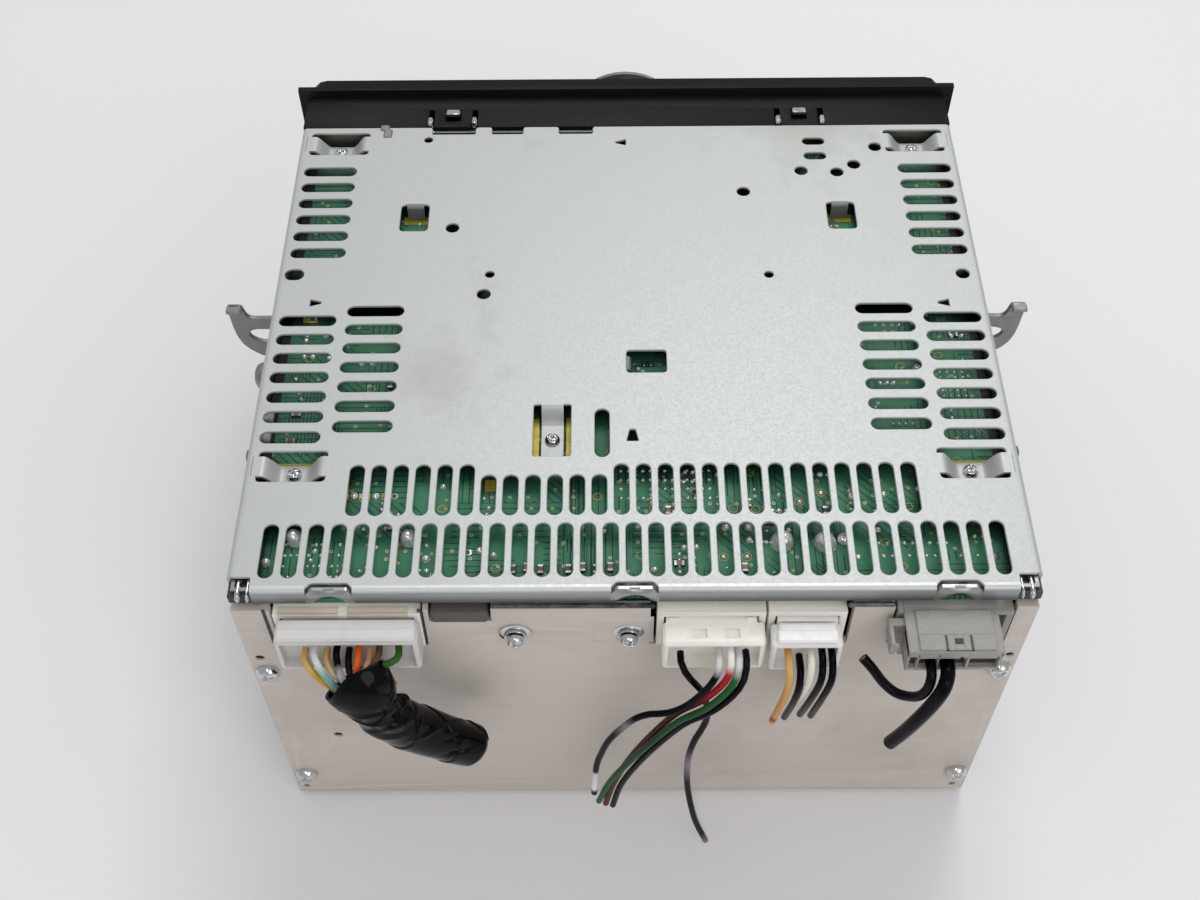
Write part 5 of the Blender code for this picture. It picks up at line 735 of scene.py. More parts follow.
def cut_sheet(name, outlines, high, thick, rim, finish, replaces=(), upright=False, under=None):
    """A filled flat curve: the first outline is the edge, the others are holes; rim rounds every edge.
    An upright sheet has its outline in x and z, and high is then how far its front is towards -y.
    under is the finish of the lower face, when that is another one."""
    curve = bpy.data.curves.new(name, "CURVE")
    curve.dimensions = "2D"
    curve.fill_mode = "BOTH"
    curve.extrude = thick / 2 - rim
    curve.bevel_depth = rim
    curve.bevel_resolution = 1
    for outline in outlines:
        spline = curve.splines.new("POLY")
        spline.points.add(len(outline) - 1)
        flat = np.zeros((len(outline), 4))
        flat[:, :2] = outline
        flat[:, 3] = 1
        spline.points.foreach_set("co", flat.ravel())
        spline.use_cyclic_u = True
    shape = placed(name + "_curve", curve)
    mesh = applied(shape)
    bpy.data.objects.remove(shape)
    mesh.transform(Matrix.Translation((0, 0, high - thick / 2)))
    if upright:
        mesh.transform(Matrix.Rotation(math.pi / 2, 4, "X"))
    mesh.name = name
    mesh.materials.clear()
    mesh.materials.append(FINISH[finish])
    obj = finish_mesh(placed(name, mesh), math.radians(50))
    normals = np.zeros(len(mesh.polygons) * 3)
    mesh.polygons.foreach_get("normal", normals)
    mesh.polygons.foreach_set("use_smooth", np.abs(normals[(1 if upright else 2)::3]) < LEVEL)
    if under:
        mesh.materials.append(FINISH[under])
        mesh.polygons.foreach_set("material_index", (normals[2::3] < -LEVEL).astype(int))
    return announce(obj, replaces)


# %% [markdown]
# The slots stand in even rows and banks, so loops place them from a first one and a pitch. The round
# holes, the windows and the steps of the front edge follow no rule, so they are short tables.

# %% Where the holes are
HALF, REAR, FRONT, TOP, SHEET = 0.0890, -0.0750, 0.0743, 0.1004, 0.0008
SLOT_LENGTH, SLOT_WIDTH = 0.0142, 0.00368
ROW_PITCH, BANK_PITCH = 0.00504, 0.00605
FOLD = 0.0011
DEPTH_HALF = 0.075
BRIDGES = (-0.0664, 0.0001, 0.0705)
BRIDGE_WIDTH = 0.0103
STRAPS = [(sx * 0.0782, y) for y in (-0.0411, 0.0681) for sx in (-1, 1)]
TONGUE_X, TONGUE_FRONT, TONGUE_LENGTH = -0.0186, -0.0233, 0.0153
WINDOWS = (-0.0558, 0.0558)
WINDOW_Y = 0.0394
RIM = 0.00018
NOTCH_WIDE, NOTCH_DEEP = 0.0055, 0.0041

slots = [stadium((k - 16) * ROW_PITCH, -0.0642, SLOT_LENGTH, SLOT_WIDTH, True) for k in range(33)]
for k in range(26):
    loss = 0.0030 if 6 <= k < 12 else 0.0
    slots.append(stadium((k - 12.5) * ROW_PITCH, -0.0479 - loss / 2, SLOT_LENGTH - loss, SLOT_WIDTH, True))
for x, first, count in ((0.0797, 0.0571, 6), (0.0797, 0.0036, 7), (0.0631, 0.0067, 7)):
    for k in range(count):
        for side in (-1, 1):
            slots.append(stadium(side * x, first - k * BANK_PITCH, SLOT_LENGTH, SLOT_WIDTH))
slots.append(stadium(-0.0069, -0.0318, SLOT_LENGTH, SLOT_WIDTH, True))
slots.append(stadium(-0.0849, 0.0193, 0.0050, 0.0038))
for length, width, places in (
        (0.0060, 0.0029, ((0.571, 0.907), (0.571, 0.829))),
        (0.0024, 0.0023, ((-0.396, 0.253), (0.398, 0.245), (-0.608, 0.927))),
        (0.0035, 0.0034, ((-0.513, 0.475), (-0.410, 0.163), (0.345, 0.647), (0.524, 0.752), (0.631, 0.744),
                          (0.685, 0.783), (0.757, 0.875), (0.948, 0.244)))):
    slots += [stadium(x * HALF, y * DEPTH_HALF, length, width) for x, y in places]
for x, y, way in ((-0.0784, 0.0096, 1), (0.0782, 0.0085, -1), (-0.0016, 0.0681, -1)):
    back, tip = x - way * 0.0014, x + way * 0.0014
    slots.append(rounded([(back, y - 0.0013), (tip, y - 0.0004), (tip, y + 0.0004), (back, y + 0.0013)], 0.0003))
slots.append(rounded([(-0.0013, -0.0343), (0.0017, -0.0343), (0.0009, -0.0308), (-0.0005, -0.0308)], 0.0005))

OPENINGS = [(x, WINDOW_Y, 0.00375, 0.0049, 0.0014) for x in WINDOWS]
OPENINGS.append((0.0039, -0.0101, 0.00485, 0.0036, 0.0011))
OPENINGS += [(x, y, 0.0080, 0.0044, 0.0013) for x, y in STRAPS]
OPENINGS.append((TONGUE_X, TONGUE_FRONT - TONGUE_LENGTH / 2, 0.0045, TONGUE_LENGTH / 2, 0.0008))
openings = [rounded(box_outline(x - wide, y - deep, x + wide, y + deep), corner)
            for x, y, wide, deep, corner in OPENINGS]

edge = [(-HALF + FOLD, REAR + NOTCH_DEEP), (-HALF + NOTCH_WIDE, REAR + NOTCH_DEEP),
        (-HALF + NOTCH_WIDE, REAR + FOLD)]
for x in BRIDGES:
    edge += [(x + far * BRIDGE_WIDTH / 2 + inward, REAR + y) for far, inward, y in (
        (-1, 0, FOLD), (-1, 0.0010, 0.0025), (1, -0.0010, 0.0025), (1, 0, FOLD))]
edge += [(HALF - NOTCH_WIDE, REAR + FOLD), (HALF - NOTCH_WIDE, REAR + NOTCH_DEEP),
         (HALF - FOLD, REAR + NOTCH_DEEP), (HALF - FOLD, FRONT)]
for left, right in ((-0.210, -0.102), (-0.416, -0.316), (-0.600, -0.463)):
    edge += [(x * HALF, FRONT - cut_back) for x, cut_back in (
        (right, 0), (right, 0.0028), (left, 0.0028), (left, 0))]
edge.append((-HALF + FOLD, FRONT))
widened = [hole + unit(hole - hole.mean(0)) * RIM for hole in map(np.array, slots + openings)]
# Painted shade: the lower face, which no light reaches, gets a near-black copy of the zinc.
worn("painted_shade_zinc", (30, 31, 33), (24, 25, 27), rough=(0.5, 0.6), clouds=(60.0, 0.4))
cover = cut_sheet("lower_cover", [rounded(edge, 0.0007)] + widened, TOP, SHEET, RIM, "zinc_sheet",
                  ["bottom_cover"], under="painted_shade_zinc")
print("lower cover", len(slots), "punched holes,", len(openings), "openings,",
      len(cover.data.polygons), "faces")

# %% [markdown]
# ## Folded edges, straps and tabs
# Everything that is bent from the cover is a strip of sheet: a line seen from the side, swept across a
# width and given the sheet's thickness below. The edges fold down through a quarter circle, the screw
# straps dip to the board in a smooth S at both ends, and the tabs curl down at one end only.

# %% Strips of sheet
def arc(radius, start, end, steps=7):
    a = np.radians(np.linspace(start, end, steps))
    return np.stack([np.cos(a), np.sin(a)], -1) * radius


def strip(line, low, high, thick=SHEET):
    """A sheet strip: the line's points are (run, height); each carries a rectangle from low to high
    across the run and thick deep, square to the line. Returns a grid of (across, run, height)."""
    line = np.array(line, float)
    along = unit(np.gradient(line, axis=0))
    square = np.stack([along[:, 1], -along[:, 0]], -1)
    below = line + square * thick
    corners = [(low, line), (high, line), (high, below), (low, below), (low, line)]
    ring = np.stack([np.concatenate([np.full((len(line), 1), x), p], -1) for x, p in corners], 1)
    return closed(ring, ring[0, :4].mean(0), ring[-1, :4].mean(0))


def swap(grid, axes, signs=(1, 1, 1)):
    return grid[..., list(axes)] * np.array(signs)


LIP = 0.0046
SIDE_DROP = 0.0060
LIFT = 0.00002
turn_down = arc(FOLD, 90, 0) + (HALF - FOLD, TOP - FOLD + LIFT)
side_line = np.vstack([[HALF - FOLD - 0.0006, TOP + LIFT], turn_down, [HALF, TOP - SIDE_DROP]])
sides = [swap(strip(side_line, REAR + NOTCH_DEEP, FRONT), (1, 0, 2), (s, 1, 1)) for s in (-1, 1)]
rear_down = arc(FOLD, 90, 0) + (-REAR - FOLD, TOP - FOLD + LIFT)
rear_line = np.vstack([[-REAR - FOLD - 0.0006, TOP + LIFT], rear_down, [-REAR, TOP - LIP]])
gaps = [NOTCH_WIDE - HALF] + [x + s * BRIDGE_WIDTH / 2 for x in BRIDGES for s in (-1, 1)] + [HALF - NOTCH_WIDE]
lips = [swap(strip(rear_line, a, b), (0, 1, 2), (1, -1, 1)) for a, b in zip(gaps[::2], gaps[1::2])]
surface("cover_folds", sides, "zinc_sheet")

# Painted light on the rear lips: a darker copy of the zinc for their shade, a bright band along the fold as a
# painted highlight, and painted shade that grows towards the lower edge.
worn("painted_light_folded_zinc", (168, 172, 172), (158, 161, 160), rough=(0.4, 0.5), metal=0.5,
     clouds=(40.0, 0.4), grain=900.0, grain_share=0.2, relief=0.03)
tree, shader, bare = reopened("painted_light_folded_zinc")
height_up = object_axis(tree, 2)
painted_fold_highlight = remap(tree, height_up, TOP - 0.0009, TOP - 0.0003, 0.0, 0.6)
painted_lower_shade = remap(tree, height_up, TOP - LIP, TOP - 0.0012, 0.95, 0.15)
shaded = mix(tree, painted_lower_shade, bare, colour(96, 97, 98))
tree.links.new(mix(tree, painted_fold_highlight, shaded, colour(232, 234, 234)), shader.inputs["Base Color"])
surface("cover_lips", lips, "painted_light_folded_zinc")


STRAP_DEPTH, STRAP_HALF, TONGUE_HALF, THIN_SHEET = 0.0038, 0.0028, 0.0026, 0.0006
TAB_HALF, TAB_SHEET = 0.0022, 0.0007
dips = []
for x, y in STRAPS:
    run = np.linspace(-0.0092, 0.0092, 47)
    height = TOP + LIFT - STRAP_DEPTH * smooth((0.0069 - np.abs(run)) / 0.0041)
    strap = strip(np.stack([run + x, height], -1), y - STRAP_HALF, y + STRAP_HALF, THIN_SHEET)
    dips.append(swap(strap, (1, 0, 2)))
run = np.linspace(0.0, 0.0150, 33)
height = TOP - STRAP_DEPTH * smooth((run - 0.0004) / 0.0036)
tongue = strip(np.stack([run - TONGUE_FRONT - 0.0003, height], -1),
               TONGUE_X - TONGUE_HALF, TONGUE_X + TONGUE_HALF, THIN_SHEET)
dips.append(swap(tongue, (0, 1, 2), (1, -1, 1)))
surface("cover_straps", dips, "zinc_sheet")

curl = np.vstack([[-0.0002, LIFT], arc(0.0008, 90, 8, 9) + (0.0004, LIFT - 0.0008), [0.0014, -0.0042]])
tabs = []
for x in WINDOWS:
    line = curl + (-(WINDOW_Y + 0.0049), TOP)
    tabs.append(swap(strip(line, x - TAB_HALF, x + TAB_HALF, TAB_SHEET), (0, 1, 2), (1, -1, 1)))
line = curl * (0.9, 1.0) + (-0.00095, TOP)
tabs.append(swap(strip(line, -0.0127, -0.0086, TAB_SHEET), (1, 0, 2)))
# Painted shade: the tabs, curled down into their windows, get a darker copy of the zinc.
worn("painted_shade_tab_zinc", (122, 126, 127), (108, 111, 112), rough=(0.5, 0.6), metal=0.5, clouds=(60.0, 0.4))
surface("cover_tabs", tabs, "painted_shade_tab_zinc")

# %% [markdown]
# The rear lip arches over three cut-outs. No single line can be swept to give such an arch, so its height
# and its lean are worked out for each point of a grid, across the width and down the lip.

# %% Rear bridges
def bridge(x):
    """The lip over a rear cut-out, pressed up into an arch. A flat topped bell over the width (1 in the
    middle, 0 at the ends) lifts the upper edge, leans it inwards and lifts the lower edge."""
    across = np.linspace(-1, 1, 41)[:, None]
    bell = smooth((1 - np.abs(across)) / 0.30)
    arch = np.cos(np.clip(across / 0.76, -1, 1) * math.pi / 2)
    down = np.linspace(0, 1, 11)[None]
    top = TOP - 0.0014 + 0.0011 * bell
    bottom = TOP - LIP + 0.0028 * arch
    z = top + (bottom - top) * down
    y = REAR - 0.00035 * np.sin(down * math.pi) * bell + 0.0006 * bell * (1 - down) ** 2
    outer = together(x + across * (BRIDGE_WIDTH / 2 + 0.0002), y, z)
    loop = doubled(outer, (0.0, 0.0008, 0.0))
    return closed(loop, loop[0].mean(0), loop[-1].mean(0))


# Painted shade: the arches get a darker copy of the zinc, which is also smoother and more metallic.
worn("painted_shade_pressed_zinc", (164, 167, 168), (150, 152, 153), rough=(0.28, 0.4), metal=0.85, clouds=(90.0, 0.4))
surface("cover_bridges", [bridge(x) for x in BRIDGES], "painted_shade_pressed_zinc")

# %% [markdown]
# ## Keeping a CAD shape, and softening its edges
# Plates, sockets and buttons already have the right form in the CAD model, but no real edge is perfectly
# sharp: a fine round catches the light. A CAD mesh must stay as it is, so a copy is merged, its flat
# triangles are dissolved into whole faces, and a Bevel modifier rounds every corner by a fraction of a
# millimetre. The copy then stands for the node and rides with the node's own body.

# %% Softened copies
BODY_OF = {node: body for body, nodes in frame["record"]["behaviour"]["bodies"].items() for node in nodes}


def softened(node, finish, width, slot=None):
    """A merged copy of a CAD node with rounded edges, which replaces the node."""
    obj = placed("fine_" + node, frame["nodes"][node].data.copy())
    merged(obj.data, lambda bm: bmesh.ops.dissolve_limit(
        bm, angle_limit=math.radians(1.0), verts=bm.verts, edges=bm.edges))
    obj.data.materials.clear()
    obj.data.materials.append(FINISH[finish])
    bevel = obj.modifiers.new("soft_edges", "BEVEL")
    bevel.width = width
    bevel.segments = 2
    bevel.limit_method = "ANGLE"
    bevel.angle_limit = math.radians(32)
    bevel.harden_normals = True
    obj.data.shade_smooth()
    announce(obj, [node], BODY_OF[node])


for row in (
        ("rear_heat_sink", "brushed_aluminium", 0.00015),
        ("power_socket", "ivory_plastic", 0.00025),
        ("audio_socket", "ivory_plastic", 0.00025),
        ("control_socket", "ivory_plastic", 0.00025),
        ("aerial_socket", "grey_plastic", 0.00025),
        ("power_plug", "cloudy_plastic", 0.0002, "ivory_plastic"),
        ("audio_plug", "ivory_plastic", 0.00025),
        ("control_plug", "milky_plastic", 0.0002, "ivory_plastic"),
        ("fuse_block", "dull_plastic", 0.0003, "dark_plastic"),
        ("front_bezel", "black_plastic", 0.0003),
        ("seek_rocker", "black_plastic", 0.0003),
        ("volume_knob", "knob_paint", 0.0003, "silver_paint"),
        ("knob_cap", "black_plastic", 0.0003),
        ("top_cover", "zinc_sheet", 0.0002),
        ("display_window", "smoked_window", 0.0003)):
    softened(*row)
for button in ["preset_button_%d" % k for k in range(1, 7)] + ["band_button", "disc_button", "eject_button"]:
    softened(button, "black_plastic", 0.0003)

# %% [markdown]
# The mounting brackets are hooks cut from sheet, so each is an outline with a window, in millimetres. The
# pieces inside keep their CAD meshes, and only their finishes change: plated steel, bright rods and
# motors, dark moulded parts and rubber.

# %% Brackets, and finishes for the pieces inside
HOOK = [(88.7, 81.6), (97.6, 81.5), (99.8, 81.6), (100.7, 82.4), (101.2, 83.8), (101.6, 86.0), (105.3, 86.0),
        (105.2, 84.6), (105.0, 81.6), (104.9, 78.2), (104.5, 74.8), (103.6, 71.8), (102.0, 69.4), (99.6, 67.3),
        (96.4, 65.6), (88.7, 63.2)]
WINDOW = [(91.6, 77.6), (98.9, 77.7), (100.5, 77.2), (101.4, 76.0), (101.3, 74.6), (100.3, 73.3), (98.6, 72.4),
          (96.6, 72.0), (91.6, 71.8)]
HOOK_FRONT, HOOK_THICK = 0.0211, 0.0012
HOOK_ROOT, HOOK_REACH = 0.0887, 0.010
for side, name, narrower in ((-1, "left_mount_bracket", 0.0), (1, "right_mount_bracket", 0.0011)):
    shapes = [rounded(np.array(line) * MM, 0.0007, 4) for line in (HOOK, WINDOW)]
    for shape in shapes:
        shape -= np.clip((shape[:, :1] - HOOK_ROOT) / HOOK_REACH, 0, 1) * (narrower, narrower * 0.8)
        shape[:, 0] *= side
    cut_sheet("fine_" + name, shapes, -HOOK_FRONT, HOOK_THICK, 0.0002, "bracket_steel", [name],
              upright=True)
INSIDE = {
    "bare_steel": ("chassis_frame", "deck_chassis", "deck_cover", "clamp_arm", "encoder_body"),
    "bright_steel": ("tuner_module", "spindle_motor", "guide_rod", "lead_screw", "sled_motor",
                     "encoder_plunger", "encoder_shaft"),
    "dark_plastic": ("amplifier_chip", "display_module", "turntable", "pickup_sled", "clamp_puck"),
    "rubber": ("loading_roller",),
}


def dress(nodes, finish):
    """Gives a finish to CAD nodes that keep their meshes."""
    for node in nodes:
        for held in frame["nodes"][node].material_slots:
            held.material = FINISH[finish]


for finish, nodes in INSIDE.items():
    dress(nodes, finish)
print("finishes for", sum(map(len, INSIDE.values())), "pieces inside")

# %% [markdown]
# ## Screws
# A pan head screw is a profile turned round its axis: a low dome with a rolled edge, and a washer below
# it. The cross recess is not round, so it is cut into the same grid: the height of each point is lowered
# where its sideways distance from one of two crossed lines is small.

# %% Screws
def turned_piece(profile, centre, ahead, up, sides=40):
    """Points (radius, height) of a profile turned about an axis: centre + radius * (cos a * side
    + sin a * up) + height * ahead."""
    centre, ahead, up = (np.array(v, float) for v in (centre, ahead, up))
    side = np.cross(up, ahead)
    a = np.linspace(0, 2 * math.pi, sides + 1)[None, :, None]
    radius, height = (np.array(profile, float)[:, k][:, None, None] for k in (0, 1))
    return centre + radius * (np.cos(a) * side + np.sin(a) * up) + height * ahead


def pan_head(centre, ahead, up, width, tall, spin=0.0, recess=0.0011):
    """A domed head whose height is tall * (1 - 0.75 * (r / R) ** 4), less a cross shaped recess."""
    centre, ahead, up = (np.array(v, float) for v in (centre, ahead, up))
    side = np.cross(up, ahead)
    r = np.concatenate([np.linspace(0, 0.62, 17), np.linspace(0.66, 0.97, 8), [1.0]])[:, None] * width / 2
    a = np.linspace(0, 2 * math.pi, 65)[None]
    x, y = r * np.cos(a), r * np.sin(a)
    u, v = x * math.cos(spin) + y * math.sin(spin), y * math.cos(spin) - x * math.sin(spin)
    arm, reach = width * 0.055, width * 0.29
    inside = [1 / (1 + np.exp((np.abs(p) - arm) / (width * 0.012)))
              / (1 + np.exp((np.abs(q) - reach) / (width * 0.014))) for p, q in ((u, v), (v, u))]
    cross = np.maximum(*inside) * (1.15 - r / (width / 2))
    height = tall * (1 - 0.75 * (r / (width / 2)) ** 4) - recess * cross
    dome = centre + x[..., None] * side + y[..., None] * up + height[..., None] * ahead
    skirt = [centre + (dome[-1] - centre) @ (np.eye(3) - np.outer(ahead, ahead))]
    base = np.broadcast_to(centre, (1,) + dome.shape[1:])
    return np.concatenate([dome, np.array(skirt), base])


OUT = (0.0, -1.0, 0.0)
UPWARD = (0.0, 0.0, 1.0)
PLATE_REAR = -0.0761
CORNER_X, SINK_Z = 0.0851, 0.0848
CORNERS = [(row, side, sx * CORNER_X, z) for row, z in (("upper", 0.0673), ("lower", 0.0120))
           for side, sx in (("left", -1), ("right", 1))]
for k, (row, side, x, z) in enumerate(CORNERS):
    name = "corner_screw_%s_%s" % (row, side)
    head = pan_head((x, PLATE_REAR - 0.00005, z), OUT, UPWARD, 0.0056, 0.0022, 0.3 + 0.7 * k)
    surface("fine_" + name, [head], "bright_steel", replaces=[name])
for k, (name, x) in enumerate((("heat_sink_screw_left", -0.0265), ("heat_sink_screw_right", -0.0012))):
    rings = [turned_piece(np.array(profile) * 0.01 * MM, (x, PLATE_REAR, SINK_Z), OUT, UPWARD) for profile in (
        [(190, 0), (360, 0), (365, 12), (360, 55), (340, 65), (190, 65), (190, 0)],
        [(150, 70), (240, 70), (250, 80), (250, 140), (240, 150), (150, 150), (150, 70)])]
    head = pan_head((x, PLATE_REAR - 0.0019, SINK_Z), OUT, UPWARD, 0.0041, 0.0017, 0.2 + k)
    surface("fine_" + name, rings + [head], "bright_steel", replaces=[name])
cover_screws = [pan_head((x, y, TOP - STRAP_DEPTH), UPWARD, (0, 1, 0), 0.0036, 0.0014, 0.5 + k, 0.0008)
                for k, (x, y) in enumerate(STRAPS + [(TONGUE_X, -0.03125)])]
surface("cover_screws", cover_screws, "bright_steel")
bolt = turned_piece([(0, 0), (0.0019, 0), (0.0019, 0.0030), (0.0034, 0.0031), (0.0035, 0.0036), (0.0030, 0.0047),
                     (0.0019, 0.0053), (0, 0.0055)], (-0.0887, -0.0030, 0.0870), (-1, 0, 0), UPWARD)
surface("fine_guide_bolt", [bolt], "bracket_steel", replaces=["guide_bolt"])
print("screws done")

# %% [markdown]
# ## Small blocks
# Chips, pads, latches and ledges are blocks with soft edges. Each is a stack of rectangles with rounded
# corners: a smaller one at the bottom, two full ones, a smaller one at the top.

# %% A block with soft edges
def block(low, high, soft=0.0002):
    """Rings at heights z0, z0 + soft, z1 - soft and z1, the first and last drawn in by soft, closed by
    a centre point below and above."""
    low, high = np.array(low, float), np.array(high, float)
    outline = rounded(box_outline(*low[:2], *high[:2]), soft * 1.6, 3)
    outline = np.vstack([outline, outline[:1]])
    centre, half = (low + high)[:2] / 2, (high - low)[:2] / 2
    inner = centre + (outline - centre) * (1 - soft / half)
    middle = np.broadcast_to(centre, outline.shape)
    rings = [(low[2], middle), (low[2], inner), (low[2] + soft, outline), (high[2] - soft, outline),
             (high[2], inner), (high[2], middle)]
    return np.stack([np.column_stack([p, np.full(len(p), z)]) for z, p in rings])


def blocks(name, boxes, finish, replaces=(), soft=0.0002):
    """One piece from boxes given as (x0, y0, z0, x1, y1, z1) in millimetres."""
    grids = [block(np.array(b[:3]) * MM, np.array(b[3:]) * MM, soft) for b in boxes]
    return surface(name, grids, finish, replaces=replaces)


# %% [markdown]
# ## The circuit board
# The board lies solder side up under the cover. Its green is a lacquer over copper, and the gaps between
# tracks are darker lines in it: square cells each choose a direction at random, and inside a cell the lines
# are fine and parallel. Small tinned holes and yellow printed rings sit on grids, again kept or dropped by a
# random number for each. The cover is only 4 mm above the board, so little light gets under it: as painted
# shade, the lacquer's colour darkens where a point sees less than about half of the sky. Past the board's
# seen edge and in the two slots that show black, the colour is painted near black as shade.

# %% Board finish
def chances(tree, place, scale):
    """Places counted in cells, so many to the metre, and a random number for each cell."""
    grid = add(tree, "VectorMath", place, operation="SCALE")
    tree.links.new(scale, grid.inputs["Scale"])
    cell = add(tree, "VectorMath", grid.outputs[0], operation="FLOOR").outputs[0]
    return grid.outputs[0], add(tree, "TexWhiteNoise", cell).outputs["Value"]


def build_tracks():
    """Parallel lines along x, y or the diagonal, the way being chosen by a random number per cell."""
    tree, given, out = new_group("board_tracks", [("Cells", 90.0), ("Lines", 700.0), ("Width", 0.2),
                                                  ("Gate", 0.47)], ["Mask"])
    place = add(tree, "TexCoord").outputs["Object"]
    chance = chances(tree, place, given["Cells"])[1]
    parts = add(tree, "SeparateXYZ", place).outputs
    diagonal = times(tree, plus(tree, parts[0], parts[1]), 0.7071)
    straight = add(tree, "Mix", more_than(tree, chance, 0.4), None, parts[0], parts[1]).outputs[0]
    across = add(tree, "Mix", more_than(tree, chance, 0.72), None, straight, diagonal).outputs[0]
    wave = fraction(tree, add(tree, "Math", across, given["Lines"], operation="MULTIPLY_ADD").outputs[0])
    line = less_than(tree, absolute(tree, minus(tree, wave, 0.5)), given["Width"])
    gate = add(tree, "TexNoise", place, None, 70.0, 1.0, 0.4).outputs[0]
    tree.links.new(times(tree, line, more_than(tree, gate, given["Gate"])), out["Mask"])
    return tree


def build_vias():
    """Rings on a square grid, or discs where the inner radius is below zero, each kept when its cell's
    random number is under the share."""
    tree, given, out = new_group("tinned_holes", [("Per metre", 500.0), ("Size", 0.22), ("Share", 0.2),
                                                  ("Inner", -1.0)], ["Mask"])
    grid, chance = chances(tree, add(tree, "TexCoord").outputs["Object"], given["Per metre"])
    parts = add(tree, "SeparateXYZ", add(tree, "VectorMath", grid, operation="FRACTION").outputs[0]).outputs
    legs = [raised(tree, minus(tree, p, 0.5), 2.0) for p in parts[:2]]
    apart = root(tree, plus(tree, *legs))
    disc = times(tree, less_than(tree, apart, given["Size"]), more_than(tree, apart, given["Inner"]))
    tree.links.new(times(tree, disc, less_than(tree, chance, given["Share"])), out["Mask"])
    return tree


TRACKS = build_tracks()
VIAS = build_vias()
BOARD_SEEN_HALF = 84.4
DARK_SLOT_X, DARK_SLOT_Y = 64.0, 12.0
SKY_REACH = 0.009
tree, shader = shader_of("circuit_board", Specular_IOR_Level=0.3)
lacquer = mix(tree, effect(tree, CLOUDS, 60.0, 0.5), colour(64, 134, 102), colour(82, 152, 118))
tracks = larger(tree, effect(tree, TRACKS, 62.0, 640.0, 0.08, 0.44),
                effect(tree, TRACKS, 41.0, 1150.0, 0.13, 0.62))
holed = mix(tree, tracks, lacquer, colour(22, 60, 48))
for numbers, shade in (((310.0, 0.33, 0.05, 0.25), (176, 164, 84)), ((410.0, 0.17, 0.07, 0.0), (188, 174, 96)),
                       ((480.0, 0.21, 0.12), (206, 204, 190)), ((480.0, 0.08, 0.12), (20, 22, 20))):
    holed = mix(tree, effect(tree, VIAS, *numbers), holed, colour(*shade))
# Painted shade: past the board's seen edge and in the two slots that show black, where there is only shade, the
# colour is near black.
from_middle = absolute(tree, object_axis(tree, 0))
off_middle = [absolute(tree, minus(tree, *pair)) for pair in (
    (object_axis(tree, 1), DARK_SLOT_Y * MM), (from_middle, DARK_SLOT_X * MM))]
opening = times(tree, less_than(tree, off_middle[0], 0.0034), less_than(tree, off_middle[1], 0.0110))
beyond = larger(tree, more_than(tree, from_middle, BOARD_SEEN_HALF * MM), opening)
# Painted shade: where the ambient occlusion sees little sky, the lacquer's colour is darkened.
seen_sky = add(tree, "AmbientOcclusion", None, SKY_REACH, samples=6).outputs["AO"]
lit = mix(tree, remap(tree, seen_sky, 0.30, 0.56, 0.0, 1.0), colour(16, 26, 24), holed)
tree.links.new(mix(tree, beyond, lit, colour(10, 10, 14)), shader.inputs["Base Color"])
grain = effect(tree, GRAIN, 200.0, 200.0, 200.0)
tree.links.new(remap(tree, grain, 0.3, 0.7, 0.45, 0.6), shader.inputs["Roughness"])
bump(tree, shader, tracks, 0.25, 0.0001)
dress(("main_board", "front_board"), "circuit_board")
print("board finish ready")

# %% [markdown]
# On the board stand solder joints, bare copper lands and small parts. The large ones are where they are
# seen through the slots; rows of small ones fill the rest from a seeded random number.

# %% Joints, lands and parts
BOARD = 95.7
worn("solder_tin", (240, 240, 238), (222, 222, 220), rough=(0.1, 0.2), metal=0.6, clouds=(400.0, 0.4))
JOINTS = [(-75.9, -58.2, 4.5, 3.0), (-50.3, -58.4, 4.4, 2.9), (-82.0, -64.5, 2.4, 1.5), (-46.3, -63.8, 2.2, 1.3),
          (-34.3, -61.5, 1.9, 0.9), (-31.2, -62.9, 1.7, 1.2), (-64.0, -46.5, 1.5, 0.6), (-59.0, -46.6, 1.5, 0.6),
          (-43.7, -43.9, 1.6, 0.9), (20.1, -63.5, 1.3, 0.6), (25.3, -63.5, 1.3, 0.6), (43.3, -46.1, 1.3, 0.5),
          (38.2, -48.6, 1.4, 0.6), (11.3, -61.0, 1.6, 1.0), (14.0, -61.0, 1.6, 1.0), (20.8, -55.7, 1.8, 1.1),
          (26.0, -55.7, 1.8, 1.1), (26.0, -59.0, 1.6, 0.9), (33.3, -59.6, 5.6, 3.2), (43.0, -59.8, 5.4, 3.1),
          (47.3, -58.8, 3.2, 1.4), (4.5, -66.8, 1.7, 0.8), (-66.1, -6.6, 1.7, 1.0), (-63.4, -6.6, 1.7, 1.0),
          (-75.7, 2.6, 1.8, 0.9), (70.0, -9.0, 2.2, 1.2), (79.8, -64.0, 2.2, 1.2), (66.0, -45.0, 1.8, 1.0),
          (50.4, -47.0, 2.2, 0.9), (57.5, -46.6, 1.7, 0.8)]


def joint(x, y, width, height, lean):
    """A solder joint, in millimetres: a bell of revolution, height * (1 - r ** 2.5) ** 0.75, whose tip is
    shifted by lean."""
    r = np.array([0.0, 0.25, 0.5, 0.7, 0.85, 1.0])[:, None]
    a = np.linspace(0, 2 * math.pi, 15)[None]
    rise = height * (1 - r ** 2.5) ** 0.75
    reach = r * width / 2
    return together(x + reach * np.cos(a) + lean * rise, y + reach * np.sin(a), BOARD + rise) * MM


rng = np.random.default_rng(3)
beads = [joint(*row, rng.uniform(-0.25, 0.25)) for row in JOINTS]


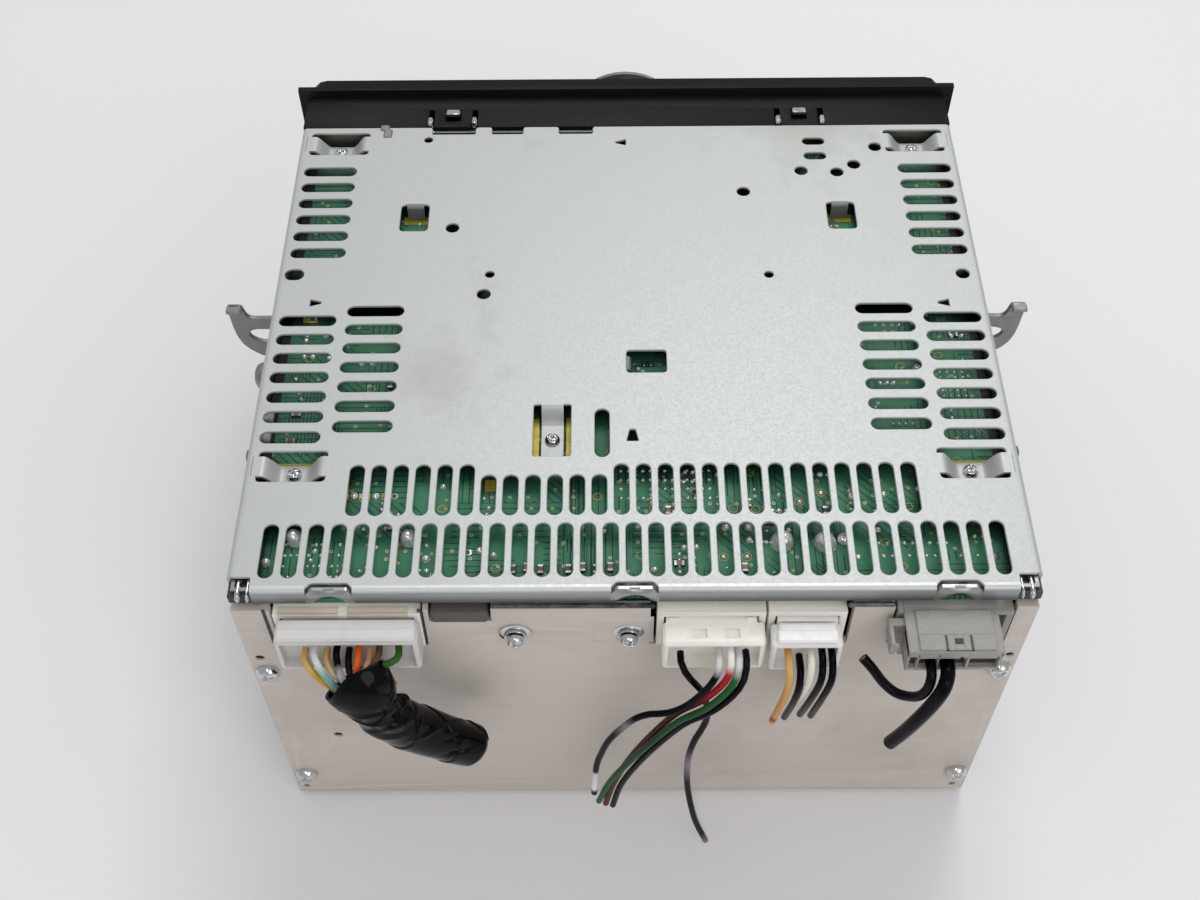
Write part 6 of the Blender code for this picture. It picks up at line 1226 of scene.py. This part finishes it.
def pin_row(x, y, way, count, pitch, width, height, keep=0.85):
    """Joints in a row, some left out at random, and none in the two slots that show black."""
    for k in range(count):
        u, v = np.array([x, y]) + np.array(way) * pitch * k
        if rng.random() < keep and abs(u) < BOARD_SEEN_HALF - 0.7:
            bead = joint(u, v, width * rng.uniform(0.85, 1.15), height, rng.uniform(-0.3, 0.3))
            if abs(abs(u) - DARK_SLOT_X) > 11.5 or abs(v - DARK_SLOT_Y) > 3.9:
                beads.append(bead)


for rows, x, *row in (((-59.6, -62.5, -65.4, -68.2), -78.0, (1, 0), 11, 1.35, 0.8, 0.35, 0.72),
                      ((-39.6, -42.2, -44.8, -47.4), -2.6, (1, 0), 13, 1.7, 0.85, 0.4, 0.85),
                      ((-62.6,), 10.2, (0, -1), 4, 1.6, 0.9, 0.4, 1.0),
                      ((-60.0,), 55.0, (1, 0), 12, 1.9, 0.9, 0.4, 0.8),
                      ((-63.4,), 55.8, (1, 0), 12, 1.9, 0.9, 0.4, 0.8),
                      ((-10.2, -11.9, -16.0, -17.7), 71.8, (1, 0), 6, 1.8, 0.6, 0.25, 0.9)):
    for y in rows:
        pin_row(x, y, *row)
SEEN_AREAS = ((-80, -70, 80, -38), (-86, -33, -56, 8), (56, -33, 86, 8), (70, 26, 86, 40),
              (-58, 34, -50, 44), (50, 34, 58, 44), (-2, -14, 10, -6), (-12, -40, -8, -26))
for x0, y0, x1, y1 in SEEN_AREAS:
    for _ in range(int((x1 - x0) * (y1 - y0) / 95) + 1):
        way = ((1, 0), (0, 1))[rng.integers(0, 2)]
        pin_row(rng.uniform(x0, x1 - 4), rng.uniform(y0 + 2, y1 - 2), way, int(rng.integers(1, 5)),
                rng.uniform(1.5, 2.54), rng.uniform(0.7, 1.4), rng.uniform(0.3, 0.8))
surface("solder_joints", beads, "solder_tin", sharp=math.radians(80))
print("solder joints", len(beads))

worn("bare_copper", (196, 174, 66), (164, 144, 50), rough=(0.4, 0.55), metal=0.35, clouds=(200.0, 0.5))
worn("tan_part", (104, 88, 70), (84, 70, 54), rough=(0.35, 0.5), clouds=(300.0, 0.4))
worn("yellow_print", (166, 152, 84), (150, 138, 78), rough=(0.5, 0.6), clouds=(300.0, 0.4))
for name, finish, profile, places in (
        ("plated_rings", "solder_tin", [(50, 2), (50, 16), (85, 16), (88, 2)],
         ((-64.0, -46.3), (-61.8, -46.4), (-59.0, -46.4), (-54.7, -46.5), (-37.0, -62.0))),
        ("printed_circles", "yellow_print", [(92, 2), (92, 6), (112, 6), (114, 2)],
         ((20.1, -63.5), (25.3, -63.5), (43.3, -46.1), (38.2, -48.6), (22.9, -50.4), (28.0, -50.6)))):
    rings = [turned_piece(np.array(profile) * 0.01 * MM, (x * MM, y * MM, BOARD * MM), UPWARD, (0, 1, 0), 24)
             for x, y in places]
    surface(name, rings, finish)
LANDS = [(-23.4, -39.2, -21.8, -24.0), (-15.4, -39.2, -13.8, -24.0), (-59.2, 41.6, -52.4, 44.4),
         (52.4, 41.6, 59.2, 44.4), (-0.9, -13.4, 2.4, -10.6), (-84.0, -38.6, -72.4, -37.0),
         (72.4, -38.6, 84.0, -37.0), (-84.0, 70.6, -72.4, 71.8), (72.4, 70.6, 84.0, 71.8),
         (-34.0, -45.2, -31.6, -42.0), (-82.0, 7.0, -78.4, 9.6), (72.8, 8.0, 75.0, 9.8)]
LANDS += [(x, -47.4, x + 0.35, -45.5) for x in (-65.6, -62.9, -60.6, -57.6)]
blocks("copper_lands", [(x0, y0, BOARD, x1, y1, BOARD + 0.06) for x0, y0, x1, y1 in LANDS],
       "bare_copper", soft=0.00002)
SEATS = [(-26.9 + 3.1 * k, -66.6 + 0.5 * (k % 2), 1) for k in range(8)] + [(-79.6, 8.3, 0), (26.5, -49.0, 1)]
for x0, y0, x1, y1 in SEEN_AREAS:
    for _ in range(int((x1 - x0) * (y1 - y0) / 420) + 1):
        SEATS.append((rng.uniform(x0, x1), rng.uniform(y0, y1), int(rng.integers(0, 2))))
bodies, caps = [], []
for x, y, turn in SEATS:
    along, across = (0.62, 1.0) if turn else (1.0, 0.62)
    bodies.append((x - along, y - across, BOARD, x + along, y + across, BOARD + 0.55))
    along, across = (0.68, 0.32) if turn else (0.32, 0.68)
    for side in (-0.85, 0.85):
        u, v = x + side * (1 - turn), y + side * turn
        caps.append((u - along, v - across, BOARD, u + along, v + across, BOARD + 0.6))
blocks("surface_parts_dark", bodies[::2], "dark_plastic", soft=0.00008)
blocks("surface_parts_tan", bodies[1::2], "tan_part", soft=0.00008)
blocks("surface_part_caps", caps, "bare_steel", soft=0.00008)
print("surface parts", len(bodies))

# %% [markdown]
# ## Connectors, closer
# The grey plug is built again from blocks: a roof with a raised panel that has two slits and a square
# window, walls between wire holes, and a bent latch on one side. Dark blocks behind the walls, under the
# panel's window and slits and in the socket's slits are painted shade. The other connectors get the ledges
# and windows that the simple solids lack.

# %% The grey plug
blocks("fine_aerial_plug", [
    (58.9, -86.9, 91.7, 79.5, -63.2, 94.0),
    (58.9, -86.9, 86.0, 79.5, -80.0, 86.9),
    (58.9, -86.9, 86.0, 59.5, -80.0, 93.6), (61.1, -86.9, 86.0, 61.5, -80.0, 93.0),
    (65.5, -86.9, 86.0, 65.9, -80.0, 93.0), (71.8, -86.9, 86.0, 72.5, -80.0, 93.0),
    (78.7, -86.9, 86.0, 79.5, -80.0, 93.6),
    (61.2, -86.7, 90.6, 70.4, -80.0, 92.0), (71.0, -86.7, 90.6, 78.4, -80.0, 92.0),
    (58.9, -80.2, 81.0, 79.5, -63.2, 93.0),
    (61.2, -82.9, 93.9, 77.8, -76.6, 94.5), (61.2, -86.6, 93.9, 66.9, -82.7, 94.5),
    (67.3, -86.6, 93.9, 68.9, -82.7, 94.5), (70.7, -86.6, 93.9, 72.3, -82.7, 94.5),
    (72.7, -86.6, 93.9, 77.8, -82.7, 94.5), (68.7, -83.7, 93.9, 70.9, -82.7, 94.5),
    (68.7, -86.6, 93.9, 70.9, -85.1, 94.5),
    (55.5, -84.4, 88.4, 56.5, -77.6, 92.9), (56.2, -79.6, 88.4, 59.2, -77.6, 92.9),
    (56.2, -84.4, 89.4, 57.4, -83.2, 91.9)], "grey_plastic", replaces=["aerial_plug"])
# Painted shade: dark blocks inside the wire holes and under the panel's window and slits, and thin ones in the
# socket's slits.
blocks("aerial_plug_hole_shade", [(59.3, -85.5, 86.6, 79.1, -79.0, 91.9), (66.7, -86.7, 93.92, 72.9, -82.6, 94.1)],
       "dark_plastic")
blocks("aerial_socket_slit_shade", [(60.0, -76.95, 93.2, 64.0, -76.5, 93.6), (70.6, -76.95, 93.2, 73.4, -76.5, 93.6)],
       "dark_plastic")

# %% [markdown]
# The white connectors are moulded with thin lips and ribs, and stained windows show where the hooks of
# their plugs hold. A few blocks give each of them.

# %% Ledges and windows of the white connectors
worn("stained_nylon", (224, 212, 194), (208, 194, 174), rough=(0.35, 0.5), clouds=(300.0, 0.5))
blocks("power_socket_windows", [
    (x0, y0, z, x1, y1, 93.86) for y0, z, y1 in ((-76.9, 92.6, -76.3), (-76.5, 93.7, -74.6))
    for x0, x1 in ((-78.4, -64.9), (-63.0, -49.6))], "stained_nylon", soft=0.00006)
for name, boxes, finish, soft in (
        ("power_plug_lip", [(-78.4, -82.9, 91.8, -47.7, -77.9, 93.5)], "cloudy_plastic", 0.0005),
        ("power_plug_rib", [(-78.1, -80.2, 93.3, -48.0, -77.9, 93.75)], "cloudy_plastic", 0.0002),
        ("control_plug_lip", [(31.2, -83.0, 90.6, 44.6, -79.6, 92.0), (31.6, -80.6, 91.6, 44.2, -78.4, 92.2)],
         "milky_plastic", 0.0004),
        ("audio_plug_hinges", [(7.6, -77.6, 91.2, 9.6, -76.7, 92.2), (24.6, -77.6, 91.2, 26.6, -76.7, 92.2)],
         "ivory_plastic", 0.0002)):
    blocks(name, boxes, finish, soft=soft)
blocks("fuse_block_ribs", [(-44.4, -76.95, z, -32.7, -76.6, top) for z, top in ((90.6, 91.2), (92.2, 92.7))],
       "dull_plastic")
print("connector details ready")

# %% [markdown]
# ## Small things on the case
# At the rear corners the steel frame shows two pressed ridges in a hollow, whose shade is painted by a dark
# block. At the cover's front left corner and on both sides there are burrs from punching. Bright lugs stand
# in the faceplate's snap holes.

# %% Ridges, burrs and lugs
def ridged_corner(side, start, width):
    """A narrow sheet that runs back and then down, crowned across its width as a sine is."""
    across = np.linspace(0, 1, 13)[:, None]
    run = np.linspace(0, 1, 19)[None]
    turn = np.clip((run - 0.45) / 0.2, 0, 1) * math.pi / 2
    y = -0.0712 - 0.0031 * np.clip(run / 0.45, 0, 1) - 0.0007 * np.sin(turn)
    z = 0.0994 - 0.0007 * (1 - np.cos(turn)) - 0.0004 * np.clip((run - 0.65) / 0.35, 0, 1)
    ridge = 0.00075 * np.sin(across * math.pi) ** 0.7
    x = side * (start + width * across)
    outer = together(x, y - ridge * np.sin(turn), z - 0.0008 + ridge * np.cos(turn))
    return doubled(outer, (0.0, 0.0006, -0.0006))


surface("frame_corner_ridges", [ridged_corner(side, *ridge) for side in (-1, 1)
                                for ridge in ((0.0837, 0.0011), (0.0857, 0.0014))], "bright_steel")
# Painted shade: dark blocks in the hollows behind the ridges.
blocks("frame_corner_painted_shade", [(x - 2.6, -74.9, 95.8, x + 2.6, -70.0, 98.4) for x in (-86.1, 86.1)],
       "dark_plastic")
blocks("frame_flanges", [(-88.1, -31.8, 95.75, -85.3, -20.4, 96.2)], "bare_steel")
# Painted shade: thin dark strips on the plate beside the power socket, where its gaps lie in shade.
blocks("socket_gap_painted_shade", [(-47.6, -76.25, 79.6, -46.6, -76.0, 95.0), (-81.7, -76.25, 80.4, -80.9, -76.0, 95.0)],
       "dark_plastic", soft=0.00008)
blocks("frame_burrs", [(-89.5, -38.2, 97.4, -88.9, -35.6, 99.6), (88.9, -38.2, 97.4, 89.5, -35.6, 99.6),
                       (-67.6, 73.2, 100.2, -65.0, 75.2, 100.9), (-66.6, 70.4, 100.2, -64.2, 73.6, 100.8)],
       "bracket_steel", soft=0.0003)
blocks("faceplate_lugs", [(x - 0.7, 74.9, 99.2, x + 0.7, 77.2, 101.8) for x in (-53.9, -41.8, 41.8, 53.9)]
       + [(x - 1.9, 77.7, 101.2, x + 1.9, 79.6, 102.4) for x in (-47.7, 47.7)], "bright_steel")
blocks("bracket_tips", [(x - 2.0, 19.2, z - 1.1, x + 2.0, 22.3, z) for x, z in ((-103.4, 86.2), (102.4, 85.3))],
       "bracket_steel", soft=0.0004)
for name, x in (("left", -89.4), ("right", 88.3)):
    blocks(name + "_bracket_leaf", [(x, 21.1, 60.4, x + 1.1, 32.8, 85.8)], "bracket_steel",
           soft=0.0003)
# Painted shade: a dark strip along the board's rear edge below the cover's lip.
worn("painted_shade_steel", (112, 114, 118), (52, 53, 57), rough=(0.2, 0.4), metal=0.6, clouds=(260.0, 0.8))
blocks("board_edge_painted_shade", [(-31.6, -75.9, 94.0, 4.6, -74.9, 95.5), (46.8, -75.9, 94.0, 57.0, -74.9, 95.5)],
       "painted_shade_steel", soft=0.0003)
# Painted shadow: dark strips on the board under the rear bridges.
blocks("bridge_shadows", [(x / MM - 5.6, -72.8, 95.75, x / MM + 5.6, -68.8, 96.0) for x in BRIDGES],
       "dark_plastic", soft=0.0001)

# %% [markdown]
# A pad is pressed out of the rear plate round a screw, and five pin holes go into it. A Boolean modifier
# cuts the holes. It stands before the bevel, so that the bevel rounds their rims as well. A black rod deep
# in each hole is painted shade.

# %% Pressed pad and pin holes of the rear plate
def pressed_pad(x0, x1, z0, z1, rise):
    """A field of height rise inside a rectangle, falling to zero over its border by a smooth step."""
    u, v = np.meshgrid(np.linspace(0, 1, 41), np.linspace(0, 1, 33), indexing="ij")
    x, z = x0 + (x1 - x0) * u, z0 + (z1 - z0) * v
    apart = np.minimum(np.minimum(x - x0, x1 - x), np.minimum(z - z0, z1 - z)) / 0.0014
    return together(x, PLATE_REAR + 0.00004 - rise * smooth(apart), z)


surface("rear_plate_pad", [pressed_pad(-0.0098, 0.0044, 0.0800, 0.0912, 0.0004)], "brushed_aluminium")
plate = bpy.data.objects["fine_rear_heat_sink"]
HOLE_DEPTH = 0.0017
PIN_HOLES = ((-85.8, 73.7, 2.2), (-73.5, 34.4, 2.3), (-86.3, 4.2, 1.8), (86.3, 73.5, 2.0), (85.5, 3.7, 1.8))


def plugs_of(near, width, sides):
    """A short rod in every pin hole, from near to the holes' depth. Without a width it is the hole's own."""
    rods = []
    for x, z, hole in PIN_HOLES:
        r = width or hole / 2 * MM
        rods.append(turned_piece([(0, near), (r, near), (r, -HOLE_DEPTH), (0, -HOLE_DEPTH)],
                                 (x * MM, PLATE_REAR, z * MM), OUT, UPWARD, sides))
    return rods


# Painted shade: a black rod deep in each pin hole.
surface("pin_hole_painted_shade", plugs_of(-0.0005, 0.0012, 16), "black_plastic")
cutter = surface("plate_hole_cutters", plugs_of(0.0004, None, 24), "dark_plastic")
fill = plate.modifiers.new("pin_holes", "BOOLEAN")
fill.operation = "DIFFERENCE"
fill.object = cutter
fill.solver = "EXACT"
plate.modifiers.move(len(plate.modifiers) - 1, 0)
bpy.context.view_layer.update()
cut = applied(plate)
plate.modifiers.clear()
plate.data = cut
bpy.data.objects.remove(cutter)

# %% [markdown]
# ## Figures on the preset keys
# Six keys carry the plain figures 1 to 6. Each figure is made of straight strokes, as on a calculator,
# and stands on its head here because the whole player lies upside down.

# %% Figures
STROKES = {"top": ((0, 2), (1, 2)), "middle": ((0, 1), (1, 1)), "bottom": ((0, 0), (1, 0)),
           "upper left": ((0, 1), (0, 2)), "upper right": ((1, 1), (1, 2)),
           "lower left": ((0, 0), (0, 1)), "lower right": ((1, 0), (1, 1))}
FIGURES = {1: ("upper right", "lower right"), 2: ("top", "upper right", "middle", "lower left", "bottom"),
           3: ("top", "upper right", "middle", "lower right", "bottom"),
           4: ("upper left", "upper right", "middle", "lower right"),
           5: ("top", "upper left", "middle", "lower right", "bottom"),
           6: ("top", "upper left", "middle", "lower left", "lower right", "bottom")}
STEP, PEN = 0.0015, 0.0002
worn("print_white", (214, 214, 212), (196, 196, 194), rough=(0.4, 0.5), clouds=(500.0, 0.4))
for figure, strokes in FIGURES.items():
    node = "preset_button_%d" % figure
    low, high = (np.array(p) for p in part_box(node))
    middle = (low + high) / 2
    marks = []
    for stroke in strokes:
        (u0, v0), (u1, v1) = STROKES[stroke]
        x = middle[0] + (np.array([u0, u1]) - 0.5) * STEP
        z = middle[2] - (np.array([v0, v1]) - 1.0) * STEP
        flat = block((x.min() - PEN, z.min() - PEN, 0.0), (x.max() + PEN, z.max() + PEN, 0.00004), 0.00001)
        marks.append(swap(flat, (0, 2, 1)) + (0.0, high[1] - 0.00001, 0.0))
    surface("figure_%d" % figure, marks, "print_white", body=BODY_OF[node])
print("figures ready")

# %% [markdown]
# ## Studio
# The photograph was taken on a white table in soft, even light. The world gives most of the light, a
# large lamp overhead and one from the window side give soft shadows, and a small one near the camera gives the
# glints on tape and wires. The camera sees a pale grey-white, and reflections a dimmer room.

# %% Table, world and lamps
FLOOR_HALF = 3.0
floor_grid = np.array([[[x, y, 0.0] for x in (-FLOOR_HALF, FLOOR_HALF)] for y in (-FLOOR_HALF, FLOOR_HALF)])
floor_mesh = bpy.data.meshes.new("table")
floor_mesh.from_pydata(floor_grid.reshape(-1, 3).tolist(), [], [[0, 1, 3, 2]])
floor = placed("table", floor_mesh)
floor_shader = shader_of("pale_table", Roughness=0.55)[1]
floor_shader.inputs["Base Color"].default_value = colour(233, 232, 234)
floor_mesh.materials.append(FINISH["pale_table"])

world = bpy.data.worlds.new("studio")
world.use_nodes = True
bpy.context.scene.world = world
tree = world.node_tree
tree.nodes.clear()
light_path = add(tree, "LightPath").outputs
soft = add(tree, "Background", (1.0, 1.0, 1.0, 1.0), 0.60).outputs[0]
room = add(tree, "Background", (1.0, 1.0, 1.0, 1.0), 0.42).outputs[0]
pale = add(tree, "Background", colour(236, 236, 238), 1.0).outputs[0]
mirrored = add(tree, "MixShader", light_path["Is Glossy Ray"], soft, room).outputs[0]
seen = larger(tree, light_path["Is Camera Ray"], light_path["Is Transmission Ray"])
both = add(tree, "MixShader", seen, mirrored, pale).outputs[0]
add(tree, "OutputWorld", both)


def lamp(name, place, aim, size, power):
    """A square soft lamp at a place, turned to look at a point."""
    data = bpy.data.lights.new(name, "AREA")
    data.shape = "SQUARE"
    data.size = size
    data.energy = power
    obj = placed(name, data)
    back = unit(np.array(place) - np.array(aim))
    right = unit(np.cross([0.0, 1.0, 0.0], back))
    turn = Matrix(np.stack([right, np.cross(back, right), back], -1).tolist()).to_4x4()
    obj.matrix_world = Matrix.Translation(place) @ turn


lamp("overhead", (0.14, 0.50, 1.05), (0.0, 0.0, 0.05), 0.5, 4.3)
lamp("window", (0.62, -0.95, 0.8), (0.0, 0.0, 0.05), 0.7, 2.5)
lamp("spot", (-0.06, -0.68, 0.98), (0.0, -0.05, 0.07), 0.08, 0.9)
bpy.context.scene.view_settings.view_transform = "Standard"
